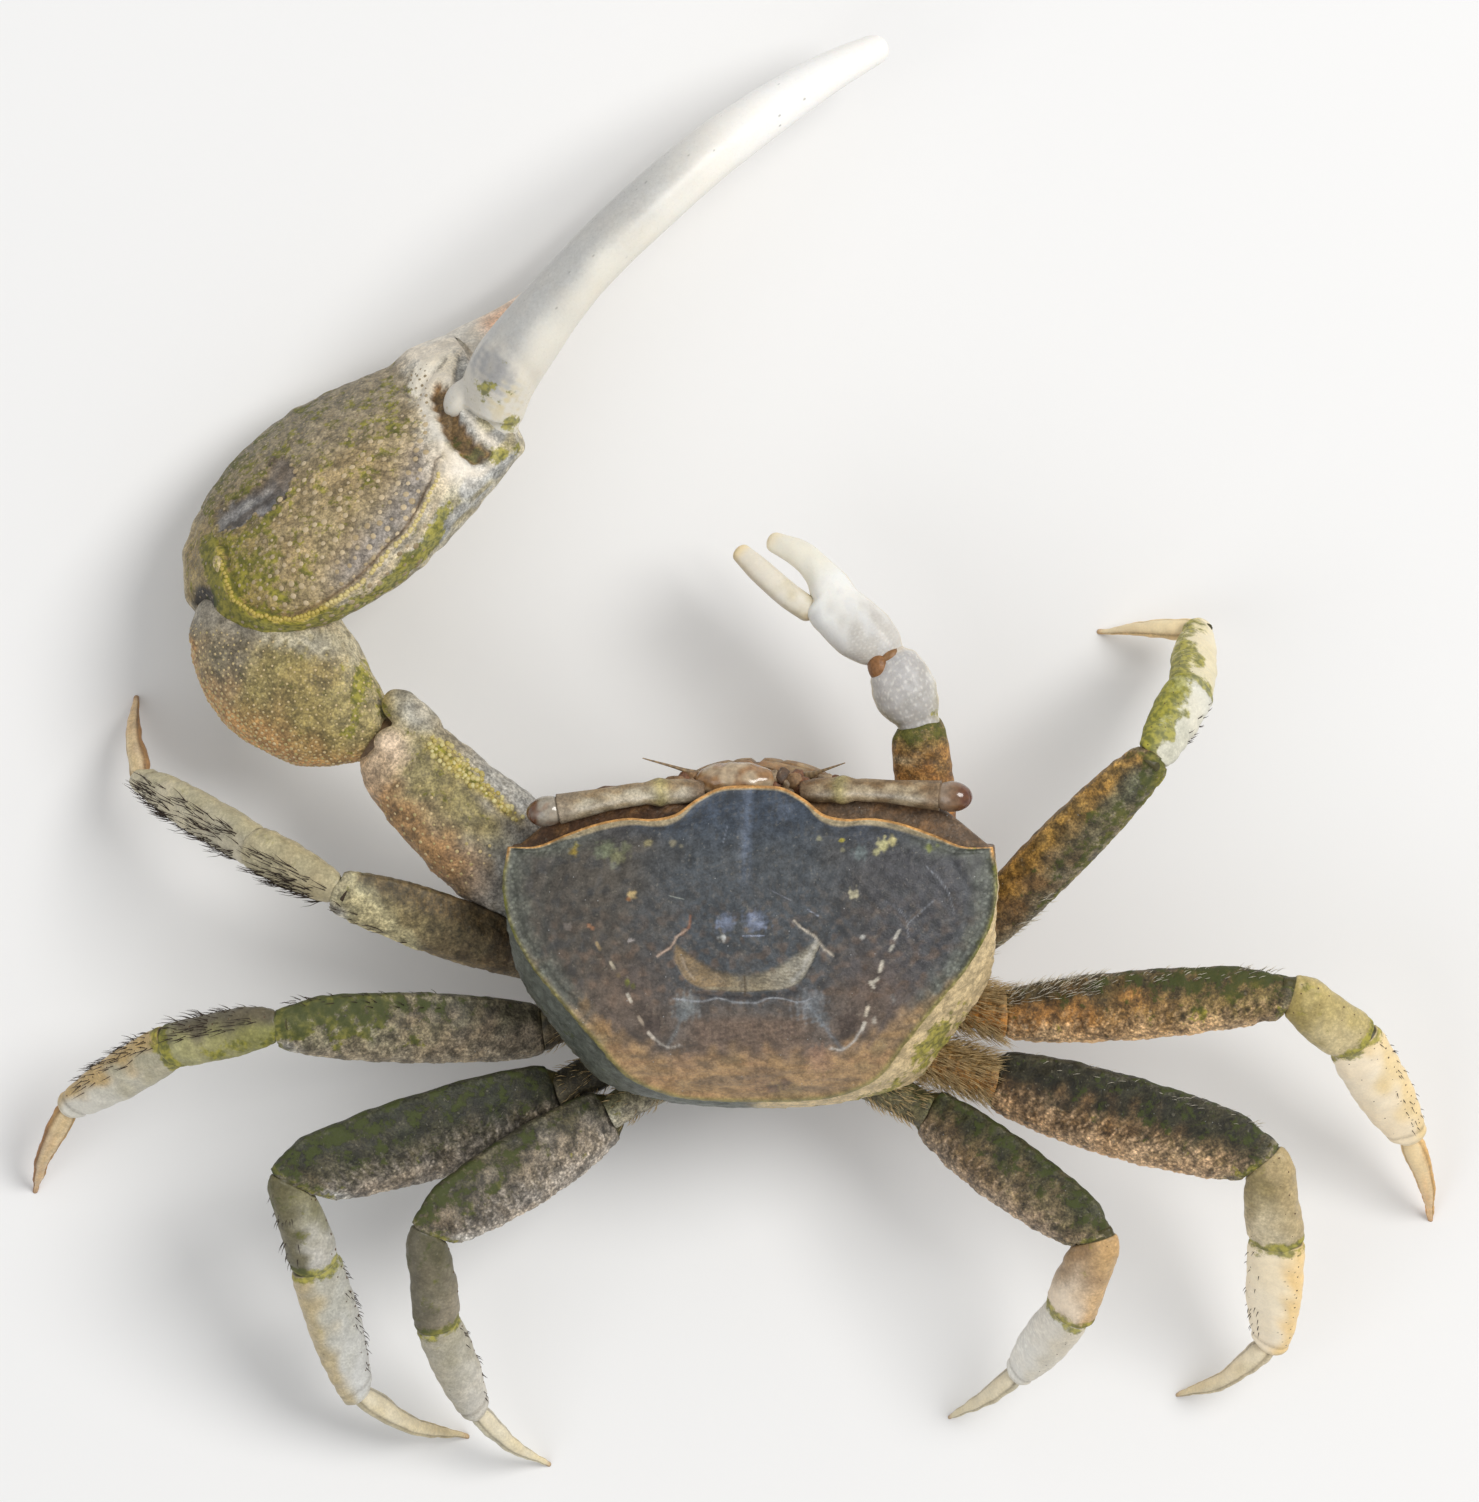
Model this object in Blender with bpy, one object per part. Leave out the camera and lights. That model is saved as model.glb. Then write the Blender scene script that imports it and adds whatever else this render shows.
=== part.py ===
"""A male fiddler crab, life size, standing on its eight walking legs with the big claw reaching forward.

Blender units are metres and +Z is up. The crab faces -Y and its left side is +X.
Sizes and places below are in millimetres. They are measured from a point on the floor under
the middle of the carapace, and FOOTPRINT_CENTRE then moves the origin to the middle of the footprint.
"""

import math

import bmesh
import bpy
import numpy as np
from mathutils import Matrix, Vector

MM = 0.001
GAP = 0.3
FOOTPRINT_CENTRE = (1.15, -12.2)

# The body leans a little towards the heavy claw and lifts its front.
BODY_PIVOT = (0.0, 0.0, 18.0)
BODY_ROLL_DEG = 5.0
BODY_PITCH_DEG = 3.0

# Carapace: half of its margin, from the middle of the front to the middle of the back.
MARGIN = [
    (0.0, -10.3), (2.0, -10.15), (3.4, -9.45), (4.6, -8.6), (6.0, -8.3), (7.5, -8.35), (9.5, -8.0),
    (11.5, -7.3), (13.3, -6.6), (15.05, -6.55), (15.35, -4.4), (15.0, -2.0), (13.8, 0.4),
    (11.8, 2.9), (9.6, 5.6), (7.6, 8.0), (5.2, 9.1), (2.5, 9.45), (0.0, 9.5),
]
CORNER = 9
CROWN_Z = 20.4
SHELL_FLOOR_Z = 11.5
ORBIT_SHELF_Y = -10.0
ORBIT_SHELF_DROP = 2.7
WALL_BULGE = 1.9

# Thorax: half of its outline at its widest, and how it narrows towards the belly.
THORAX_OUTLINE = [
    (0.0, -8.6), (4.5, -8.0), (7.3, -5.2), (8.7, -1.0), (8.9, 2.6), (8.0, 5.8), (5.8, 8.2), (3.0, 9.0), (0.0, 9.1),
]
THORAX_LEVELS = [(11.2, 0.96), (9.8, 1.0), (8.2, 0.99), (6.6, 0.92), (5.4, 0.8), (4.6, 0.55)]

# Half widths and half thicknesses along a leg's pieces, as shares of the widest place.
LEG_PROFILES = {
    "base": ((0.0, 0.5, 1.0), (1.0, 0.95, 0.9)),
    "merus": ((0.0, 0.08, 0.3, 0.5, 0.72, 0.93, 1.0), (0.68, 0.82, 0.97, 1.0, 0.94, 0.78, 0.6)),
    "carpus": ((0.0, 0.12, 0.4, 0.7, 0.9, 1.0), (0.66, 0.8, 0.93, 1.0, 1.0, 0.88)),
    "propodus": ((0.0, 0.1, 0.35, 0.6, 0.88, 1.0), (0.9, 0.98, 1.0, 0.94, 0.74, 0.58)),
    "dactyl": ((0.0, 0.1, 0.35, 0.6, 0.85, 1.0), (0.8, 1.0, 0.82, 0.62, 0.36, 0.2)),
}
LEG_HALF_THICKNESS = {"base": 1.35, "merus": 1.25, "carpus": 1.15, "propodus": 1.05, "dactyl": 0.6}
LEG_RINGS = {"base": 4, "merus": 9, "carpus": 6, "propodus": 7, "dactyl": 8}
LEG_SIDES = 12
LEG_ROLL_DEG = 18.0
DACTYL_SAG = 0.7

# Every walking leg: the place of each joint, root to tip, then the full width of each piece in plan.
# The root is in the body and leans with it, and the tip is a small flat on the floor.
# bow is how far the middle of the last piece stands out from straight, in plan.
LEGS = {
    "left_1": dict(
        root=(7.2, -1.2, 8.9), hip=(13.1, 0.5, 9.2), knee=(25.7, -3.8, 15.0), wrist=(30.9, -6.5, 12.6),
        ankle=(38.3, -10.7, 5.0), tip=(38.9, -15.8, 0.0), bow=(0.3, 0.0), widths=(2.9, 3.8, 2.9, 2.8, 1.4),
    ),
    "left_2": dict(
        root=(7.4, 2.5, 8.9), hip=(13.1, 5.0, 9.2), knee=(29.4, 4.6, 15.5), wrist=(36.1, 5.9, 12.6),
        ankle=(42.8, 9.9, 5.6), tip=(45.3, 15.4, 0.0), bow=(0.35, 0.1), widths=(2.9, 4.3, 3.0, 3.1, 1.5),
    ),
    "left_3": dict(
        root=(6.6, 5.8, 8.9), hip=(12.2, 9.0, 9.2), knee=(28.5, 14.3, 15.0), wrist=(27.2, 19.5, 12.0),
        ankle=(24.7, 27.9, 5.5), tip=(18.0, 30.9, 0.0), bow=(0.2, 0.55), widths=(2.5, 5.5, 3.2, 3.5, 1.6),
    ),
    "left_4": dict(
        root=(4.6, 7.6, 9.1), hip=(9.0, 10.3, 9.6), knee=(20.0, 17.4, 14.5), wrist=(19.6, 23.2, 11.0),
        ankle=(17.3, 29.0, 5.2), tip=(12.8, 32.7, 0.0), bow=(0.2, 0.3), widths=(2.3, 4.7, 3.0, 3.0, 1.4),
    ),
    "right_1": dict(
        root=(-7.2, -0.8, 8.9), hip=(-13.9, -0.8, 10.4), knee=(-24.9, -12.0, 16.0), wrist=(-27.4, -16.2, 12.6),
        ankle=(-28.1, -20.1, 4.6), tip=(-22.1, -20.0, 0.0), bow=(0.0, -0.1), widths=(2.9, 3.6, 3.3, 3.0, 1.4),
    ),
    "right_2": dict(
        root=(-7.4, 2.6, 8.9), hip=(-16.0, 4.0, 10.6), knee=(-33.4, 2.65, 15.5), wrist=(-37.5, 5.5, 13.0),
        ankle=(-41.3, 11.7, 6.0), tip=(-43.0, 17.2, 0.0), bow=(-0.3, 0.0), widths=(2.9, 4.2, 3.5, 3.8, 1.6),
    ),
    "right_3": dict(
        root=(-6.6, 5.8, 8.9), hip=(-15.4, 8.1, 10.2), knee=(-31.8, 12.9, 15.0), wrist=(-32.8, 18.0, 12.2),
        ankle=(-32.6, 24.8, 5.6), tip=(-27.0, 28.3, 0.0), bow=(-0.2, 0.5), widths=(2.7, 5.2, 3.6, 3.7, 1.6),
    ),
    "right_4": dict(
        root=(-4.6, 7.6, 9.1), hip=(-11.1, 10.1, 10.0), knee=(-21.4, 17.8, 14.5), wrist=(-19.9, 22.5, 11.2),
        ankle=(-16.8, 26.6, 5.5), tip=(-12.6, 29.7, 0.0), bow=(-0.1, 0.15), widths=(2.4, 4.2, 3.4, 3.2, 1.4),
    ),
}

# Big claw, on the crab's left. The palm's tall side leans out, so its roll is from level to its back edge.
BIG_BASE = dict(root=(5.6, -4.6, 8.6), end=(11.6, -4.2, 9.4))
BIG_MERUS = [(11.7, -3.4, 10.6), (16.7, -7.2, 11.3), (22.7, -12.9, 11.0)]
MERUS_CREST = (21.0, -14.4, 12.2)
BIG_CARPUS = [(23.2, -13.3, 10.6), (27.4, -15.8, 9.9), (30.0, -18.5, 9.3), (30.6, -22.0, 9.0)]
BIG_PALM = [(35.0, -21.3, 8.9), (25.8, -28.0, 8.9), (16.6, -34.5, 8.7)]
BIG_FIXED_FINGER = [
    (20.6, -33.6, 6.6), (17.6, -36.6, 5.3), (14.5, -39.1, 4.5), (10.7, -42.5, 3.9), (6.9, -46.0, 3.7),
    (3.2, -49.2, 3.7), (-1.0, -52.2, 4.2), (-5.6, -55.1, 5.4),
]
BIG_FINGER = [
    (16.3, -33.9, 11.9), (15.7, -35.6, 12.7), (13.9, -38.4, 13.8), (9.7, -43.3, 14.6), (6.9, -45.9, 14.2),
    (3.4, -49.0, 13.0), (-0.8, -52.2, 11.0), (-4.7, -54.8, 8.8), (-8.2, -56.7, 6.6),
]
PALM_ROLL_DEG = 48.0
FINGER_TIP_ROLL_DEG = 80.0
TOOTH_HEIGHT = 0.5
TOOTH_RADIUS = 0.6

# Small claw, on the crab's right.
SMALL_BASE = dict(root=(-5.6, -4.4, 8.6), end=(-11.2, -7.2, 9.6))
SMALL_ELBOW = (-10.4, -14.3, 11.8)
SMALL_WRIST = (-8.6, -18.3, 12.0)
SMALL_PALM_END = (-4.5, -22.0, 11.2)
SMALL_FIXED_FINGER = [(-5.6, -21.2, 11.3), (-4.95, -22.75, 11.1), (-3.25, -24.6, 10.6), (-1.45, -25.5, 10.0)]
SMALL_FINGER = [(-3.85, -21.1, 11.0), (-2.4, -22.1, 10.9), (-0.9, -23.4, 10.6), (0.6, -24.8, 10.0)]

# Eyes: each stalk's root and end, and the size of the eye on it.
EYE_STALKS = {
    "left": [(3.1, -9.9, 16.1), (6.4, -9.8, 17.0), (12.1, -8.8, 17.3)],
    "right": [(-3.1, -9.9, 16.1), (-6.4, -10.0, 17.0), (-11.8, -9.65, 17.3)],
}
EYE_HALF_LENGTH = 1.15
EYE_RADIUS = 0.95
ANTENNAE = {
    "left": [(3.0, -10.6, 14.6), (4.6, -11.2, 15.2), (6.9, -11.9, 15.8)],
    "right": [(-3.0, -10.6, 14.6), (-4.0, -11.0, 15.2), (-5.7, -11.6, 15.7)],
}

COLOURS = {
    "shell": ((0.16, 0.16, 0.17), 0.45),
    "leg": ((0.27, 0.23, 0.15), 0.5),
    "claw": ((0.42, 0.36, 0.24), 0.45),
    "ivory": ((0.85, 0.82, 0.72), 0.35),
    "belly": ((0.5, 0.42, 0.3), 0.5),
    "eye": ((0.14, 0.06, 0.04), 0.15),
}


def body_matrix():
    """Leans the body about the level of the carapace's margin."""
    pivot = Matrix.Translation(BODY_PIVOT)
    roll = Matrix.Rotation(math.radians(BODY_ROLL_DEG), 4, "Y")
    pitch = Matrix.Rotation(math.radians(-BODY_PITCH_DEG), 4, "X")
    return pivot @ roll @ pitch @ pivot.inverted()


BODY = body_matrix()


def in_body(point):
    """A place in the level body, moved to where the leaning body has it."""
    return tuple(BODY @ Vector(point))


def smooth_step(low, high, value):
    share = np.clip((np.asarray(value, float) - low) / (high - low), 0.0, 1.0)
    return share * share * (3.0 - 2.0 * share)


def curve_through(points, count):
    """Points spaced evenly by station along a smooth curve through the given ones."""
    known = np.array(points, float)
    if len(known) == 2:
        share = np.linspace(0.0, 1.0, count)[:, None]
        return known[0] * (1 - share) + known[1] * share
    steps = np.linalg.norm(np.diff(known, axis=0), axis=1)
    at = np.concatenate([[0.0], np.cumsum(steps)])
    slopes = np.gradient(known, at, axis=0)
    places = np.linspace(0.0, at[-1], count)
    left = np.clip(np.searchsorted(at, places, side="right") - 1, 0, len(known) - 2)
    span = (at[left + 1] - at[left])[:, None]
    t = (places - at[left])[:, None] / span
    return (
        known[left] * (2 * t**3 - 3 * t**2 + 1)
        + slopes[left] * span * (t**3 - 2 * t**2 + t)
        + known[left + 1] * (3 * t**2 - 2 * t**3)
        + slopes[left + 1] * span * (t**3 - t**2)
    )


def profile(stations, values, places):
    """Values between the stations, on a smooth curve that never overshoots them."""
    x = np.array(stations, float)
    y = np.array(values, float)
    rises = np.diff(y) / np.diff(x)
    slopes = np.zeros(len(x))
    slopes[0], slopes[-1] = rises[0], rises[-1]
    same_way = rises[:-1] * rises[1:] > 0
    total = np.where(same_way, rises[:-1] + rises[1:], 1.0)
    slopes[1:-1] = np.where(same_way, 2 * rises[:-1] * rises[1:] / total, 0.0)
    places = np.asarray(places, float)
    left = np.clip(np.searchsorted(x, places, side="right") - 1, 0, len(x) - 2)
    span = x[left + 1] - x[left]
    t = (places - x[left]) / span
    return (
        y[left] * (2 * t**3 - 3 * t**2 + 1)
        + slopes[left] * span * (t**3 - 2 * t**2 + t)
        + y[left + 1] * (3 * t**2 - 2 * t**3)
        + slopes[left + 1] * span * (t**3 - t**2)
    )


def unit(vector):
    return np.asarray(vector, float) / np.linalg.norm(vector)


def mitre(before, joint, after):
    """The plane that halves the bend at a joint: a point and a normal along the limb."""
    arriving = unit(np.subtract(joint, before))
    leaving = unit(np.subtract(after, joint))
    return np.array(joint, float), unit(arriving + leaving)


def moved_plane(plane, distance):
    point, normal = plane
    return point + normal * distance, normal


def to_plane(points, directions, plane):
    """How far each point is from the plane, along its own direction."""
    point, normal = plane
    return ((point - points) @ normal) / (directions @ normal)


def sweep(spine, wide, thick, rolls, sides, rings, start=None, end=None, power=2.2, across=None):
    """Rings of points round a spine, each a rounded box with a wide and a thin way.

    wide and thick are (stations, half sizes). rolls turns the wide way up from level, in degrees.
    start and end are planes that the two ends are cut to. across gives the level way where the
    spine turns straight up.
    """
    centres = curve_through(spine, rings)
    share = np.linspace(0.0, 1.0, rings)
    tangents = np.gradient(centres, axis=0)
    tangents /= np.linalg.norm(tangents, axis=1)[:, None]
    level = np.cross(tangents, (0.0, 0.0, 1.0)) if across is None else np.tile(across, (rings, 1))
    level /= np.linalg.norm(level, axis=1)[:, None]
    upward = np.cross(level, tangents)
    turn = np.radians(np.interp(share, np.linspace(0, 1, len(rolls)), rolls))[:, None]
    wide_way = level * np.cos(turn) + upward * np.sin(turn)
    thin_way = upward * np.cos(turn) - level * np.sin(turn)
    half_wide = profile(*wide, share)
    half_thick = profile(*thick, share)
    angle = 2 * np.pi * (np.arange(sides) + 0.5) / sides
    sideways = np.sign(np.cos(angle)) * np.abs(np.cos(angle)) ** (2 / power)
    over = np.sign(np.sin(angle)) * np.abs(np.sin(angle)) ** (2 / power)
    offsets = (
        wide_way[:, None, :] * (half_wide[:, None] * sideways)[:, :, None]
        + thin_way[:, None, :] * (half_thick[:, None] * over)[:, :, None]
    )
    points = centres[:, None, :] + offsets
    shift = np.zeros((rings, sides))
    if start is not None:
        shift += to_plane(centres[0] + offsets, tangents[0], start) * (1 - share)[:, None]
    if end is not None:
        shift += to_plane(centres[-1] + offsets, tangents[-1], end) * share[:, None]
    return points + tangents[:, None, :] * shift[:, :, None]


def closed_mesh(name, rings):
    """A mesh skin over rings of points, capped at both ends."""
    rings = np.asarray(rings, float)
    count, sides, _ = rings.shape
    mesh = bmesh.new()
    rows = [[mesh.verts.new(Vector(p) * MM) for p in ring] for ring in rings]
    for low, high in zip(rows, rows[1:]):
        for i in range(sides):
            j = (i + 1) % sides
            mesh.faces.new((low[i], low[j], high[j], high[i]))
    for row in (rows[0], rows[-1]):
        middle = mesh.verts.new(sum((v.co for v in row), Vector()) / sides)
        for i in range(sides):
            mesh.faces.new((row[i], row[(i + 1) % sides], middle))
    bmesh.ops.recalc_face_normals(mesh, faces=mesh.faces)
    data = bpy.data.meshes.new(name)
    mesh.to_mesh(data)
    mesh.free()
    obj = bpy.data.objects.new(name, data)
    bpy.context.scene.collection.objects.link(obj)
    return obj


def ellipsoid(name, centre, half_sizes, axis, segments=14, rings=8):
    """A ball stretched along its axis."""
    mesh = bmesh.new()
    bmesh.ops.create_uvsphere(mesh, u_segments=segments, v_segments=rings, radius=1.0)
    along = Vector(axis).normalized()
    turn = along.to_track_quat("Z", "Y").to_matrix().to_4x4()
    size = Matrix.Diagonal((half_sizes[0], half_sizes[1], half_sizes[2], 1.0))
    mesh.transform(Matrix.Scale(MM, 4) @ Matrix.Translation(centre) @ turn @ size)
    data = bpy.data.meshes.new(name)
    mesh.to_mesh(data)
    mesh.free()
    obj = bpy.data.objects.new(name, data)
    bpy.context.scene.collection.objects.link(obj)
    return obj


def discard(objects):
    for obj in objects:
        bpy.data.objects.remove(obj, do_unlink=True)


def apply_modifiers(obj):
    graph = bpy.context.evaluated_depsgraph_get()
    made = bpy.data.meshes.new_from_object(obj.evaluated_get(graph))
    obj.modifiers.clear()
    obj.data = made


def keep_largest(obj):
    """Drops every closed surface but the largest, such as a scrap that a cut leaves."""
    mesh = bmesh.new()
    mesh.from_mesh(obj.data)
    islands, seen = [], set()
    for face in mesh.faces:
        if face in seen:
            continue
        island, queue = [], [face]
        seen.add(face)
        while queue:
            current = queue.pop()
            island.append(current)
            near = {f for edge in current.edges for f in edge.link_faces} - seen
            seen |= near
            queue.extend(near)
        islands.append(island)
    islands.sort(key=lambda faces: sum(f.calc_area() for f in faces))
    scraps = [face for island in islands[:-1] for face in island]
    bmesh.ops.delete(mesh, geom=scraps, context="FACES")
    mesh.to_mesh(obj.data)
    mesh.free()


def boolean(obj, others, operation):
    """Joins the other objects to this one, or cuts them from it, and removes them."""
    group = bpy.data.collections.new("operands")
    bpy.context.scene.collection.children.link(group)
    for other in others:
        bpy.context.scene.collection.objects.unlink(other)
        group.objects.link(other)
    modifier = obj.modifiers.new(operation.lower(), "BOOLEAN")
    modifier.operation = operation
    modifier.solver = "EXACT"
    modifier.operand_type = "COLLECTION"
    modifier.collection = group
    bpy.context.view_layer.update()
    apply_modifiers(obj)
    discard(others)
    bpy.data.collections.remove(group)
    keep_largest(obj)
    return obj


def mirrored(half, count_between):
    """A closed outline from its left half: smooth between points, with corners kept where they are given."""
    path = curve_through(half, (len(half) - 1) * count_between + 1)
    other = path[-2:0:-1] * (-1.0, 1.0)
    return np.concatenate([path, other])


def dome_height(x, y):
    """Height of the carapace's upper side: crowned, falling to the front, sides and back."""
    front = 3.2 * (np.clip(-4.0 - y, 0, None) / 6.3) ** 2
    back = 5.0 * (np.clip(y - 1.0, 0, None) / 8.6) ** 2.2
    side = 1.5 * (np.abs(x) / 15.0) ** 2.5
    return CROWN_Z - front - back - side


def margin_outline(between=3):
    """The margin with its sharp outer corners: the front and the side are separate curves."""
    front = curve_through(MARGIN[: CORNER + 1], CORNER * between + 1)
    side = curve_through(MARGIN[CORNER:], (len(MARGIN) - 1 - CORNER) * between + 1)
    half = np.concatenate([front, side[1:]])
    return np.concatenate([half, half[-2:0:-1] * (-1.0, 1.0)])


def carapace_rings(grow=0.0):
    """Rings from the crown out to the margin, and down the orbits and side walls to the shell's floor."""
    edge = margin_outline()
    x, y = edge[:, 0], edge[:, 1]
    top = dome_height(x, y)
    outward = edge / np.linalg.norm(edge, axis=1)[:, None]
    is_front = 1.0 - smooth_step(-6.5, -5.4, y)
    rings = []
    for share in (0.12, 0.3, 0.48, 0.64, 0.78, 0.9):
        rings.append((x * share, y * share, dome_height(x * share, y * share)))
    rings.append((x, y, top))

    bulge = WALL_BULGE * smooth_step(-3.0, 3.0, y) * (1 - 0.75 * smooth_step(6.5, 9.5, y))
    widest = edge + outward * bulge[:, None]
    widest_z = top - 0.5 - 1.7 * bulge
    shelf_y = ORBIT_SHELF_Y + 3.7 * (np.clip(np.abs(x) - 9.5, 0, None) / 5.5) ** 1.3
    shelf_y = np.minimum(shelf_y, y)
    front_ways = (
        (0.55, 0.9),
        (0.15, 1.9),
    )
    side_ways = (
        (0.6, 0.45),
        (1.0, 1.0),
    )
    for (inset, drop), (out, down) in zip(front_ways, side_ways):
        side_xy = edge + (widest - edge) * out
        side_z = top + (widest_z - top) * down
        rings.append((
            np.where(is_front > 0.5, x * (1 - 0.02 * inset), side_xy[:, 0]),
            is_front * (y + inset) + (1 - is_front) * side_xy[:, 1],
            is_front * (top - drop) + (1 - is_front) * side_z,
        ))
    lower = widest * (0.8, 0.93)
    for share, shelf_out, drop in ((0.1, 1.0, ORBIT_SHELF_DROP), (0.5, 0.95, 4.2), (1.0, 0.4, 0.0)):
        side_xy = widest + (lower - widest) * share**1.4
        side_z = widest_z + (SHELL_FLOOR_Z - widest_z) * share
        front_y = y + (shelf_y - y) * shelf_out
        front_x = x * (1 - 0.12 * share)
        front_z = top - drop if drop else np.full_like(top, SHELL_FLOOR_Z)
        rings.append((
            is_front * front_x + (1 - is_front) * side_xy[:, 0],
            is_front * front_y + (1 - is_front) * side_xy[:, 1],
            is_front * front_z + (1 - is_front) * side_z,
        ))
    points = np.stack([np.stack(ring, axis=1) for ring in rings])
    if grow:
        points = grown(points, grow)
    return points


def grown(rings, distance):
    """The same rings moved out along their own normals, which clears a neighbour by that distance."""
    down = np.gradient(rings, axis=0)
    round_ = np.roll(rings, -1, axis=1) - np.roll(rings, 1, axis=1)
    normal = np.cross(down, round_)
    normal /= np.linalg.norm(normal, axis=2)[:, :, None] + 1e-9
    centre = rings.reshape(-1, 3).mean(axis=0)
    if np.sum(normal * (rings - centre)) < 0:
        normal = -normal
    made = rings + normal * distance
    for end, inner in ((0, 1), (-1, -2)):
        way = unit(rings[end].mean(axis=0) - rings[inner].mean(axis=0))
        made[end] += way * distance
    return made


def thorax_rings(grow=0.0):
    outline = mirrored(THORAX_OUTLINE, 2)
    centre = np.array((0.0, 0.5))
    rings = []
    for z, share in THORAX_LEVELS:
        plan = centre + (outline - centre) * share
        rings.append(np.column_stack([plan, np.full(len(plan), z)]))
    points = np.stack(rings)
    return grown(points, grow) if grow else points


def lean(rings):
    """Moves rings of the level body to where the leaning body has them."""
    matrix = np.array(BODY)
    return rings @ matrix[:3, :3].T + matrix[:3, 3]


def body_cutters(around=("carapace", "thorax")):
    """The body's outer shapes, a gap larger, to cut its neighbours clear of it."""
    makers = {"carapace": carapace_rings, "thorax": thorax_rings}
    return [closed_mesh("clear_of_" + name, lean(makers[name](GAP))) for name in around]


def make_body():
    closed_mesh("carapace", lean(carapace_rings()))
    closed_mesh("thorax", lean(thorax_rings()))


def make_abdomen():
    """The narrow tail flap, folded forward under the belly, with its broad root at the back."""
    spine = [(0, 9.6, 10.4), (0, 9.7, 8.2), (0, 8.9, 6.3), (0, 7.6, 4.9), (0, 5.0, 4.1), (0, 0.8, 3.95), (0, -3.4, 4.0)]
    wide = ((0.0, 0.25, 0.5, 0.8, 1.0), (4.3, 3.8, 2.6, 1.7, 0.6))
    thick = ((0.0, 1.0), (0.75, 0.65))
    rings = sweep(spine, wide, thick, (0.0,), 12, 14, power=3.0, across=(1.0, 0.0, 0.0))
    flap = closed_mesh("abdomen", lean(rings))
    boolean(flap, body_cutters(), "DIFFERENCE")


def make_mouthparts():
    """The pair of broad plates that close the mouth, with the groove between them."""
    spine = [(0.0, -8.9, 6.2), (0.0, -9.5, 8.2), (0.0, -9.9, 10.5), (0.0, -10.2, 12.8), (0.0, -10.3, 15.0)]
    wide = ((0.0, 0.2, 0.55, 0.85, 1.0), (2.6, 4.1, 4.7, 4.0, 2.2))
    thick = ((0.0, 0.3, 0.7, 1.0), (1.0, 1.7, 1.6, 0.9))
    plates = closed_mesh("mouthparts", lean(upright_sweep(spine, wide, thick)))
    boolean(plates, body_cutters(), "DIFFERENCE")


def upright_sweep(spine, wide, thick):
    """A sweep up the face, whose wide way is across the crab."""
    centres = curve_through(spine, 9)
    share = np.linspace(0.0, 1.0, 9)
    angle = 2 * np.pi * (np.arange(16) + 0.5) / 16
    groove = 1 - 0.28 * np.exp(-((np.cos(angle) / 0.22) ** 2)) * (np.sin(angle) < 0)
    half_wide = profile(*wide, share)[:, None]
    half_thick = profile(*thick, share)[:, None]
    return np.stack(
        [
            centres[:, :1] + half_wide * np.cos(angle),
            centres[:, 1:2] + half_thick * np.sin(angle) * groove,
            centres[:, 2:] + 0 * angle,
        ],
        axis=2,
    )


def make_eye(side):
    """A long stalk that lies in front of the orbit, and the long eye at its end."""
    spine = EYE_STALKS[side]
    axis = np.subtract(spine[2], spine[1])
    centre = np.array(spine[2]) + unit(axis) * (EYE_HALF_LENGTH - 0.4)
    sizes = (EYE_RADIUS, EYE_RADIUS, EYE_HALF_LENGTH)
    eye = ellipsoid("eye_" + side, centre, sizes, axis)
    lean_object(eye)
    stations = (0.0, 0.15, 0.3, 0.6, 0.85, 1.0)
    half = (0.62, 0.8, 0.68, 0.6, 0.8, 0.86)
    stalk = closed_mesh(
        "eyestalk_" + side, lean(sweep(spine, (stations, half), (stations, half), (0.0,), 10, 9))
    )
    clear_eye = ellipsoid("clear_eye", centre, tuple(s + GAP for s in sizes), axis)
    lean_object(clear_eye)
    boolean(stalk, [clear_eye, *body_cutters()], "DIFFERENCE")


def lean_object(obj):
    scaled = Matrix.Scale(MM, 4) @ BODY @ Matrix.Scale(1 / MM, 4)
    obj.data.transform(scaled)


def make_antenna(side):
    wide = ((0.0, 0.5, 1.0), (0.45, 0.3, 0.12))
    rings = sweep(ANTENNAE[side], wide, wide, (0.0,), 6, 6)
    feeler = closed_mesh("antenna_" + side, lean(rings))
    clear_mouth = ellipsoid("clear_mouth", (0.0, -11.0, 11.0), (5.0, 2.2, 4.4), (0, 0, 1))
    lean_object(clear_mouth)
    boolean(feeler, [clear_mouth, *body_cutters()], "DIFFERENCE")


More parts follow.
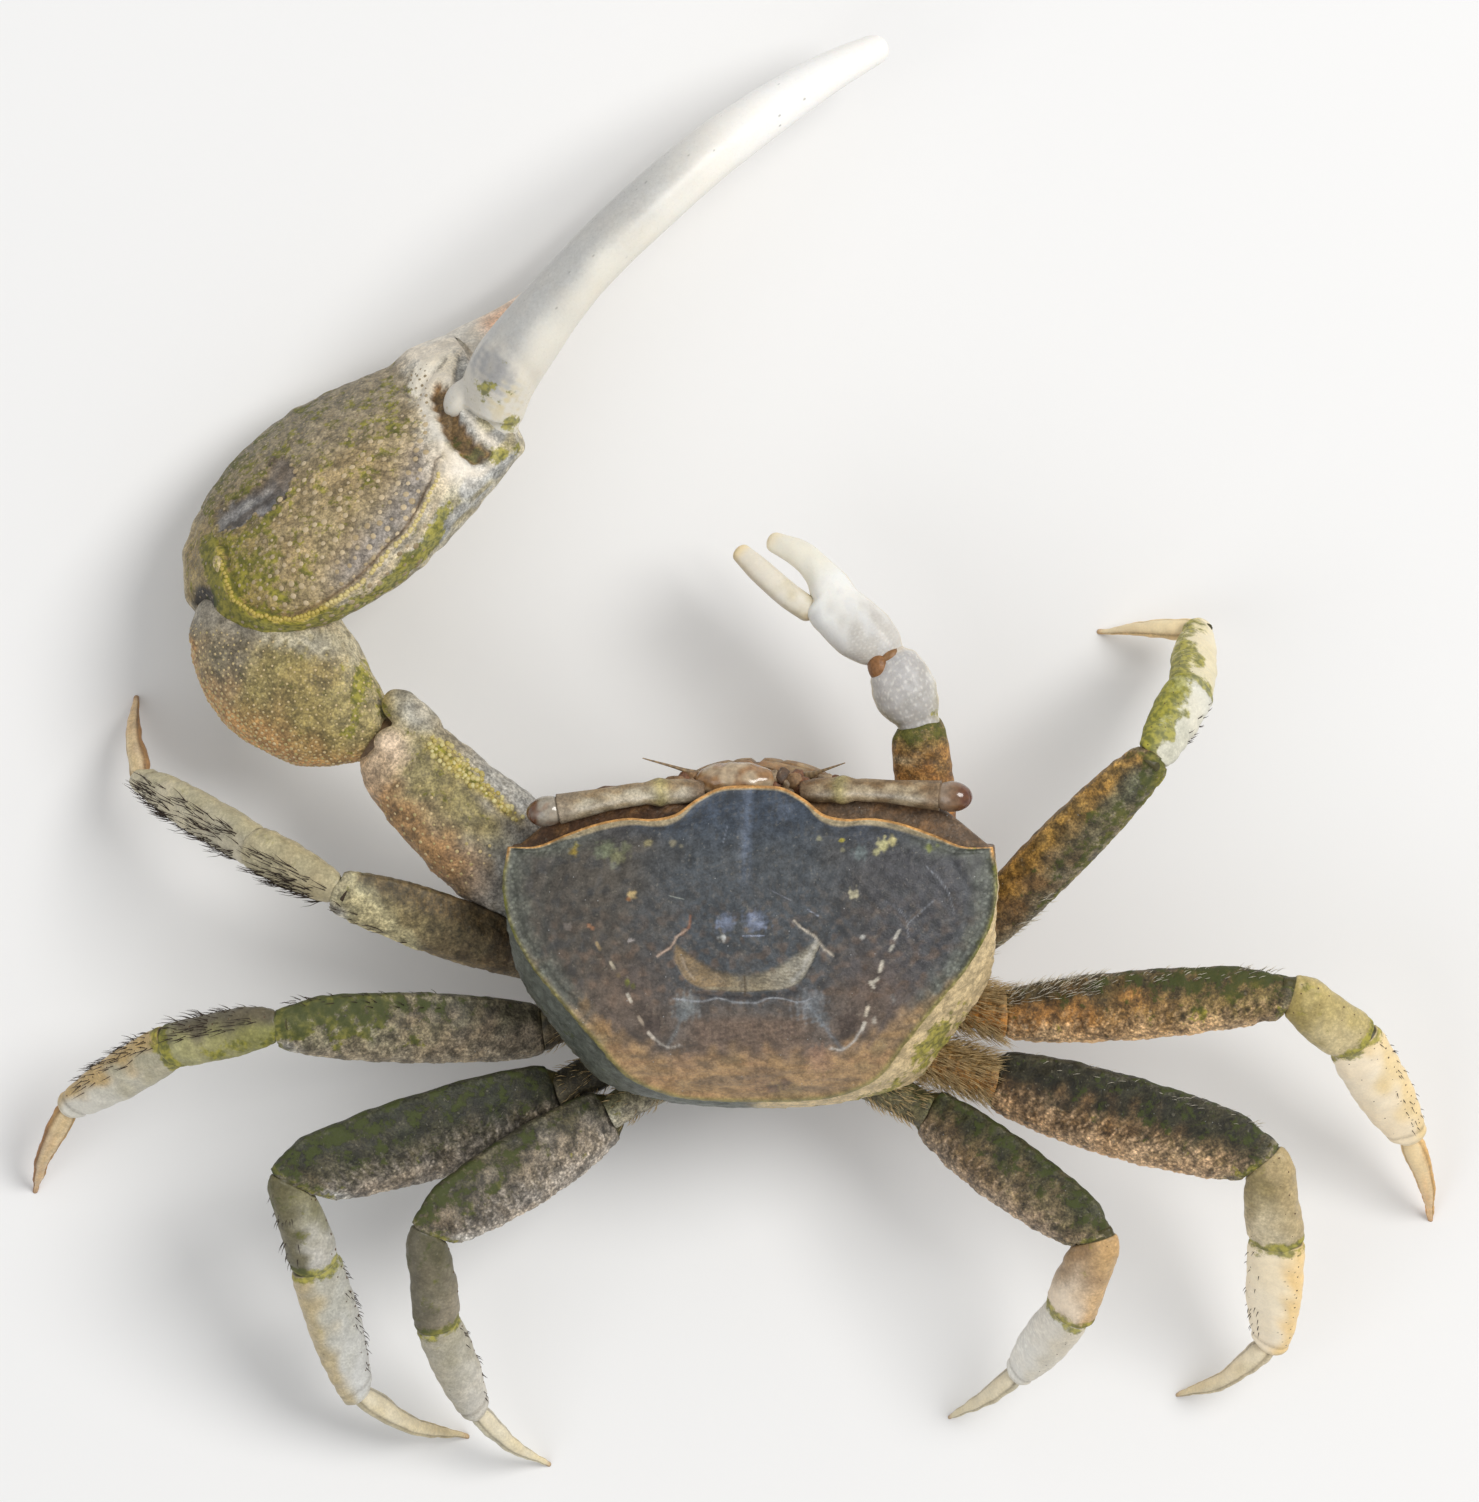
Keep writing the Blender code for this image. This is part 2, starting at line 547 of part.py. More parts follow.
def make_leg(name, leg):
    """Base, merus, carpus, propodus and dactyl, each cut at the plane that halves its joint."""
    stops = [in_body(leg["root"]), leg["hip"], leg["knee"], leg["wrist"], leg["ankle"], leg["tip"]]
    planes = [None]
    for before, joint, after in zip(stops, stops[1:], stops[2:]):
        planes.append(mitre(before, joint, after))
    roll = LEG_ROLL_DEG if stops[1][0] > 0 else -LEG_ROLL_DEG
    floor = (np.zeros(3), np.array((0.0, 0.0, -1.0)))
    for i, (piece, width) in enumerate(zip(LEG_PROFILES, leg["widths"])):
        stations, shares = LEG_PROFILES[piece]
        wide = (stations, np.array(shares) * width / 2)
        thick = (stations, np.array(shares) * LEG_HALF_THICKNESS[piece])
        first, last = np.array(stops[i]), np.array(stops[i + 1])
        spine = [first, last]
        start = moved_plane(planes[i], GAP / 2) if planes[i] else None
        if piece == "dactyl":
            middle = (first + last) / 2 + (*leg["bow"], DACTYL_SAG)
            spine = [first, middle, last]
            end = floor
        else:
            end = moved_plane(planes[i + 1], -GAP / 2)
        rings = sweep(spine, wide, thick, (roll,), LEG_SIDES, LEG_RINGS[piece], start, end)
        obj = closed_mesh(f"leg_{name}_{piece}", rings)
        if piece == "base":
            boolean(obj, body_cutters(), "DIFFERENCE")


def palm_sweep(grow=0.0):
    stations = (0.0, 0.065, 0.205, 0.38, 0.52, 0.71, 0.877, 1.0)
    wide = np.array((0.9, 4.1, 6.8, 8.3, 8.6, 7.8, 6.6, 5.6)) + grow
    thick = np.array((0.6, 2.0, 3.1, 3.7, 3.8, 3.4, 2.8, 2.2)) + grow
    rings = sweep(BIG_PALM, (stations, wide), (stations, thick), (PALM_ROLL_DEG,), 20, 15)
    if grow:
        for end, inner in ((0, 1), (-1, -2)):
            rings[end] += unit(rings[end].mean(axis=0) - rings[inner].mean(axis=0)) * grow
    return rings


def carpus_sweep(grow=0.0):
    stations = (0.0, 0.12, 0.35, 0.6, 0.85, 1.0)
    wide = np.array((1.6, 2.8, 4.3, 4.9, 4.75, 4.2)) + grow
    thick = np.array((1.5, 2.4, 3.3, 3.7, 3.6, 3.2)) + grow
    rings = sweep(BIG_CARPUS, (stations, wide), (stations, thick), (10.0,), 16, 10)
    if grow:
        rings[0] += unit(rings[0].mean(axis=0) - rings[1].mean(axis=0)) * grow
    return rings


def merus_sweep(grow=0.0):
    stations = (0.0, 0.15, 0.35, 0.6, 0.85, 1.0)
    wide = np.array((2.4, 3.3, 3.85, 3.6, 3.2, 2.5)) + grow
    thick = np.array((1.5, 1.9, 2.2, 2.5, 2.5, 1.9)) + grow
    rings = sweep(BIG_MERUS, (stations, wide), (stations, thick), (0.0,), 14, 9)
    if grow:
        for end, inner in ((0, 1), (-1, -2)):
            rings[end] += unit(rings[end].mean(axis=0) - rings[inner].mean(axis=0)) * grow
    return rings


def finger_sweep(fixed):
    """One of the big claw's two long fingers: the fixed one grows from the palm."""
    if fixed:
        spine = BIG_FIXED_FINGER
        stations = (0.0, 0.12, 0.35, 0.6, 0.85, 1.0)
        wide = (3.2, 2.4, 1.9, 1.7, 1.35, 0.6)
        thick = (1.9, 1.5, 1.3, 1.2, 1.0, 0.5)
    else:
        spine = BIG_FINGER
        stations = (0.0, 0.1, 0.3, 0.5, 0.7, 0.9, 1.0)
        wide = (2.4, 2.5, 2.15, 2.05, 1.8, 1.3, 0.65)
        thick = (1.9, 2.15, 1.85, 1.75, 1.6, 1.15, 0.6)
    rolls = (PALM_ROLL_DEG, FINGER_TIP_ROLL_DEG)
    return sweep(spine, (stations, wide), (stations, thick), rolls, 14, 18)


def teeth(fixed):
    """Blunt teeth along the gape, set on the finger's surface with their roots sunk in."""
    rings = finger_sweep(fixed)
    made = []
    for number, share in enumerate(np.linspace(0.2, 0.88, 8)):
        row = rings[int(round(share * (len(rings) - 1)))]
        centre = row.mean(axis=0)
        pick = np.argmax(row[:, 2]) if fixed else np.argmin(row[:, 2])
        out = unit(row[pick] - centre)
        size = 1.5 if number in (2, 5) else 0.9
        base = row[pick] - out * 0.5
        made.append(cone(base, out, TOOTH_RADIUS * size, TOOTH_HEIGHT * size + 0.5))
    return made


def cone(base, way, radius, height):
    mesh = bmesh.new()
    bmesh.ops.create_cone(
        mesh, cap_ends=True, segments=7, radius1=radius, radius2=radius * 0.45, depth=height
    )
    turn = Vector(way).to_track_quat("Z", "Y").to_matrix().to_4x4()
    middle = np.asarray(base) + np.asarray(way) * height / 2
    mesh.transform(Matrix.Scale(MM, 4) @ Matrix.Translation(middle) @ turn)
    data = bpy.data.meshes.new("tooth")
    mesh.to_mesh(data)
    mesh.free()
    obj = bpy.data.objects.new("tooth", data)
    bpy.context.scene.collection.objects.link(obj)
    return obj


def make_big_claw():
    palm = closed_mesh("big_claw_palm", palm_sweep())
    boolean(palm, [closed_mesh("fixed_finger", finger_sweep(True)), *teeth(True)], "UNION")
    finger = closed_mesh("big_claw_finger", finger_sweep(False))
    boolean(finger, teeth(False), "UNION")
    boolean(finger, [closed_mesh("clear_palm", palm_sweep(GAP))], "DIFFERENCE")
    carpus = closed_mesh("big_claw_carpus", carpus_sweep())
    boolean(carpus, [closed_mesh("clear_palm", palm_sweep(GAP))], "DIFFERENCE")
    merus = closed_mesh("big_claw_merus", merus_sweep())
    crest = ellipsoid("crest", MERUS_CREST, (1.3, 1.1, 2.3), (0.7, -0.7, 0.0), 12, 7)
    boolean(merus, [crest], "UNION")
    boolean(merus, [closed_mesh("clear_carpus", carpus_sweep(GAP)), *body_cutters()], "DIFFERENCE")
    spine = [in_body(BIG_BASE["root"]), BIG_BASE["end"]]
    half = ((0.0, 1.0), (1.9, 1.9))
    base = closed_mesh("big_claw_base", sweep(spine, half, half, (0.0,), 12, 4))
    boolean(base, [closed_mesh("clear_merus", merus_sweep(GAP)), *body_cutters()], "DIFFERENCE")


def make_small_claw():
    root, hip = in_body(SMALL_BASE["root"]), SMALL_BASE["end"]
    stops = [root, hip, SMALL_ELBOW, SMALL_WRIST, SMALL_PALM_END]
    after_palm = tuple(2 * np.array(SMALL_PALM_END) - np.array(SMALL_WRIST))
    pieces = (
        ("base", 3.0, 1.3, (0.0, 0.5, 1.0), (0.95, 0.95, 0.9), 4),
        ("merus", 3.7, 1.5, (0.0, 0.1, 0.5, 0.9, 1.0), (0.72, 0.88, 1.0, 0.92, 0.72), 7),
        ("carpus", 4.0, 1.55, (0.0, 0.1, 0.45, 0.85, 1.0), (0.66, 0.82, 1.0, 0.86, 0.6), 7),
        ("palm", 3.8, 1.45, (0.0, 0.1, 0.45, 0.85, 1.0), (0.58, 0.78, 1.0, 0.93, 0.82), 8),
    )
    for i, (piece, width, thick, stations, shares, rings) in enumerate(pieces):
        after = stops[i + 2] if i + 2 < len(stops) else after_palm
        start = None if i == 0 else moved_plane(mitre(stops[i - 1], stops[i], stops[i + 1]), GAP / 2)
        end = moved_plane(mitre(stops[i], stops[i + 1], after), -GAP / 2)
        wide = (stations, np.array(shares) * width / 2)
        deep = (stations, np.array(shares) * thick)
        made = sweep([stops[i], stops[i + 1]], wide, deep, (0.0,), 12, rings, start, end)
        obj = closed_mesh("small_claw_" + piece, made)
        if piece == "base":
            boolean(obj, body_cutters(), "DIFFERENCE")
        if piece == "palm":
            stations = (0.0, 0.3, 0.7, 1.0)
            wide = (stations, (0.88, 0.88, 0.72, 0.5))
            deep = (stations, (1.0, 0.95, 0.7, 0.4))
            fixed = closed_mesh("fixed", sweep(SMALL_FIXED_FINGER, wide, deep, (0.0,), 10, 8))
            boolean(obj, [fixed], "UNION")
            palm = obj
    stations = (0.0, 0.3, 0.7, 1.0)
    wide = (stations, (0.7, 0.76, 0.66, 0.48))
    deep = (stations, (0.85, 0.85, 0.65, 0.35))
    start = moved_plane(mitre(SMALL_WRIST, SMALL_PALM_END, after_palm), GAP / 2)
    finger = sweep(SMALL_FINGER, wide, deep, (0.0,), 10, 8, start)
    closed_mesh("small_claw_finger", finger)
    return palm


def material(name):
    colour, roughness = COLOURS[name]
    made = bpy.data.materials.new(name)
    made.use_nodes = True
    shader = made.node_tree.nodes["Principled BSDF"]
    shader.inputs["Base Color"].default_value = (*colour, 1.0)
    shader.inputs["Roughness"].default_value = roughness
    shader.inputs["Metallic"].default_value = 0.0
    return made


def finish(obj, materials):
    """Gives a piece its material, smooth shading and its place about the footprint's centre."""
    kind = "leg"
    for word, choice in (
        ("carapace", "shell"), ("thorax", "belly"), ("abdomen", "belly"), ("mouthparts", "belly"),
        ("eyestalk", "belly"), ("eye_", "eye"), ("antenna", "belly"), ("big_claw_finger", "ivory"),
        ("big_claw", "claw"), ("small_claw", "ivory"),
    ):
        if obj.name.startswith(word):
            kind = choice
            break
    obj.data.materials.clear()
    obj.data.materials.append(materials[kind])
    obj.data.shade_smooth()
    obj.data.set_sharp_from_angle(angle=math.radians(40))
    x, y = FOOTPRINT_CENTRE
    obj.data.transform(Matrix.Translation((-x * MM, -y * MM, 0.0)))


def main():
    for obj in list(bpy.data.objects):
        bpy.data.objects.remove(obj, do_unlink=True)
    make_body()
    make_abdomen()
    make_mouthparts()
    for side in ("left", "right"):
        make_eye(side)
        make_antenna(side)
    for name, leg in LEGS.items():
        make_leg(name, leg)
    make_big_claw()
    make_small_claw()
    materials = {name: material(name) for name in COLOURS}
    for obj in bpy.data.objects:
        finish(obj, materials)


main()
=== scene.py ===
"""Looks for the standing male fiddler crab: shell relief, markings, joint skins, teeth, beads and bristles.

Sizes are in millimetres in the solids' own working frame, measured from a point on the floor under the
carapace. The crab faces -Y, with its own left towards +X. Each mesh is moved by FOOTPRINT_CENTRE and
scaled to metres when it is made. Colours are sRGB triples out of 255, which layered() lays over each other.
"""

import math

import bmesh
import bpy
import numpy as np
from mathutils import Matrix, Vector


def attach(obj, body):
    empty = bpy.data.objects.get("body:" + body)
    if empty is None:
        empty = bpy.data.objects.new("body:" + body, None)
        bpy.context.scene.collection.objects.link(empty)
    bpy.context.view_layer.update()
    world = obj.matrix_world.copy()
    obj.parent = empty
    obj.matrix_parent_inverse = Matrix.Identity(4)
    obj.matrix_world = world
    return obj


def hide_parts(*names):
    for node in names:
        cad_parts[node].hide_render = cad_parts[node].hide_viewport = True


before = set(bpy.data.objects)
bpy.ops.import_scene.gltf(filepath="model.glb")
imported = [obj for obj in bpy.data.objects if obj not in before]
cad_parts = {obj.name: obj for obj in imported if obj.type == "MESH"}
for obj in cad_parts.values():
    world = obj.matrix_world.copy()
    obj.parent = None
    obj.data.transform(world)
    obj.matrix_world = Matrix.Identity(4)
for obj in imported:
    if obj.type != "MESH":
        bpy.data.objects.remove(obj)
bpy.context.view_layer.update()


MM = 0.001
GAP = 0.3  # between the planes that neighbouring leg pieces end at
FOOTPRINT_CENTRE = (1.15, -12.2)
BODY_PIVOT = (0.0, 0.0, 18.0)
BODY_ROLL_DEG = 5.0
BODY_PITCH_DEG = 3.0

# The photograph: 16 pixels to the millimetre at the height of the carapace's sides.
PIXELS_PER_MM = 16.0
IMAGE_WIDTH = 1479
CAMERA_CENTRE = (0.72, -12.44)
CAMERA_DISTANCE = 800.0
CAMERA_AIM_Z = 10.0
SENSOR_MM = 36.0
CLIP_END_M = 10.0

FLOOR_HALF_SIZE_M = 1.6
FLOOR_DROP_M = 0.00002  # below the feet, so that floor and feet never share a plane
FLOOR_WHITENESS = 0.86
SKY_STRENGTH = 0.52
# Lamps, all aimed at the middle: name, place and size in metres, watts and colour.
LAMPS = (
    ("key", (-0.42, -0.2, 0.66), 0.4, 3.9, (1.0, 0.985, 0.96)),
    ("fill", (0.4, 0.3, 0.6), 0.6, 0.9, (0.96, 0.98, 1.0)),
)

# The enlarged view of the carapace: its scale and where its corner lies, how much larger the lens shows the
# crown than the floor of that view, and how far the body's lean moves the crown.
CROP_PIXELS_PER_MM = 56.0
CROP_CORNER = (16.94, -13.125)
CROWN_CLOSENESS = 1.0127
CROWN_SHIFT = (0.21, 0.12)

# Half of the carapace's margin, from the middle of the front to the middle of the rear.
MARGIN = [
    (0.0, -10.3), (2.0, -10.15), (3.4, -9.45), (4.6, -8.6), (6.0, -8.3), (7.5, -8.35), (9.5, -8.0),
    (11.5, -7.3), (13.3, -6.6), (15.05, -6.55), (15.35, -4.4), (15.0, -2.0), (13.8, 0.4), (11.8, 2.9),
    (9.6, 5.6), (7.6, 8.0), (5.2, 9.1), (2.5, 9.45), (0.0, 9.5),
]
CORNER = 9  # of MARGIN's points, the one at the sharp front corner
CROWN_Z = 20.4
SHELL_FLOOR_Z = 11.5
ORBIT_SHELF_Y = -10.0
ORBIT_SHELF_DROP = 2.7
WALL_BULGE = 1.9

THORAX_OUTLINE = [
    (0.0, -8.6), (4.5, -8.0), (7.3, -5.2), (8.7, -1.0), (8.9, 2.6), (8.0, 5.8), (5.8, 8.2), (3.0, 9.0),
    (0.0, 9.1),
]
THORAX_LEVELS = [(11.2, 0.96), (9.8, 1.0), (8.2, 0.99), (6.6, 0.92), (5.4, 0.8), (4.6, 0.55)]

# For each leg piece: stations along it, and its width there as a share of its widest.
LEG_PROFILES = {
    "base": ((0.0, 0.5, 1.0), (1.0, 0.95, 0.9)),
    "merus": ((0.0, 0.08, 0.3, 0.5, 0.72, 0.93, 1.0), (0.68, 0.82, 0.97, 1.0, 0.94, 0.78, 0.6)),
    "carpus": ((0.0, 0.12, 0.4, 0.7, 0.9, 1.0), (0.66, 0.8, 0.93, 1.0, 1.0, 0.88)),
    "propodus": ((0.0, 0.1, 0.35, 0.6, 0.88, 1.0), (0.9, 0.98, 1.0, 0.94, 0.74, 0.58)),
    "dactyl": ((0.0, 0.1, 0.35, 0.6, 0.85, 1.0), (0.8, 1.0, 0.82, 0.62, 0.36, 0.2)),
}
LEG_HALF_THICKNESS = {"base": 1.35, "merus": 1.25, "carpus": 1.15, "propodus": 1.05, "dactyl": 0.6}
LEG_RINGS = {"base": 24, "merus": 110, "carpus": 50, "propodus": 76, "dactyl": 60}
LEG_SIDES = 56
LEG_ROLL_DEG = 18.0
DACTYL_SAG = 0.7

# Where each leg bends, how far its dactyl bows sideways, and the widths of its five pieces.
LEGS = {
    "left_1": dict(
        root=(7.2, -1.2, 8.9), hip=(13.1, 0.5, 9.2), knee=(25.7, -3.8, 15.0), wrist=(30.9, -6.5, 12.6),
        ankle=(38.3, -10.7, 5.0), tip=(38.9, -15.8, 0.0), bow=(0.3, 0.0), widths=(2.9, 3.8, 2.9, 2.8, 1.4),
    ),
    "left_2": dict(
        root=(7.4, 2.5, 8.9), hip=(13.1, 5.0, 9.2), knee=(29.4, 4.6, 15.5), wrist=(36.1, 5.9, 12.6),
        ankle=(42.8, 9.9, 5.6), tip=(45.3, 15.4, 0.0), bow=(0.35, 0.1), widths=(2.9, 4.3, 3.0, 3.1, 1.5),
    ),
    "left_3": dict(
        root=(6.6, 5.8, 8.9), hip=(12.2, 9.0, 9.2), knee=(28.5, 14.3, 15.0), wrist=(27.2, 19.5, 12.0),
        ankle=(24.7, 27.9, 5.5), tip=(18.0, 30.9, 0.0), bow=(0.2, 0.55), widths=(2.5, 5.5, 3.2, 3.5, 1.6),
    ),
    "left_4": dict(
        root=(4.6, 7.6, 9.1), hip=(9.0, 10.3, 9.6), knee=(20.0, 17.4, 14.5), wrist=(19.6, 23.2, 11.0),
        ankle=(17.3, 29.0, 5.2), tip=(12.8, 32.7, 0.0), bow=(0.2, 0.3), widths=(2.3, 4.7, 3.0, 3.0, 1.4),
    ),
    "right_1": dict(
        root=(-7.2, -0.8, 8.9), hip=(-13.9, -0.8, 10.4), knee=(-24.9, -12.0, 16.0), wrist=(-27.4, -16.2, 12.6),
        ankle=(-28.1, -20.1, 4.6), tip=(-22.1, -20.0, 0.0), bow=(0.0, -0.1), widths=(2.9, 3.6, 3.3, 3.0, 1.4),
    ),
    "right_2": dict(
        root=(-7.4, 2.6, 8.9), hip=(-16.0, 4.0, 10.6), knee=(-33.4, 2.65, 15.5), wrist=(-37.5, 5.5, 13.0),
        ankle=(-41.3, 11.7, 6.0), tip=(-43.0, 17.2, 0.0), bow=(-0.3, 0.0), widths=(2.9, 4.2, 3.5, 3.8, 1.6),
    ),
    "right_3": dict(
        root=(-6.6, 5.8, 8.9), hip=(-15.4, 8.1, 10.2), knee=(-31.8, 12.9, 15.0), wrist=(-32.8, 18.0, 12.2),
        ankle=(-32.6, 24.8, 5.6), tip=(-27.0, 28.3, 0.0), bow=(-0.2, 0.5), widths=(2.7, 5.2, 3.6, 3.7, 1.6),
    ),
    "right_4": dict(
        root=(-4.6, 7.6, 9.1), hip=(-11.1, 10.1, 10.0), knee=(-21.4, 17.8, 14.5), wrist=(-19.9, 22.5, 11.2),
        ankle=(-16.8, 26.6, 5.5), tip=(-12.6, 29.7, 0.0), bow=(-0.1, 0.15), widths=(2.4, 4.2, 3.4, 3.2, 1.4),
    ),
}

# Leg colours at the start and the end of each piece, then towards its outer edge, and how much algae
# there is at the start and the end.
# The right legs are lighter than the left ones partly in their own colour and partly as painted light: the
# crab's right side painted lit, its left side painted in shade.
LEG_LOOKS = {
    "left_1": dict(
        base=((70, 58, 44), (78, 64, 48), (80, 70, 52), (0.1, 0.1)),
        merus=((74, 60, 45), (140, 130, 100), (96, 82, 60), (0.1, 0.25)),
        carpus=((178, 166, 132), (186, 176, 144), (182, 172, 138), (0.3, 0.2)),
        propodus=((188, 180, 156), (206, 198, 172), (184, 176, 144), (0.15, 0.2)),
        dactyl=((186, 158, 108), (200, 150, 88), (160, 120, 78), (0.0, 0.0)),
    ),
    "left_2": dict(
        base=((66, 58, 46), (78, 70, 56), (60, 58, 44), (0.2, 0.2)),
        merus=((118, 108, 94), (128, 124, 104), (100, 96, 80), (0.0, 0.8)),
        carpus=((140, 138, 82), (170, 166, 120), (98, 90, 76), (0.5, 0.3)),
        propodus=((180, 174, 150), (220, 216, 204), (196, 166, 108), (0.25, 0.0)),
        dactyl=((196, 160, 104), (176, 122, 62), (150, 104, 58), (0.0, 0.0)),
    ),
    "left_3": dict(
        base=((56, 52, 42), (64, 60, 48), (56, 54, 42), (0.3, 0.3)),
        merus=((80, 75, 64), (92, 87, 72), (38, 42, 28), (0.3, 0.45)),
        carpus=((138, 134, 104), (196, 194, 188), (96, 90, 60), (0.5, 0.3)),
        propodus=((182, 180, 168), (208, 208, 204), (186, 170, 132), (0.3, 0.0)),
        dactyl=((206, 200, 180), (214, 196, 150), (190, 180, 150), (0.0, 0.0)),
    ),
    "left_4": dict(
        base=((112, 108, 92), (150, 146, 132), (120, 118, 92), (0.4, 0.3)),
        merus=((138, 130, 118), (108, 100, 88), (70, 68, 52), (0.25, 0.45)),
        carpus=((92, 88, 66), (142, 134, 116), (104, 98, 80), (0.45, 0.35)),
        propodus=((168, 162, 142), (200, 196, 186), (172, 166, 148), (0.35, 0.0)),
        dactyl=((204, 200, 184), (222, 206, 162), (196, 190, 166), (0.0, 0.0)),
    ),
    "right_1": dict(
        base=((150, 118, 78), (140, 104, 64), (136, 110, 74), (0.1, 0.1)),
        merus=((112, 90, 64), (104, 104, 86), (158, 126, 76), (0.2, 0.6)),
        carpus=((206, 204, 186), (224, 222, 208), (170, 168, 84), (0.85, 0.45)),
        propodus=((226, 216, 182), (238, 226, 194), (206, 196, 138), (0.7, 0.4)),
        dactyl=((250, 226, 178), (252, 228, 184), (240, 206, 150), (0.0, 0.0)),
    ),
    "right_2": dict(
        base=((168, 138, 96), (156, 112, 66), (140, 112, 74), (0.1, 0.1)),
        merus=((152, 114, 74), (120, 108, 76), (78, 68, 46), (0.15, 0.55)),
        carpus=((162, 144, 86), (210, 194, 150), (190, 172, 114), (0.4, 0.1)),
        propodus=((250, 236, 210), (250, 234, 204), (240, 214, 160), (0.05, 0.0)),
        dactyl=((246, 214, 158), (240, 176, 96), (222, 176, 110), (0.0, 0.0)),
    ),
    "right_3": dict(
        base=((156, 128, 88), (140, 104, 64), (120, 100, 66), (0.2, 0.2)),
        merus=((112, 90, 66), (126, 110, 84), (30, 36, 28), (0.2, 0.4)),
        carpus=((150, 134, 92), (204, 190, 158), (184, 164, 122), (0.25, 0.1)),
        propodus=((250, 236, 206), (250, 236, 210), (244, 210, 146), (0.15, 0.0)),
        dactyl=((226, 214, 190), (232, 208, 160), (206, 192, 160), (0.0, 0.0)),
    ),
    "right_4": dict(
        base=((120, 116, 92), (90, 84, 62), (84, 84, 58), (0.5, 0.4)),
        merus=((112, 96, 74), (118, 108, 84), (46, 50, 32), (0.3, 0.4)),
        carpus=((164, 134, 98), (234, 218, 196), (204, 168, 118), (0.3, 0.15)),
        propodus=((222, 218, 208), (230, 227, 218), (216, 208, 190), (0.15, 0.0)),
        dactyl=((222, 212, 190), (226, 212, 176), (206, 196, 166), (0.0, 0.0)),
    ),
}

# Rows of dark pits: where round the piece (1 outer edge, -1 inner), how many, how big in mm.
PIT_ROWS = {
    "left_2": ((0.75, 12, 0.055),), "left_3": ((-0.86, 9, 0.09), (-0.55, 5, 0.06)),
    "left_4": ((-0.88, 9, 0.08),), "right_1": ((0.8, 12, 0.05), (0.3, 8, 0.04)),
    "right_2": ((0.85, 13, 0.06), (0.5, 9, 0.05), (-0.3, 5, 0.045)),
    "right_3": ((0.86, 10, 0.06), (0.6, 8, 0.045), (-0.75, 6, 0.04)), "right_4": ((0.8, 6, 0.04),),
}
# Rings of the neck and the lip at a leg joint: size against the end's own ring, and reach in mm.
LEG_NECK = ((0.58, 0.85), (0.7, 0.6), (0.82, 0.28), (0.91, 0.08))
LEG_LIP = ((0.975, 0.05), (0.93, 0.06), (0.87, 0.0), (0.8, -0.25), (0.7, -0.5))

BIG_BASE = dict(root=(5.6, -4.6, 8.6), end=(11.6, -4.2, 9.4))
BIG_MERUS = [(11.7, -3.4, 10.6), (16.7, -7.2, 11.3), (22.7, -12.9, 11.0)]
BIG_MERUS_WAY = (0.757, -0.653)
BIG_MERUS_REACH = 14.5
MERUS_CREST = (21.0, -14.4, 12.2)
BIG_CARPUS = [(23.2, -13.3, 10.6), (27.4, -15.8, 9.9), (30.0, -18.5, 9.3), (30.6, -22.0, 9.0)]
BIG_PALM = [(35.0, -21.3, 8.9), (25.8, -28.0, 8.9), (16.6, -34.5, 8.7)]
BIG_FIXED_FINGER = [
    (20.6, -33.6, 6.6), (17.6, -36.6, 5.3), (14.5, -39.1, 4.5), (10.7, -42.5, 3.9), (6.9, -46.0, 3.7),
    (3.2, -49.2, 3.7), (-1.0, -52.2, 4.2), (-5.6, -55.1, 5.4),
]
BIG_FINGER = [
    (16.3, -33.9, 11.9), (15.7, -35.6, 12.7), (13.9, -38.4, 13.8), (9.7, -43.3, 14.6), (6.9, -45.9, 14.2),
    (3.4, -49.0, 13.0), (-0.8, -52.2, 11.0), (-4.7, -54.8, 8.8), (-8.2, -56.7, 6.6),
]
FINGER_REACH = 34.0
PALM_ROLL_DEG = 48.0
FINGER_TIP_ROLL_DEG = 80.0
# Parts of the big claw: spine, stations along it, half widths and half thicknesses there, and rolls.
BIG_SWEEPS = {
    "palm": (
        BIG_PALM, (0.0, 0.065, 0.205, 0.38, 0.52, 0.71, 0.877, 1.0), (0.9, 4.1, 6.8, 8.3, 8.6, 7.8, 6.6, 5.6),
        (0.6, 2.0, 3.1, 3.7, 3.8, 3.4, 2.8, 2.2), (PALM_ROLL_DEG,),
    ),
    "carpus": (
        BIG_CARPUS, (0.0, 0.12, 0.35, 0.6, 0.85, 1.0), (1.6, 2.8, 4.3, 4.9, 4.75, 4.2),
        (1.5, 2.4, 3.3, 3.7, 3.6, 3.2), (10.0,),
    ),
    "merus": (
        BIG_MERUS, (0.0, 0.15, 0.35, 0.6, 0.85, 1.0), (2.4, 3.3, 3.85, 3.6, 3.2, 2.5),
        (1.5, 1.9, 2.2, 2.5, 2.5, 1.9), (0.0,),
    ),
    "fixed finger": (
        BIG_FIXED_FINGER, (0.0, 0.12, 0.35, 0.6, 0.85, 1.0), (3.2, 2.4, 1.9, 1.7, 1.35, 0.6),
        (1.9, 1.5, 1.3, 1.2, 1.0, 0.5), (PALM_ROLL_DEG, FINGER_TIP_ROLL_DEG),
    ),
    "finger": (
        BIG_FINGER, (0.0, 0.1, 0.3, 0.5, 0.7, 0.9, 1.0), (2.4, 2.5, 2.15, 2.05, 1.85, 1.52, 1.2),
        (1.9, 2.15, 1.85, 1.75, 1.6, 1.2, 0.9), (PALM_ROLL_DEG, FINGER_TIP_ROLL_DEG),
    ),
}
PALM_GRAIN_TRIES = 16000
GRAIN_TRIES = 9000
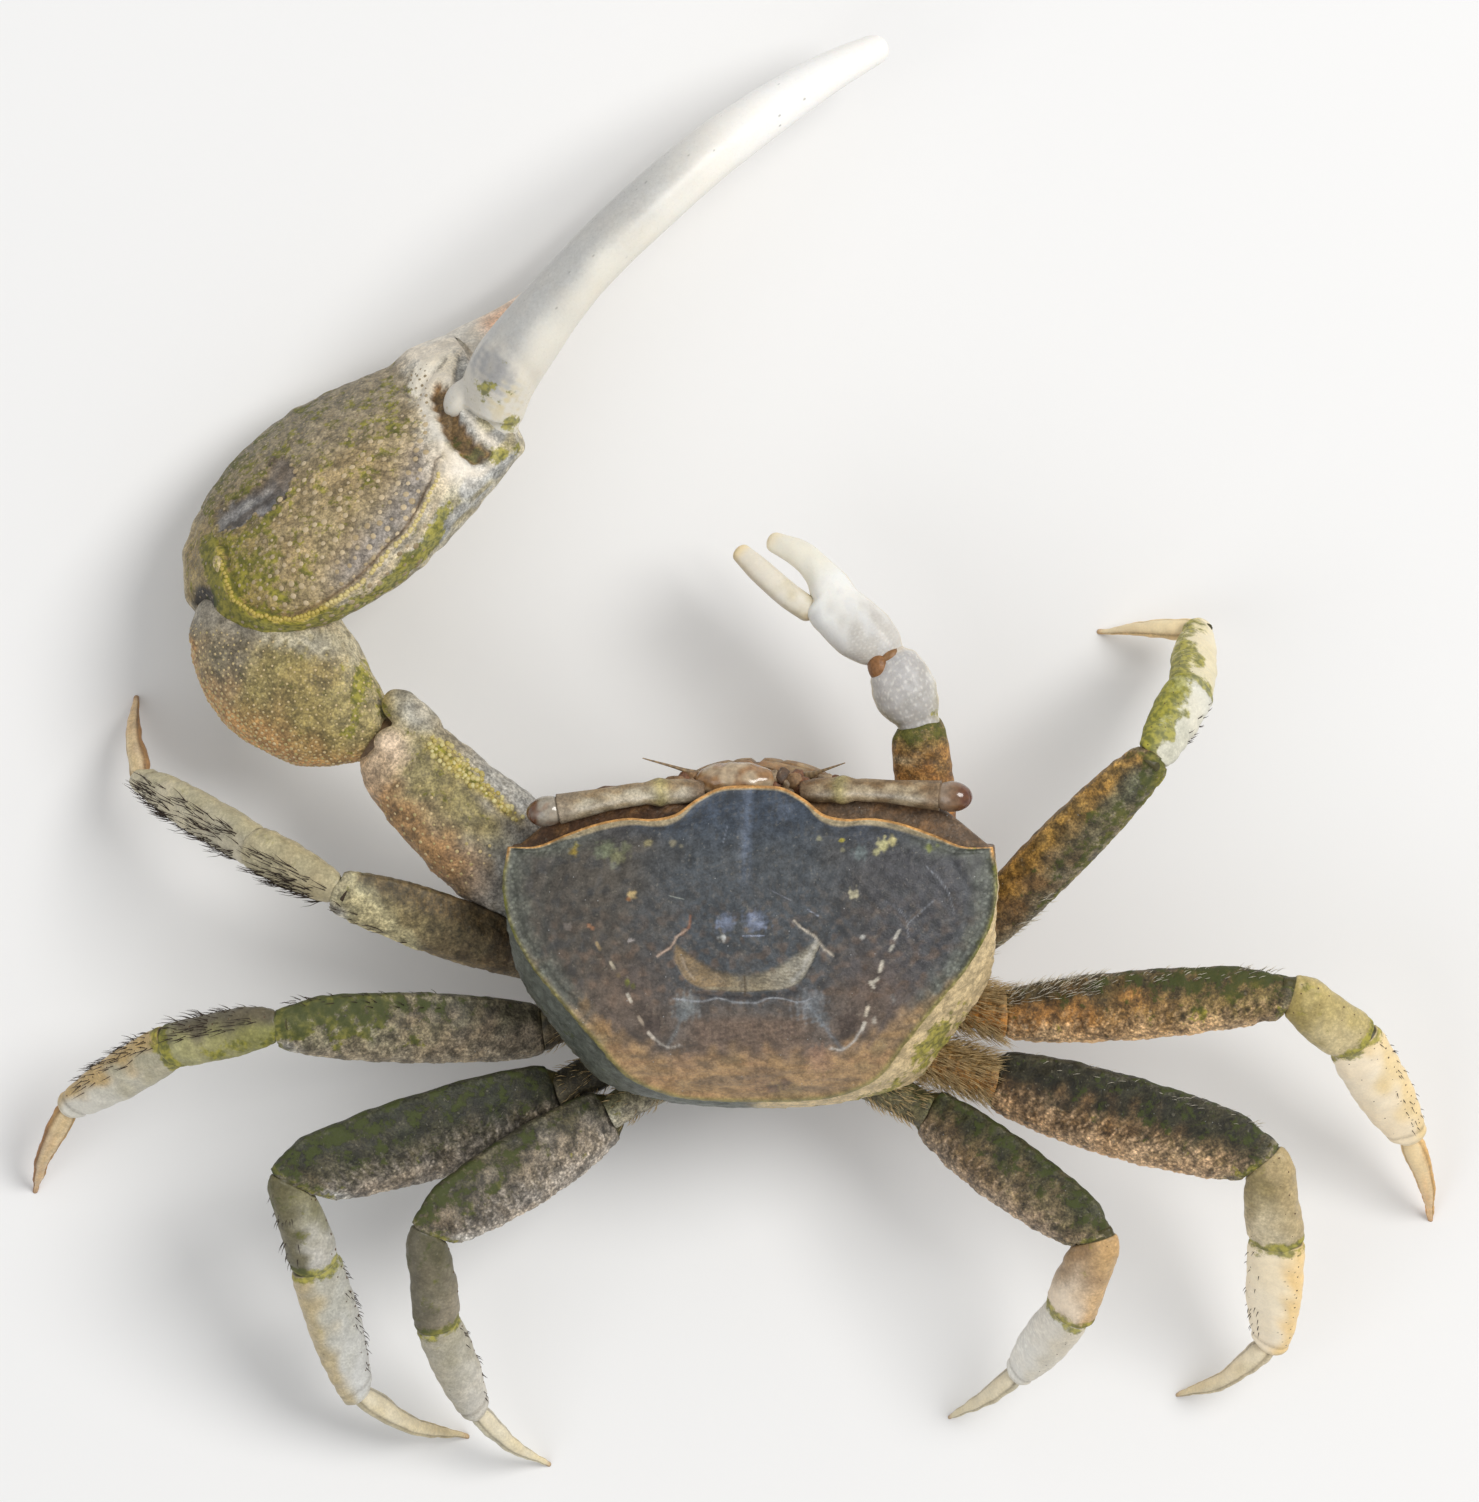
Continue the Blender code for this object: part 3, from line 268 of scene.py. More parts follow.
# The beaded ridge between the palm's outer face and its lower edge.
PALM_RIDGE = [
    (33.2, -25.0), (32.9, -23.7), (32.2, -21.9), (30.9, -21.0), (29.5, -20.6), (28.3, -20.6), (26.8, -21.2),
    (25.6, -21.9), (23.8, -23.3), (22.4, -24.9), (21.1, -26.2), (20.2, -27.9), (19.5, -29.4), (19.3, -30.4),
]
PALM_RIDGE_LEAD = [(37.0, -31.0), (34.2, -27.0)]  # carries the ridge's line on past the palm
# The dark hollow under the finger's hinge, the white strip beside it and the bruise on the palm's back.
PALM_POCKET = [(19.3, -34.2), (18.7, -32.9), (17.8, -31.6), (16.9, -30.9)]
PALM_STRIP = [(20.9, -35.1), (19.5, -36.7), (18.4, -37.9), (17.0, -38.9)]
PALM_SCAR = [(32.8, -27.0), (31.3, -27.8), (30.0, -28.6), (29.4, -29.9)]
# Small cusps where the fixed finger starts: place in plan and size.
PALM_CUSPS = (
    (15.9, -39.3, 0.26), (15.3, -39.8, 0.3), (14.7, -40.3, 0.3), (14.1, -40.8, 0.24), (16.0, -38.7, 0.2),
)

SMALL_BASE = dict(root=(-5.6, -4.4, 8.6), end=(-11.2, -7.2, 9.6))
SMALL_ELBOW = (-10.4, -14.3, 11.8)
SMALL_WRIST = (-8.6, -18.3, 12.0)
SMALL_PALM_END = (-4.5, -22.0, 11.2)
# Its pieces: width, half thickness, stations, width there as a share, first and last colour, algae.
SMALL_PIECES = {
    "base": (3.0, 1.3, (0.0, 0.5, 1.0), (0.95, 0.95, 0.9), (110, 88, 60), (120, 98, 66), 0.1),
    "merus": (
        3.7, 1.5, (0.0, 0.1, 0.5, 0.9, 1.0), (0.72, 0.88, 1.0, 0.92, 0.72),
        (160, 108, 56), (150, 114, 66), 0.3,
    ),
    "carpus": (
        4.0, 1.55, (0.0, 0.1, 0.45, 0.85, 1.0), (0.66, 0.82, 1.0, 0.86, 0.6),
        (178, 172, 150), (208, 206, 202), 0.1,
    ),
    "palm": (
        3.8, 1.45, (0.0, 0.1, 0.45, 0.85, 1.0), (0.58, 0.78, 1.0, 0.93, 0.82),
        (206, 202, 196), (236, 236, 232), 0.0,
    ),
}
SMALL_FIXED_FINGER = [(-5.6, -21.2, 11.3), (-4.95, -22.75, 11.1), (-3.25, -24.6, 10.6), (-1.45, -25.5, 10.0)]
SMALL_FINGER = [(-3.85, -21.1, 11.0), (-2.4, -22.1, 10.9), (-0.9, -23.4, 10.6), (0.6, -24.8, 10.0)]

EYE_STALKS = {
    "left": [(3.1, -9.9, 16.1), (6.4, -9.8, 17.0), (12.1, -8.8, 17.3)],
    "right": [(-3.1, -9.9, 16.1), (-6.4, -10.0, 17.0), (-11.8, -9.65, 17.3)],
}
EYE_HALF_LENGTH = 1.15
EYE_RADIUS = 0.95
ANTENNAE = {
    "left": [(3.0, -10.6, 14.6), (4.6, -11.2, 15.2), (6.9, -11.9, 15.8)],
    "right": [(-3.0, -10.6, 14.6), (-4.0, -11.0, 15.2), (-5.7, -11.6, 15.7)],
}

# The colour of each merus's rear half, and how strongly that half is rippled with pale grains.
MERUS_REAR = {
    "left_1": ((128, 112, 84), 0.4), "left_2": ((150, 138, 118), 0.5), "left_3": ((158, 148, 136), 0.9),
    "left_4": ((172, 163, 152), 1.0), "right_1": ((124, 114, 92), 0.4), "right_2": ((214, 180, 138), 1.0),
    "right_3": ((216, 182, 144), 1.2), "right_4": ((170, 148, 124), 1.0),
}

# Carapace markings, placed on an enlarged view of the carapace, which shell_place() turns into plan:
# line, half width in mm, colour, strength and depth in mm.
SHELL_LINES = [
    ([(736, 612), (731, 652), (702, 680)], 0.06, (150, 98, 66), 0.8, -0.06),
    ([(722, 664), (690, 688), (672, 718), (620, 755)], 0.07, (190, 166, 148), 0.95, -0.1),
    ([(1100, 630), (1126, 656), (1177, 691), (1198, 720), (1238, 755)], 0.065, (196, 186, 170), 0.95, -0.1),
    ([(1178, 702), (1156, 745), (1130, 800), (1095, 845)], 0.14, (166, 164, 158), 0.6, -0.04),
    ([(920, 684), (997, 684)], 0.035, (150, 160, 184), 0.9, 0.0),
    ([(665, 545), (712, 556)], 0.03, (150, 156, 150), 0.8, 0.0),
    ([(1148, 592), (1186, 614)], 0.03, (150, 156, 170), 0.8, 0.0),
    ([(705, 760), (722, 800), (750, 840)], 0.06, (176, 160, 140), 0.6, -0.04),
    ([(745, 892), (830, 901), (925, 904), (1020, 900), (1110, 884)], 0.13, (62, 62, 66), 0.75, -0.12),
    ([(925, 828), (925, 892)], 0.07, (84, 72, 56), 0.8, -0.06),
    (
        [
            (672, 905), (720, 912), (774, 916), (834, 905), (886, 918), (929, 920), (971, 918), (1006, 905),
            (1074, 909), (1109, 918), (1160, 905),
        ],
        0.05, (150, 154, 160), 0.85, -0.03,
    ),
    ([(735, 930), (700, 975), (680, 1020), (644, 1082)], 0.12, (118, 124, 126), 0.55, -0.03),
    ([(1150, 930), (1190, 985), (1225, 1040), (1262, 1088)], 0.12, (118, 124, 130), 0.6, -0.03),
    ([(600, 1048), (625, 1072), (662, 1084), (690, 1074)], 0.07, (186, 178, 168), 0.9, 0.0),
    ([(1326, 1022), (1300, 1062), (1256, 1090), (1222, 1086)], 0.08, (188, 182, 174), 0.9, 0.0),
    ([(380, 905), (450, 960), (520, 1030), (600, 1092)], 0.16, (84, 74, 68), 0.45, -0.06),
    ([(1480, 860), (1440, 930), (1400, 1010), (1350, 1080)], 0.16, (88, 80, 78), 0.5, -0.06),
    ([(260, 430), (215, 560), (222, 700), (300, 850)], 0.22, (74, 74, 68), 0.5, -0.08),
    ([(1640, 420), (1700, 520), (1690, 640), (1610, 780)], 0.2, (76, 80, 84), 0.4, -0.08),
    ([(1560, 440), (1630, 520), (1660, 610)], 0.03, (140, 144, 152), 0.7, 0.0),
    ([(1500, 640), (1590, 560)], 0.03, (140, 144, 152), 0.6, 0.0),
    ([(1420, 560), (1490, 620), (1500, 690)], 0.03, (134, 138, 146), 0.5, 0.0),
    ([(862, 300), (850, 360)], 0.03, (140, 148, 162), 0.5, 0.0),
    ([(1010, 520), (1090, 560)], 0.03, (134, 138, 150), 0.5, 0.0),
]
# Short pale dashes: middle, half length in mm, direction in degrees from straight across, colour.
SHELL_DASHES = [
    (460, 790, 0.2, 60, (176, 166, 146)), (518, 905, 0.24, 65, (190, 182, 168)),
    (556, 985, 0.22, 60, (186, 170, 150)), (590, 1040, 0.22, 50, (196, 186, 172)),
    (1460, 680, 0.26, 120, (186, 182, 172)), (1441, 728, 0.14, 120, (176, 172, 160)),
    (1404, 792, 0.3, 105, (204, 196, 180)), (1384, 842, 0.18, 140, (200, 192, 176)),
    (1372, 856, 0.2, 60, (200, 192, 176)), (1352, 950, 0.28, 105, (208, 196, 176)),
    (1338, 1004, 0.24, 110, (190, 184, 172)), (1376, 985, 0.14, 90, (170, 162, 150)),
    (1445, 905, 0.16, 70, (120, 116, 112)), (410, 722, 0.2, 60, (150, 130, 96)),
    (384, 655, 0.16, 30, (178, 130, 96)),
]
# Spots: middle, size in mm, colour, strength.
SHELL_SPOTS = [
    (530, 540, 0.25, (184, 162, 116), 1.0), (520, 556, 0.14, (170, 120, 74), 0.8),
    (1310, 540, 0.25, (172, 166, 140), 0.95), (1410, 372, 0.34, (196, 190, 138), 1.0),
    (1440, 356, 0.26, (196, 186, 130), 0.9), (1388, 392, 0.22, (180, 176, 130), 0.8),
    (1330, 395, 0.4, (120, 132, 132), 0.7), (440, 385, 0.5, (124, 132, 104), 0.7),
    (475, 410, 0.42, (132, 132, 96), 0.7), (505, 375, 0.3, (120, 124, 96), 0.6),
    (465, 442, 0.2, (126, 128, 112), 0.6), (410, 400, 0.3, (118, 124, 106), 0.6),
    (320, 395, 0.22, (160, 138, 60), 0.9), (330, 372, 0.14, (140, 130, 64), 0.7),
    (585, 362, 0.2, (152, 144, 108), 0.9), (672, 362, 0.2, (148, 142, 120), 0.8),
    (702, 372, 0.12, (140, 136, 118), 0.7), (1265, 352, 0.14, (172, 160, 66), 0.9),
    (1186, 346, 0.16, (140, 138, 112), 0.8), (1270, 385, 0.12, (140, 136, 110), 0.7),
    (1570, 380, 0.2, (128, 134, 72), 0.9), (1600, 372, 0.12, (120, 126, 70), 0.7),
    (300, 655, 0.2, (148, 138, 130), 0.8), (525, 700, 0.13, (178, 170, 166), 0.9),
    (850, 690, 0.18, (176, 176, 170), 0.95), (1340, 688, 0.16, (178, 176, 170), 0.9),
    (864, 639, 0.5, (112, 122, 144), 0.7), (854, 690, 0.12, (188, 190, 190), 0.9),
    (836, 640, 0.2, (124, 134, 156), 0.6), (966, 632, 0.6, (112, 122, 144), 0.7),
    (955, 616, 0.22, (128, 138, 162), 0.6), (985, 650, 0.24, (124, 134, 158), 0.6),
    (512, 850, 0.2, (122, 124, 52), 0.8), (530, 862, 0.15, (110, 112, 48), 0.7),
    (480, 825, 0.14, (112, 96, 66), 0.6), (722, 935, 0.72, (126, 130, 130), 0.7),
    (700, 965, 0.4, (112, 116, 118), 0.6), (1156, 930, 0.8, (128, 132, 136), 0.75),
    (1195, 975, 0.45, (112, 116, 118), 0.6), (600, 1000, 0.62, (70, 60, 56), 0.75),
    (575, 940, 0.5, (78, 68, 62), 0.6), (1290, 990, 0.72, (74, 62, 56), 0.75),
    (1270, 1040, 0.4, (72, 60, 54), 0.6), (620, 800, 0.7, (76, 72, 70), 0.4),
    (1300, 790, 0.7, (78, 78, 82), 0.4), (925, 780, 1.0, (84, 84, 84), 0.4),
    (1060, 250, 0.5, (96, 106, 122), 0.4), (800, 250, 0.4, (92, 104, 122), 0.4),
    (960, 1190, 0.9, (120, 98, 82), 0.5), (1050, 1215, 0.35, (96, 76, 72), 0.6),
    (1005, 1240, 0.3, (104, 84, 78), 0.6), (700, 1150, 0.8, (172, 138, 104), 0.5),
    (1180, 1130, 0.8, (176, 138, 110), 0.6), (640, 1230, 0.5, (150, 118, 78), 0.6),
    (1330, 1150, 0.5, (160, 136, 96), 0.5), (420, 1010, 0.5, (158, 124, 82), 0.6),
    (360, 930, 0.4, (150, 122, 84), 0.6),
]
# The pale groove's front and rear edges, and the rear border's line in plan.
CRESCENT_TOP = [
    (680, 712), (757, 770), (843, 812), (920, 822), (1006, 808), (1074, 775), (1126, 738), (1190, 697),
]
CRESCENT_LOW = [
    (680, 776), (723, 842), (766, 868), (843, 878), (920, 882), (988, 878), (1074, 869), (1121, 845),
    (1156, 793), (1190, 714),
]
REAR_BORDER = [
    (-16.0, -1.0), (-14.4, 0.1), (-11.5, 2.0), (-9.3, 3.8), (-6.4, 5.6), (-4.0, 6.2), (0.5, 5.9),
    (4.0, 6.3), (5.6, 6.2), (8.1, 5.0), (11.4, 2.9), (13.6, 0.5), (16.0, -1.5),
]


def body_matrix():
    """Leans the body about the level of the carapace's margin."""
    pivot = Matrix.Translation(BODY_PIVOT)
    roll = Matrix.Rotation(math.radians(BODY_ROLL_DEG), 4, "Y")
    pitch = Matrix.Rotation(math.radians(-BODY_PITCH_DEG), 4, "X")
    return pivot @ roll @ pitch @ pivot.inverted()


BODY = np.array(body_matrix())


def shell_place(points):
    """Places in plan, with the body level, of points given on the enlarged view of the carapace."""
    seen = np.asarray(points, float)[..., :2] / CROP_PIXELS_PER_MM * (-1.0, 1.0) + CROP_CORNER
    return np.array(CAMERA_CENTRE) + (seen - CAMERA_CENTRE) / CROWN_CLOSENESS - CROWN_SHIFT


def lean(points):
    """Moves points of the level body to where the leaning body has them."""
    return np.asarray(points, float) @ BODY[:3, :3].T + BODY[:3, 3]


def ramp(low, high, value):
    """0 at low to 1 at high, with soft ends; low may be the larger of the two."""
    share = np.clip((np.asarray(value, float) - low) / (high - low), 0.0, 1.0)
    return share * share * (3.0 - 2.0 * share)


def soft_spot(distance, size):
    """1 at no distance, fading to nothing at about twice the size."""
    return np.exp(-((distance / size) ** 2))


def spot_at(x, y, place, size):
    """A round soft spot in plan."""
    return soft_spot(np.hypot(x - place[0], y - place[1]), size)


def turned(x, y, place, way):
    """Distances in plan from a place, along a way and across it."""
    dx, dy = x - place[0], y - place[1]
    return dx * way[0] + dy * way[1], dx * -way[1] + dy * way[0]


def linear(colour):
    """sRGB out of 255 to the linear values that shaders use."""
    c = np.asarray(colour, float) / 255.0
    return np.where(c <= 0.04045, c / 12.92, ((c + 0.055) / 1.055) ** 2.4)


def hermite(values, at, places, slopes):
    """Values at the places, on the curve through the given values with the given slopes."""
    left = np.clip(np.searchsorted(at, places, side="right") - 1, 0, len(at) - 2)
    span = (at[left + 1] - at[left]).reshape((-1,) + (1,) * (values.ndim - 1))
    t = (places - at[left]).reshape(span.shape) / span
    return (
        values[left] * (2 * t**3 - 3 * t**2 + 1)
        + slopes[left] * span * (t**3 - 2 * t**2 + t)
        + values[left + 1] * (3 * t**2 - 2 * t**3)
        + slopes[left + 1] * span * (t**3 - t**2)
    )


def curve_through(points, count):
    """Points spaced evenly along a smooth curve through the given ones."""
    known = np.array(points, float)
    if len(known) == 2:
        share = np.linspace(0.0, 1.0, count)[:, None]
        return known[0] * (1 - share) + known[1] * share
    at = np.concatenate([[0.0], np.cumsum(np.linalg.norm(np.diff(known, axis=0), axis=1))])
    return hermite(known, at, np.linspace(0.0, at[-1], count), np.gradient(known, at, axis=0))


def profile(stations, values, places):
    """Values between the stations, on a smooth curve that never overshoots them."""
    x, y = np.array(stations, float), np.array(values, float)
    rises = np.diff(y) / np.diff(x)
    slopes = np.zeros(len(x))
    slopes[0], slopes[-1] = rises[0], rises[-1]
    same_way = rises[:-1] * rises[1:] > 0
    total = np.where(same_way, rises[:-1] + rises[1:], 1.0)
    slopes[1:-1] = np.where(same_way, 2 * rises[:-1] * rises[1:] / total, 0.0)
    return hermite(y, x, np.asarray(places, float), slopes)


def unit(vector):
    return np.asarray(vector, float) / np.linalg.norm(vector)


def unit_rows(vectors):
    return vectors / (np.linalg.norm(vectors, axis=-1)[..., None] + 1e-12)


def mitre(before, joint, after):
    """The plane that halves the bend at a joint."""
    arriving, leaving = unit(np.subtract(joint, before)), unit(np.subtract(after, joint))
    return np.array(joint, float), unit(arriving + leaving)


def moved_plane(plane, distance):
    """The same plane further along its normal."""
    point, normal = plane
    return point + normal * distance, normal


def to_plane(points, directions, plane):
    """How far each point is from a plane, along the given directions."""
    point, normal = plane
    return ((point - points) @ normal) / (directions @ normal)


def ring_angles(sides):
    """The angle of each point of a ring, none of them at its widest or highest place."""
    return 2 * np.pi * (np.arange(sides) + 0.5) / sides


def sweep(spine, wide, thick, sides, rings, start=None, end=None, rolls=(0.0,), power=2.2, across=None):
    """Rings of points round a spine, each a rounded box with a wide and a thin way.

    wide and thick are stations along the spine with the half sizes there, rolls are degrees by which the
    box turns about the spine, and start and end are planes that the end rings lie in.
    """
    centres = curve_through(spine, rings)
    share = np.linspace(0.0, 1.0, rings)
    tangents = np.gradient(centres, axis=0)
    tangents /= np.linalg.norm(tangents, axis=1)[:, None]
    level = np.cross(tangents, (0.0, 0.0, 1.0)) if across is None else np.tile(across, (rings, 1))
    level /= np.linalg.norm(level, axis=1)[:, None]
    upward = np.cross(level, tangents)
    turn = np.radians(np.interp(share, np.linspace(0, 1, len(rolls)), rolls))[:, None]
    wide_way = level * np.cos(turn) + upward * np.sin(turn)
    thin_way = upward * np.cos(turn) - level * np.sin(turn)
    angle = ring_angles(sides)
    sideways = np.sign(np.cos(angle)) * np.abs(np.cos(angle)) ** (2 / power)
    over = np.sign(np.sin(angle)) * np.abs(np.sin(angle)) ** (2 / power)
    offsets = (
        wide_way[:, None, :] * (profile(*wide, share)[:, None] * sideways)[:, :, None]
        + thin_way[:, None, :] * (profile(*thick, share)[:, None] * over)[:, :, None]
    )
    shift = np.zeros((rings, sides))
    if start is not None:
        shift += to_plane(centres[0] + offsets, tangents[0], start) * (1 - share)[:, None]
    if end is not None:
        shift += to_plane(centres[-1] + offsets, tangents[-1], end) * share[:, None]
    return centres[:, None, :] + offsets + tangents[:, None, :] * shift[:, :, None]


def capped(rings, reach, steps=5, behind=-3):
    """Closes the end of a sweep with a bulge that goes on the way it comes from the ring behind."""
    last = rings[-1]
    middle = last.mean(axis=0)
    ahead = unit(middle - rings[behind].mean(axis=0))
    turns = [k / (steps + 1) * math.pi / 2 for k in range(1, steps + 1)]
    caps = [middle + (last - middle) * math.cos(t) + ahead * reach * math.sin(t) for t in turns]
    return np.concatenate([rings, caps])


def rounded_tip(rings, steps=5):
    """Closes a finger's end with a round cap."""
    return capped(rings, np.linalg.norm(rings[-1] - rings[-1].mean(axis=0), axis=1).mean() * 0.8, steps, -2)


def normals_of(rings):
    """Outward normals of a skin over rings."""
    down = np.gradient(rings, axis=0)
    around = np.roll(rings, -1, axis=1) - np.roll(rings, 1, axis=1)
    normal = np.cross(down, around)
    normal /= np.linalg.norm(normal, axis=2)[:, :, None] + 1e-12
    outward = rings - rings.mean(axis=1)[:, None, :]
    return normal if np.sum(normal * outward) > 0 else -normal


def wobble(points, size, seed):
    """A smooth random value, mostly from -1 to 1, that changes over about the given size in millimetres."""
    draw = np.random.default_rng(seed)
    total = np.zeros(points.shape[:-1])
    for _ in range(9):
        way = draw.normal(size=3)
        way /= np.linalg.norm(way)
        pace = draw.uniform(0.6, 1.7) * 2 * np.pi / size
        total += np.sin(points @ way * pace + draw.uniform(0, 2 * np.pi))
    return total / 4.0


def bevelled(rings, depth):
    """Rounds both rims of a skin: the last ring draws in towards the middle of the end."""

    def end(ring, inner):
        middle = ring.mean(axis=0)
        back = unit(inner.mean(axis=0) - middle)
        spread = np.linalg.norm(ring - middle, axis=1).mean()
        share = min(0.35, depth / max(spread, 1e-6))
        face = middle + (ring - middle) * (1 - share)
        corner = middle + (ring - middle) * (1 - share * 0.3) + back * depth * 0.3
        edge = ring + back * depth
        return [face, corner, edge]

    return np.concatenate([end(rings[0], rings[2]), rings[1:-1], end(rings[-1], rings[-3])[::-1]])


def pad_ends(values):
    """Repeats the first and last rows twice, to match the rings that bevelled() adds."""
    return np.concatenate([values[:1], values[:1], values, values[-1:], values[-1:]])


class Skin:
    """Points, faces and per-point colours of one piece, gathered before its mesh is made.

    What adds to a skin gives it back, so that calls can follow each other.
    """

    def __init__(self):
        self.points, self.faces, self.tint, self.marks, self.uv = [], [], [], [], []
        self.count = 0

    def add(self, points, faces, tint, marks=(0, 0, 0, 0), uv=None):
        points = np.asarray(points, float).reshape(-1, 3)
        size = len(points)
        self.points.append(points)
        self.faces.extend([tuple(i + self.count for i in face) for face in faces])
        self.tint.append(np.broadcast_to(tint, (size, 3)).astype(float))
        self.marks.append(np.broadcast_to(marks, (size, 4)).astype(float))
        self.uv.append(np.zeros((size, 2)) if uv is None else np.asarray(uv, float))
        self.count += size
        return self

    def add_rings(self, rings, tint, marks=(0, 0, 0, 0)):
        """Adds a skin over rings, closed at both ends, with one tint and marks or an array of them."""
        count, sides, _ = rings.shape
        points = rings.reshape(-1, 3)
        tint = np.broadcast_to(tint, (count, sides, 3)).reshape(-1, 3)
        marks = np.broadcast_to(marks, (count, sides, 4)).reshape(-1, 4)
        i, j = np.meshgrid(np.arange(count - 1), np.arange(sides), indexing="ij")
        k = (j + 1) % sides
        quads = np.stack([i * sides + j, i * sides + k, (i + 1) * sides + k, (i + 1) * sides + j], axis=2)
        faces = [tuple(q) for q in quads.reshape(-1, 4).tolist()]
        points = np.concatenate([points, [rings[0].mean(axis=0), rings[-1].mean(axis=0)]])
        tint, marks = (np.concatenate([values, values[:1], values[-1:]]) for values in (tint, marks))
        base, last = count * sides, (count - 1) * sides
        faces += [(j, (j + 1) % sides, base)[::-1] for j in range(sides)]
        faces += [(last + j, last + (j + 1) % sides, base + 1) for j in range(sides)]
        return self.add(points, faces, tint, marks)

    def make(self, name, material, replaced=(), slot=None, outward=True, bake_map=False):
        """Makes the mesh, moved and scaled, with its material and what it stands for."""
        points = np.concatenate(self.points)
        points = (points - (*FOOTPRINT_CENTRE, 0.0)) * MM
        data = bpy.data.meshes.new(name)
        data.from_pydata(points.tolist(), [], self.faces)
        if outward:
            turn_outward(data)
        for label, values in (("tint", self.tint), ("marks", self.marks)):
            values = np.concatenate(values)
            if values.shape[1] == 3:
                values = np.column_stack([values, np.ones(len(values))])
            layer = data.attributes.new(label, "FLOAT_COLOR", "POINT")
            layer.data.foreach_set("color", values.astype(np.float32).ravel())
        if bake_map:
            corners = np.zeros(len(data.loops), np.int32)
            data.loops.foreach_get("vertex_index", corners)
            layer = data.uv_layers.new(name="OFBake")
            layer.data.foreach_set("uv", np.concatenate(self.uv)[corners].astype(np.float32).ravel())
        data.materials.append(material)
        data.shade_smooth()
        obj = bpy.data.objects.new(name, data)
        bpy.context.scene.collection.objects.link(obj)
        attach(obj, "root")
        if replaced:
            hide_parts(*replaced)
        return obj


def fused(parts, voxel, passes):
    """One smooth skin round several closed ones: its points, its normals and its faces."""
    rough = Skin()
    for rings in parts:
        rough.add_rings(rings, 0.0)
    data = bpy.data.meshes.new("fused")
    data.from_pydata(np.concatenate(rough.points).tolist(), [], rough.faces)
    turn_outward(data)
    obj = bpy.data.objects.new("fused", data)
    bpy.context.scene.collection.objects.link(obj)
    remesh = obj.modifiers.new("remesh", "REMESH")
    remesh.mode, remesh.voxel_size = "VOXEL", voxel
    smooth = obj.modifiers.new("smooth", "SMOOTH")
    smooth.factor, smooth.iterations = 0.5, passes
    done = obj.evaluated_get(bpy.context.evaluated_depsgraph_get()).to_mesh()
    points = np.zeros(len(done.vertices) * 3)
    normals = np.zeros(len(done.vertices) * 3)
    done.vertices.foreach_get("co", points)
    done.vertices.foreach_get("normal", normals)
    faces = [tuple(face.vertices) for face in done.polygons]
    bpy.data.objects.remove(obj)
    bpy.data.meshes.remove(data)
    return points.reshape(-1, 3), normals.reshape(-1, 3), faces


def spaced(points, order, spacing):
    """Goes through points in the given order and gives those that keep clear of the ones before.

    spacing says how far a point has to keep, or None to leave it out.
    """
    taken = np.zeros((0, 3))
    for k in order:
        room = spacing(k)
        if room is None or (len(taken) and np.min(np.sum((taken - points[k]) ** 2, axis=1)) < room**2):
            continue
        taken = np.vstack([taken, points[k]])
        yield k


def ball(centre, sizes, axis, rows=26, sides=40):
    """Rings over a stretched ball, its first ring at the end that the axis points away from."""
    along = unit(axis)
    sideways = unit(np.cross(along, (0.0, 0.0, 1.0)))
    upward = np.cross(sideways, along)
    polar = np.linspace(0.04, np.pi - 0.04, rows)[:, None]
    angle = ring_angles(sides)[None, :]
    return np.asarray(centre, float) + (
        along * (-np.cos(polar) * sizes[2])[..., None]
        + sideways * (np.sin(polar) * np.cos(angle) * sizes[0])[..., None]
        + upward * (np.sin(polar) * np.sin(angle) * sizes[1])[..., None]
    )


def dome(centre, way, radius, height, sides=10, rows=4):
    """Rings of a low round bead standing on a surface."""
    centre, way = np.asarray(centre), unit(way)
    side = unit(np.cross(way, (0.3, 0.2, 1.0)))
    other = np.cross(way, side)
    angle = ring_angles(sides)[:, None]
    made = []
    for turn in (k / rows * math.pi / 2 * 0.96 for k in range(rows)):
        flat = (np.cos(angle) * side + np.sin(angle) * other) * (math.cos(turn) * radius)
        made.append(centre + way * (math.sin(turn) * height) + flat)
    made.insert(0, centre - way * height * 0.4 + (made[0] - centre) * 1.02)
    return np.stack(made)


def nearest_top(points, x, y):
    """The highest of the points close to a place in plan."""
    far = np.hypot(points[:, 0] - x, points[:, 1] - y)
    near = np.nonzero(far < max(0.25, far.min() + 0.05))[0]
    return near[np.argmax(points[near, 2])]


def turn_outward(data):
    mesh = bmesh.new()
    mesh.from_mesh(data)
    bmesh.ops.recalc_face_normals(mesh, faces=mesh.faces)
    mesh.to_mesh(data)
    mesh.free()


def mixed(a, b, share):
    """Blends two linear colours by a share for each point."""
    share = np.asarray(share, float)[..., None]
    return np.asarray(a, float) * (1 - share) + np.asarray(b, float) * share


def layered(base, *layers):
    """Lays colours over a base in turn, each by its share at each point.

    A colour is an sRGB triple, or an array of linear values.
    """
    tint = linear(base) if isinstance(base, tuple) else base
    for colour, share in layers:
        tint = mixed(tint, linear(colour) if isinstance(colour, tuple) else colour, share)
    return tint


def random_tone(draw, dull, bright):
    return layered(dull, (bright, draw.random()))


def marked(algae=0.0, dirt_and_shade=0.0, granules=0.0, pits=0.0):
    """The four marks of each point, in the order that shell_material() reads them."""
    return np.stack(np.broadcast_arrays(algae, dirt_and_shade, granules, pits), axis=-1)


def along_rings(rings):
    """For each point, its share of the way from the first ring to the last."""
    return np.linspace(0, 1, len(rings))[:, None] + 0 * rings[..., 0]


# Materials


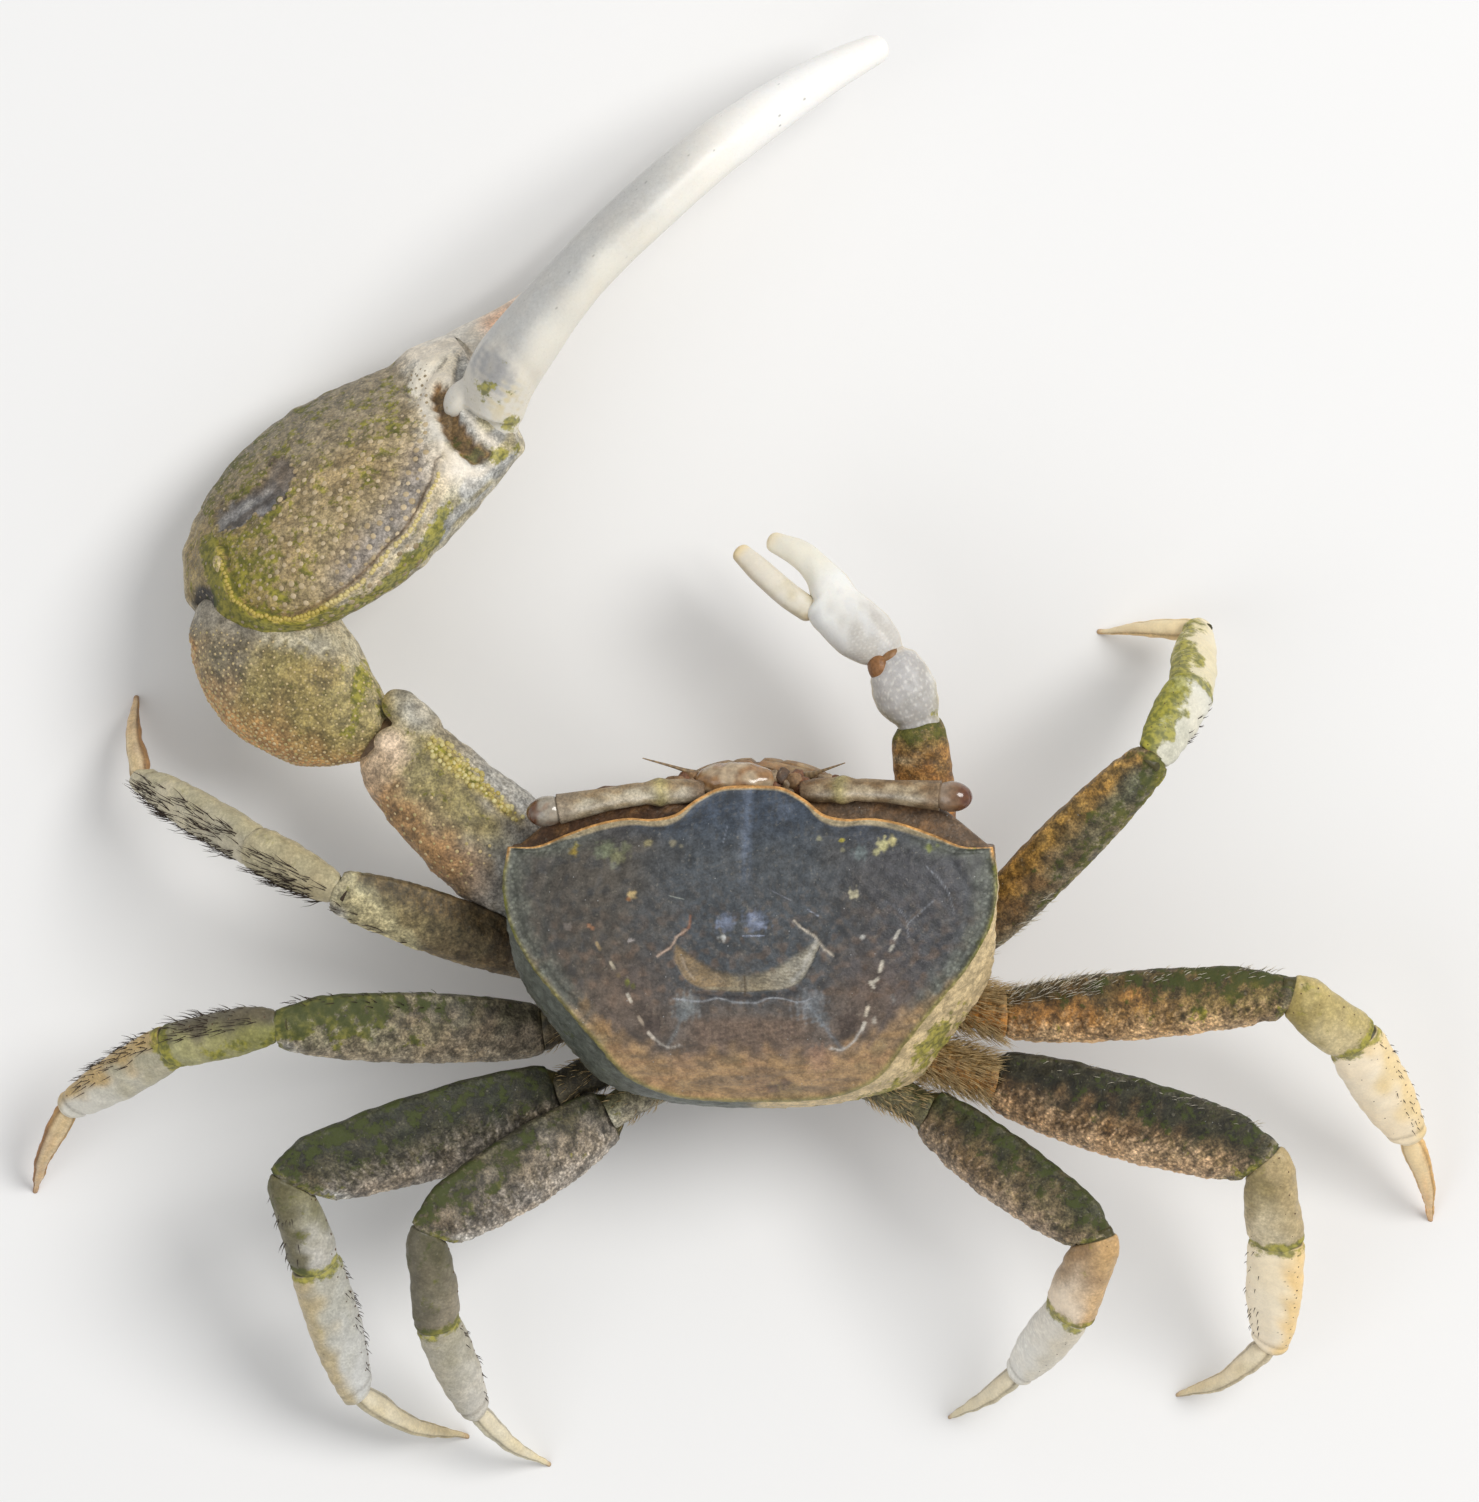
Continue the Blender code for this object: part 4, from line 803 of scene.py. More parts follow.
class Shader:
    """Makes and links the nodes of one material."""

    def __init__(self, name):
        self.material = bpy.data.materials.new(name)
        self.material.use_nodes = True
        self.tree = self.material.node_tree
        self.out = self.tree.nodes["Principled BSDF"]

    def put(self, socket, value):
        """Links what another node gives, or sets a plain value."""
        if isinstance(value, bpy.types.NodeSocket):
            self.tree.links.new(value, socket)
        else:
            socket.default_value = value

    def node(self, kind, values=(), **settings):
        made = self.tree.nodes.new(kind)
        for key, value in settings.items():
            setattr(made, key, value)
        for key, value in dict(values).items():
            self.put(made.inputs[key], value)
        return made

    def set(self, **values):
        for key, value in values.items():
            self.put(self.out.inputs[key.replace("_", " ")], value)

    def point_values(self):
        """Each point's place in millimetres and its tint."""
        where = self.node("ShaderNodeTexCoord").outputs["Object"]
        place = self.scaled(where, 1.0 / MM)
        return place, self.node("ShaderNodeAttribute", attribute_name="tint").outputs["Color"]

    def maths(self, operation, *values):
        return self.node("ShaderNodeMath", dict(enumerate(values)), operation=operation).outputs[0]

    def times(self, a, b):
        return self.maths("MULTIPLY", a, b)

    def scaled(self, vector, size):
        return self.node("ShaderNodeVectorMath", {0: vector, "Scale": size}, operation="SCALE").outputs[0]

    def between(self, share, low, high):
        """The value that lies a share of the way from low to high."""
        values = {"Value": share, "To Min": low, "To Max": high}
        return self.node("ShaderNodeMapRange", values).outputs["Result"]

    def spread(self, value, low, high, to_low=0.0, to_high=1.0):
        """Maps low to high onto another range, with soft ends."""
        values = {"Value": value, "From Min": low, "From Max": high, "To Min": to_low, "To Max": to_high}
        return self.node("ShaderNodeMapRange", values, interpolation_type="SMOOTHSTEP").outputs["Result"]

    def mix(self, share, a, b, how="MIX"):
        made = self.node("ShaderNodeMix", data_type="RGBA", blend_type=how, clamp_factor=True)
        for number, value in ((0, share), (6, a), (7, b)):
            self.put(made.inputs[number], value)
        return made.outputs[2]

    def noise(self, place, scale, detail=3.0, rough=0.55):
        values = {"Vector": place, "Scale": scale, "Detail": detail, "Roughness": rough}
        return self.node("ShaderNodeTexNoise", values).outputs[0]

    def cells(self, place, scale):
        """Cells of random shape: outputs Distance, from each cell's middle, and Color, at random."""
        return self.node("ShaderNodeTexVoronoi", {"Vector": place, "Scale": scale}).outputs

    def channels(self, colour):
        return self.node("ShaderNodeSeparateColor", {"Color": colour}).outputs

    def raise_by(self, height, strength, distance):
        values = {"Strength": strength, "Distance": distance, "Height": height}
        self.set(Normal=self.node("ShaderNodeBump", values).outputs[0])


def rgba(colour):
    return (*linear(colour), 1.0)


def shell_material(
    name, mottle=0.5, grain=0.5, bump=0.25, rough=0.5, spec=0.4, soft=0.0, cells=2.2, flecks=0.3, dots=0.0,
    warmth=None, weed_edge=1.0,
):
    """Shell whose colour comes from each point's tint, broken up by mottling, granules, flecks, algae and pits.

    marks holds, for each point, algae, dirt and painted shade, granules and dark pits.
    """
    s = Shader(name)
    place, tint = s.point_values()
    marks = s.node("ShaderNodeAttribute", attribute_name="marks")
    algae, dirt_and_shade, granules = s.channels(marks.outputs["Color"])
    pits = marks.outputs["Alpha"]
    broad = s.noise(place, 0.32, 3.0)
    middle = s.noise(place, 1.3, 5.0, 0.68)
    fine = s.noise(place, 6.5, 4.0, 0.65)

    # How light each point is against its tint; pale tints are mottled less.
    mottling = s.spread(middle, 0.36, 0.64, 1.0 - 0.6 * mottle, 1.0 + 0.6 * mottle)
    graining = s.spread(fine, 0.36, 0.64, 1.0 - 0.4 * grain, 1.0 + 0.42 * grain)
    value = s.times(mottling, graining)
    cell = s.cells(place, cells)
    lump = s.spread(cell["Distance"], 0.08, 0.62, 1.22, 0.66)
    chance = s.channels(cell["Color"])[0]
    lump = s.times(lump, s.spread(chance, 0.0, 1.0, 0.82, 1.16))
    lump = s.between(granules, 1.0, lump)
    value = s.times(value, lump)
    level = s.node("ShaderNodeRGBToBW", {"Color": tint}).outputs[0]
    calm = s.spread(level, 0.45, 0.8, 0.0, 0.75)
    colour = s.scaled(tint, s.between(calm, value, 1.0))

    # Warm clouds, dirt and painted shade, pale flecks and single pale dots.
    warmth = 0.5 * mottle + 0.1 if warmth is None else warmth
    colour = s.mix(s.times(s.spread(broad, 0.42, 0.62), warmth), colour, (1.1, 0.98, 0.82, 1.0), "MULTIPLY")
    colour = s.mix(s.times(dirt_and_shade, s.spread(middle, 0.3, 0.7, 0.5, 1.0)), colour, rgba((34, 30, 24)))
    speck = s.spread(s.noise(place, 3.6, 2.0, 0.5), 0.66, 0.71)
    colour = s.mix(s.times(speck, flecks), colour, rgba((190, 182, 160)))
    if dots:
        cell = s.cells(place, 2.1)
        luck = s.channels(cell["Color"])[1]
        dot = s.times(s.spread(cell["Distance"], 0.1, 0.05), s.spread(luck, 0.72, 0.76))
        colour = s.mix(s.times(dot, dots), colour, rgba((178, 180, 180)))

    # Algae, darker where the shell under it is dark, then pits.
    weed = s.noise(place, 0.95, 6.0, 0.72)
    weed = s.maths("SUBTRACT", weed, s.maths("MULTIPLY_ADD", algae, -0.44, 0.74))
    weed = s.times(s.spread(weed, -0.03 * weed_edge, 0.07 * weed_edge), s.spread(algae, 0.0, 0.1))
    bright = s.mix(s.spread(s.noise(place, 2.6, 3.0), 0.35, 0.65), rgba((98, 100, 28)), rgba((168, 160, 52)))
    green = s.mix(s.spread(level, 0.08, 0.36), rgba((66, 74, 30)), bright)
    colour = s.mix(s.times(weed, 0.82), colour, green)
    pit = s.times(s.spread(s.cells(place, 1.35)["Distance"], 0.12, 0.08), pits)
    s.set(Base_Color=s.mix(s.times(pit, 0.8), colour, rgba((70, 56, 40))))

    shine = s.maths("ADD", s.spread(fine, 0.3, 0.7, rough - 0.08, rough + 0.12), s.times(weed, 0.2))
    s.set(Roughness=shine, Specular_IOR_Level=spec)
    if soft:
        s.set(Subsurface_Weight=soft, Subsurface_Radius=(1.0, 0.7, 0.45), Subsurface_Scale=0.0007)
    height = s.maths("ADD", fine, s.times(middle, 0.6))
    height = s.maths("ADD", height, s.times(lump, 0.8))
    height = s.maths("ADD", height, s.times(weed, 0.4))
    height = s.maths("SUBTRACT", height, s.times(pit, 0.8))
    s.raise_by(height, bump, 0.00015)
    return s.material


def plain_material(name, rough, spec=0.4, bump=0.15, scale=4.0, coat=0.0):
    """Skin, bristles and eyes: the point's tint with fine variation."""
    s = Shader(name)
    place, tint = s.point_values()
    fine = s.noise(place, scale, 3.0)
    colour = s.scaled(tint, s.spread(fine, 0.2, 0.8, 0.72, 1.28))
    s.set(Base_Color=colour, Roughness=rough, Specular_IOR_Level=spec)
    if coat:
        s.set(Coat_Weight=coat, Coat_Roughness=0.06)
    s.raise_by(fine, bump, 0.0001)
    return s.material


MATERIALS = {
    "shell": shell_material(
        "carapace_shell", mottle=0.5, grain=0.4, bump=0.34, rough=0.4, cells=3.4, flecks=0.12, dots=0.7,
        warmth=0.12,
    ),
    "leg": shell_material(
        "leg_shell", mottle=0.85, grain=0.95, bump=0.42, rough=0.48, spec=0.38, cells=3.8, flecks=0.15,
        dots=0.4,
    ),
    "pale": shell_material(
        "pale_leg_shell", mottle=0.2, grain=0.3, bump=0.14, rough=0.4, spec=0.38, cells=3.4, flecks=0.1,
        weed_edge=1.7,
    ),
    "claw": shell_material("claw_shell", mottle=0.6, grain=0.75, bump=0.4, rough=0.5, cells=3.0, flecks=0.12),
    "ivory": shell_material(
        "ivory_shell", mottle=0.05, grain=0.1, bump=0.1, rough=0.34, soft=0.1, cells=3.0, flecks=0.02,
    ),
    "belly": shell_material("belly_shell", mottle=0.4, grain=0.5, bump=0.35, rough=0.5, cells=2.4, flecks=0.15),
    "skin": plain_material("joint_skin", rough=0.42, bump=0.4, scale=5.0),
    "eye": plain_material("eye_surface", rough=0.16, spec=0.6, bump=0.05, scale=3.0, coat=0.35),
    "bristle": plain_material("bristles", rough=0.6, bump=0.0, scale=2.0),
}


# Carapace


def margin_outline(between):
    """The carapace's closed margin, with points added between those of MARGIN and the corners kept sharp."""
    front = curve_through(MARGIN[: CORNER + 1], CORNER * between + 1)
    side = curve_through(MARGIN[CORNER:], (len(MARGIN) - 1 - CORNER) * between + 1)
    half = np.concatenate([front, side[1:]])
    return np.concatenate([half, half[-2:0:-1] * (-1.0, 1.0)])


def dome_height(x, y):
    """Height of the smooth carapace, which falls off towards the front, the rear and the sides."""
    front = 3.2 * (np.clip(-4.0 - y, 0, None) / 6.3) ** 2
    back = 5.0 * (np.clip(y - 1.0, 0, None) / 8.6) ** 2.2
    side = 1.5 * (np.abs(x) / 15.0) ** 2.5
    return CROWN_Z - front - back - side


def carapace_rows(between):
    """The margin, then the rows below it down to the shell's floor, as in the solids."""
    edge = margin_outline(between)
    x, y = edge[:, 0], edge[:, 1]
    top = dome_height(x, y)
    outward = edge / np.linalg.norm(edge, axis=1)[:, None]
    is_front = 1.0 - ramp(-6.5, -5.4, y)
    bulge = WALL_BULGE * ramp(-3.0, 3.0, y) * (1 - 0.75 * ramp(6.5, 9.5, y))
    widest = edge + outward * bulge[:, None]
    widest_z = top - 0.5 - 1.7 * bulge
    shelf_y = ORBIT_SHELF_Y + 3.7 * (np.clip(np.abs(x) - 9.5, 0, None) / 5.5) ** 1.3
    shelf_y = np.minimum(shelf_y, y)
    rows = [np.column_stack([x, y, top])]
    for (inset, drop), (out, down) in zip(((0.55, 0.9), (0.15, 1.9)), ((0.6, 0.45), (1.0, 1.0))):
        side_xy = edge + (widest - edge) * out
        side_z = top + (widest_z - top) * down
        front_x = np.where(is_front > 0.5, x * (1 - 0.02 * inset), side_xy[:, 0])
        front_y = is_front * (y + inset) + (1 - is_front) * side_xy[:, 1]
        rows.append(np.column_stack([front_x, front_y, is_front * (top - drop) + (1 - is_front) * side_z]))
    lower = widest * (0.8, 0.93)
    for share, shelf_out, drop in ((0.1, 1.0, ORBIT_SHELF_DROP), (0.5, 0.95, 4.2), (1.0, 0.4, 0.0)):
        side_xy = widest + (lower - widest) * share**1.4
        side_z = widest_z + (SHELL_FLOOR_Z - widest_z) * share
        front_y = y + (shelf_y - y) * shelf_out
        front_z = top - drop if drop else np.full_like(top, SHELL_FLOOR_Z)
        rows.append(np.column_stack([
            is_front * x * (1 - 0.12 * share) + (1 - is_front) * side_xy[:, 0],
            is_front * front_y + (1 - is_front) * side_xy[:, 1],
            is_front * front_z + (1 - is_front) * side_z,
        ]))
    return np.stack(rows)


def refined(rows, count):
    """More rows between the given ones, on smooth curves."""
    at = np.arange(len(rows), dtype=float)
    return hermite(rows, at, np.linspace(0, len(rows) - 1, count), np.gradient(rows, axis=0))


def to_line(points, line):
    """Distance in plan from each point to a line through the given points."""
    flat = points[..., :2]
    best = np.full(flat.shape[:-1], 1e9)
    path = curve_through(line, max(2, 6 * len(line))) if len(line) > 2 else np.array(line, float)
    for a, b in zip(path, path[1:]):
        way = b - a
        share = np.clip(((flat - a) @ way) / max(way @ way, 1e-9), 0, 1)
        best = np.minimum(best, np.linalg.norm(flat - (a + share[..., None] * way), axis=-1))
    return best


def crescent(x, y):
    """The pale groove behind the middle of the carapace: 1 inside it."""
    top, low = (curve_through(shell_place(line), 60) for line in (CRESCENT_TOP, CRESCENT_LOW))
    upper = np.interp(x, top[::-1, 0], top[::-1, 1])
    lower = np.interp(x, low[::-1, 0], low[::-1, 1])
    left, right = top[0, 0], top[-1, 0]
    ends = ramp(right - 0.1, right + 0.15, x) * ramp(left + 0.1, left - 0.15, x)
    soft = ramp(-0.25, 0.3, y - upper) * ramp(-0.05, 0.1, lower - y)
    return soft * ends


def carapace_top_looks(x, y, edge_gap):
    """Colour and marks over the carapace's upper side, by place in plan."""
    reach = np.abs(x)
    places = np.stack([x, y, np.zeros_like(x)], axis=-1)
    patch = wobble(places, 3.5, 11)
    ragged = wobble(places, 1.2, 12)
    fine = wobble(places, 0.45, 14)
    blotch = wobble(places, 1.0, 17)
    front = ramp(-6.0, -8.8, y + 0.3 * patch)
    middle = ramp(4.2, 3.0, reach) * ramp(3.6, 4.4, y)
    border = np.interp(x, *np.transpose(REAR_BORDER))
    rear = ramp(-0.5, 1.0, y - border + 0.45 * ragged)
    streak = wobble(np.stack([x * 0.25, y * 1.4, 0 * x], axis=-1), 1.2, 13)
    rim = ramp(1.9, 0.4, edge_gap + 0.3 * ragged) * ramp(8.0, 12.5, reach)
    pale = crescent(x, y)
    lines = np.sin((y - 0.045 * (x - 0.1) ** 2) * 26.0 + 2.2 * wobble(places, 0.5, 16))
    ochre = layered(
        (150, 138, 112),
        ((166, 162, 148), ramp(0.0, -4.0, x)),
        ((150, 120, 78), ramp(2.0, 3.6, x + 1.6 * (y < 2.0)) * 0.6),
        ((112, 100, 80), ramp(0.2, 0.9, lines) * 0.45),
    )
    tint = layered(
        (70, 75, 80),
        ((80, 75, 68), ramp(3.5, 9.0, reach + patch)),
        ((60, 62, 69), ramp(-4.0, -9.0, x) * 0.8),
        ((61, 71, 85), front * 0.8),
        ((100, 90, 80), ramp(0.1, 0.9, wobble(places, 0.8, 15)) * ramp(-6.0, -2.0, y) * 0.45),
        ((98, 110, 130), soft_spot(x - 0.15, 0.34) * ramp(-3.6, -6.0, y) * 0.55),
        ((74, 76, 78), ramp(0.3, 0.9, ragged) * 0.35),
        ((104, 100, 94), ramp(0.5, 1.0, fine) * 0.3),
        ((110, 90, 74), ramp(0.1, 0.9, blotch) * ramp(-5.0, 1.0, y) * 0.5),
        ((62, 64, 66), ramp(0.3, 1.0, -blotch + 0.3 * fine) * 0.5),
        ((112, 90, 74), spot_at(reach, y, (7.6, 2.6), 2.4) * 0.5),
        ((112, 98, 86), ramp(1.5, 4.5, y + 0.5 * patch) * 0.7),
        ((124, 104, 88), middle * 0.7),
        ((86, 72, 66), middle * ramp(0.0, 0.7, fine + 0.5 * ragged) * 0.5),
        ((168, 137, 98), rear * 0.95),
        ((126, 108, 88), rear * ramp(0.1, 0.8, streak) * 0.55),
        ((172, 134, 98), rear * ramp(0.2, 0.9, -streak) * 0.5),
        ((130, 116, 84), rear * ramp(0.4, 1.0, patch) * 0.5),
        ((112, 116, 106), rim * 0.75 * (1 - 0.7 * rear)),
        (ochre, pale * (0.8 + 0.15 * ragged)),
    )
    for px, py, size, colour, strength in SHELL_SPOTS:
        cx, cy = shell_place((px, py))
        far = np.hypot(x - cx, y - cy) * (1 + 0.3 * fine) + 0.1 * size * ragged
        tint = layered(tint, (colour, ramp(1.5, 0.5, far / size) * strength))
    for line, size, colour, strength, _ in SHELL_LINES:
        far = to_line(places, shell_place(line)) * (1 + 0.4 * fine)
        tint = layered(tint, (colour, soft_spot(far, size) * strength))
    for px, py, half, degrees, colour in SHELL_DASHES:
        centre = shell_place((px, py))
        way = half * np.array((-math.cos(math.radians(degrees)), math.sin(math.radians(degrees))))
        far = to_line(places, [tuple(centre - way), tuple(centre + way)])
        tint = layered(tint, (colour, ramp(0.15, 0.06, far) * 0.9))
    front_edge = ramp(-5.2, -6.4, y)
    band = 0.1 + 0.12 * ramp(3.0, 5.5, reach) * ramp(12.5, 10.0, reach)
    cream = ramp(band * 2.6, band * 1.6, edge_gap) * front_edge
    side_edge = soft_spot(edge_gap, 0.2) * (1 - front_edge)
    tint = layered(
        tint,
        ((176, 160, 126), cream * 0.85),
        ((204, 152, 88), ramp(0.17, 0.1, edge_gap) * front_edge),
        ((134, 128, 66), side_edge * 0.8),
    )
    algae = 0.3 * rim * ramp(12.0, 14.6, reach) + 0.25 * side_edge
    return tint, marked(algae=algae, granules=0.16 + 0.75 * rim - 0.1 * pale)


def top_relief(x, y, height, edge_gap):
    """How much the carapace's upper side stands out of its smooth dome."""
    places = np.stack([x, y, height], axis=-1)
    relief = 0.05 * wobble(places, 2.4, 21) + 0.03 * wobble(places, 0.9, 22)
    for line, size, _, _, depth in SHELL_LINES:
        if depth:
            relief += depth * soft_spot(to_line(places, shell_place(line)), size * 1.6)
    relief -= 0.16 * crescent(x, y)
    relief -= 0.22 * soft_spot(x, 0.5) * ramp(-4.5, -7.0, y)
    relief += 0.3 * spot_at(np.abs(x), y, (7.5, -2.2), 3.6)
    relief += 0.18 * spot_at(x, y, (0.0, -1.2), 2.6)
    relief -= 0.12 * spot_at(np.abs(x), y, (3.8, 3.6), 1.0)
    front_edge = ramp(-5.2, -6.4, y)
    relief += 0.14 * soft_spot(edge_gap - 0.12, 0.16) + 0.06 * front_edge * soft_spot(edge_gap - 0.3, 0.3)
    return relief - 0.1 * soft_spot(edge_gap - 0.55, 0.25)


def flank_looks(low, drop, orbit):
    """Colour and marks of the carapace's sides and of the hollows under its front edge, with painted light on
    the right side and painted shade on the left side and in the hollows.
    """
    x, y = low[..., 0], low[..., 1]
    tone = wobble(low * (1.0, 1.0, 3.0), 1.3, 25)
    # The right side is tan and the left side dark grey, partly their own colour and partly painted light: the
    # right side painted lit, the left side painted in shade.
    tint = layered((206, 184, 142), ((92, 96, 88), ramp(-1.0, 1.0, x)))
    tint = layered(tint, (tint * 0.76, ramp(0.0, 0.9, tone) * 0.5))
    # The hollows are partly their own reddish brown and partly painted shade of the cavity, darker on the
    # crab's left.
    hollow = layered((116, 94, 72), ((92, 66, 46), ramp(-2.0, 2.0, x)))
    cream = soft_spot(drop - 0.3, 0.35) * orbit * ramp(2.0, -2.0, x)
    tint = layered(
        tint,
        ((96, 82, 60), ramp(2.5, 5.5, drop) * 0.7),
        (hollow, orbit * ramp(0.2, 0.8, drop)),
        ((176, 166, 146), cream * 0.7),
        ((150, 112, 72), orbit * ramp(0.0, 0.8, tone) * ramp(0.8, 1.6, drop) * 0.6),
        ((200, 150, 92), soft_spot(drop, 0.16) * orbit),
        ((150, 124, 92), orbit * ramp(3.5, 6.0, drop) * 0.7),
    )
    green = (0.35 * ramp(0.3, 1.5, drop) * (1 - orbit)) * ramp(0.0, 4.0, y)
    patch = spot_at(x, y, (-11.0, 5.6), 1.8) + spot_at(x, y, (-7.8, 9.4), 1.5)
    green = green + 0.5 * patch * ramp(0.1, 0.5, drop)
    # Painted shade deep in the hollows under the front edge, darkening them.
    dirt_and_shade = 0.3 * orbit * soft_spot(drop - 1.2, 0.6)
    return tint, marked(algae=green, dirt_and_shade=dirt_and_shade, granules=0.04 + 0.6 * orbit)


def make_carapace():
    rows = carapace_rows(between=14)
    edge = rows[0]
    # Rings from the middle out to the margin, a little closer together towards it.
    shares = np.clip(1 - np.linspace(0.985, 0.0, 170) ** 1.15, 0.012, 1.0)
    x, y = (edge[None, :, k] * shares[:, None] for k in (0, 1))
    height = dome_height(x, y)
    edge_gap = (1 - shares)[:, None] * np.linalg.norm(edge[:, :2], axis=1)[None, :] * 0.85
    fade = ramp(0.0, 0.05, shares)[:, None]
    top = np.stack([x, y, height + top_relief(x, y, height, edge_gap) * fade], axis=-1)

    low = refined(rows, count=70)[1:]
    drop = edge[None, :, 2] - low[..., 2]
    side = ramp(-5.6, -4.0, low[..., 1])
    ribs = 0.06 * wobble(low * (1.0, 1.0, 2.0), 1.1, 23) + 0.04 * wobble(low, 0.5, 24)
    ribs = np.stack([np.sign(low[..., 0]) * ribs, 0.4 * ribs, 0 * ribs], axis=-1)
    low = low + ribs * (0.3 + 0.7 * side)[..., None]
    orbit = 1 - ramp(-6.3, -5.4, low[..., 1])

    tint_top, marks_top = carapace_top_looks(x, y, edge_gap)
    tint_low, marks_low = flank_looks(low, drop, orbit)
    skin = Skin()
    skin.add_rings(
        lean(np.concatenate([top, low])),
        np.concatenate([tint_top, tint_low]),
        np.concatenate([marks_top, marks_low]),
    )
    skin.make("carapace_shell", MATERIALS["shell"], ["carapace"], "shell")


# Underside


def mirrored(half, between):
    """A closed outline from its right half, with points added between the given ones."""
    path = curve_through(half, (len(half) - 1) * between + 1)
    return np.concatenate([path, path[-2:0:-1] * (-1.0, 1.0)])


def make_thorax():
    outline = mirrored(THORAX_OUTLINE, between=10)
    centre = np.array((0.0, 0.5))
    levels = np.array(THORAX_LEVELS)
    rows = np.stack([
        np.column_stack([centre + (outline - centre) * share, np.full(len(outline), z)]) for z, share in levels
    ])
    rows = refined(rows, count=40)
    floor = [centre + (rows[-1][:, :2] - centre) * s for s in np.linspace(0.93, 0.06, 24)]
    floor = np.stack([np.column_stack([p, np.full(len(p), THORAX_LEVELS[-1][0])]) for p in floor])
    rings = np.concatenate([rows, floor])
    seams = np.zeros(rings.shape[:2])
    for y in (-5.6, -3.2, -0.6, 2.0, 4.6):
        seams = np.maximum(seams, soft_spot(rings[..., 1] - y - 0.06 * np.abs(rings[..., 0]), 0.16))
    under = ramp(7.4, 5.6, rings[..., 2])
    dent = seams * under * ramp(1.2, 2.2, np.abs(rings[..., 0]))
    rings[..., 2] += 0.16 * dent - 0.12 * under * soft_spot(np.abs(rings[..., 0]) - 4.0, 2.0) * 0.5
    tone = wobble(rings, 2.2, 31)
    tint = layered(
        (128, 108, 82),
        ((156, 138, 108), ramp(-0.5, 0.6, tone)),
        ((70, 58, 44), dent * 0.9),
        ((86, 74, 56), ramp(9.0, 10.6, rings[..., 2])),
    )
    skin = Skin().add_rings(lean(rings), tint, (0.1, 0.1, 0.2, 0.1))
    skin.make("thorax_underside", MATERIALS["belly"], ["thorax"], "belly")


def make_abdomen():
    spine = [
        (0, 9.6, 10.4), (0, 9.7, 8.2), (0, 8.9, 6.3), (0, 7.6, 4.9), (0, 5.0, 4.1), (0, 0.8, 3.95),
        (0, -3.4, 4.0),
    ]
    wide = ((0.0, 0.25, 0.5, 0.8, 1.0), (4.3, 3.8, 2.6, 1.7, 0.6))
    thick = ((0.0, 1.0), (0.62, 0.42))
    rings = sweep(spine, wide, thick, sides=36, rings=120, power=3.0, across=(1.0, 0.0, 0.0))
    share = along_rings(rings)
    seams = sum(soft_spot(share - s, 0.012) for s in (0.12, 0.25, 0.37, 0.49, 0.62, 0.76))
    rings = rings - normals_of(rings) * (0.12 * seams)[..., None]
    tint = layered((150, 128, 96), ((96, 78, 56), np.clip(seams, 0, 1)))
    skin = Skin().add_rings(lean(bevelled(rings, 0.2)), pad_ends(tint), (0.05, 0.1, 0.2, 0.0))
    skin.make("abdomen_flap", MATERIALS["belly"], ["abdomen"], "belly")


def make_mouth():
    """Two broad plates with a groove between them, each with its own long crease, and a hairy rim."""
    spine = [(0.0, -8.9, 6.2), (0.0, -9.5, 8.2), (0.0, -9.9, 10.5), (0.0, -10.2, 12.8), (0.0, -10.3, 15.0)]
    wide = ((0.0, 0.2, 0.55, 0.85, 1.0), (2.6, 4.1, 4.7, 4.0, 2.2))
    thick = ((0.0, 0.3, 0.7, 1.0), (1.0, 1.7, 1.6, 0.9))
    count, sides = 90, 96
    centres = curve_through(spine, count)
    share = np.linspace(0.0, 1.0, count)
    angle = ring_angles(sides)
    across = np.cos(angle)[None, :] * np.ones((count, 1))
    ahead = np.sin(angle)[None, :] < 0
    high = share[:, None] + 0 * across
    groove = 0.26 * soft_spot(across, 0.05)
    groove += 0.1 * soft_spot(np.abs(across) - 0.42 + 0.12 * high, 0.035) * (high < 0.82)
    groove += 0.12 * soft_spot(high - 0.56 - 0.04 * np.abs(across), 0.018) * (np.abs(across) > 0.08)
    groove += 0.1 * soft_spot(high - 0.83, 0.016)
    half_wide = profile(*wide, share)[:, None]
    half_thick = profile(*thick, share)[:, None]
    depth = half_thick * np.sin(angle) * (1 - groove * ahead)
    rings = np.stack([
        centres[:, :1] + half_wide * np.cos(angle),
        centres[:, 1:2] + depth,
        centres[:, 2:] + 0 * depth,
    ], axis=2)
    bulge = soft_spot(np.hypot((rings[..., 0] - 0.3) / 1.6, (rings[..., 2] - 14.4) / 0.9), 1.0) * ahead
    rings[..., 1] -= 0.25 * bulge
    tone = wobble(rings, 1.4, 41)
    tint = layered(
        (150, 118, 80),
        ((176, 150, 112), ramp(-0.5, 0.6, tone)),
        ((84, 62, 42), np.clip(groove * 3.2, 0, 1) * ahead),
        ((168, 118, 66), bulge * 0.8),
        ((112, 84, 58), ramp(0.86, 1.0, high) * (1 - bulge) * 0.7),
    )
    skin = Skin().add_rings(lean(bevelled(rings, 0.25)), pad_ends(tint), (0.1, 0.15, 0.35, 0.1))
    skin.make("mouth_plates", MATERIALS["belly"], ["mouthparts"], "belly")


CLUMP_COLOURS = ((122, 84, 60), (150, 118, 84), (96, 76, 60), (168, 146, 118))


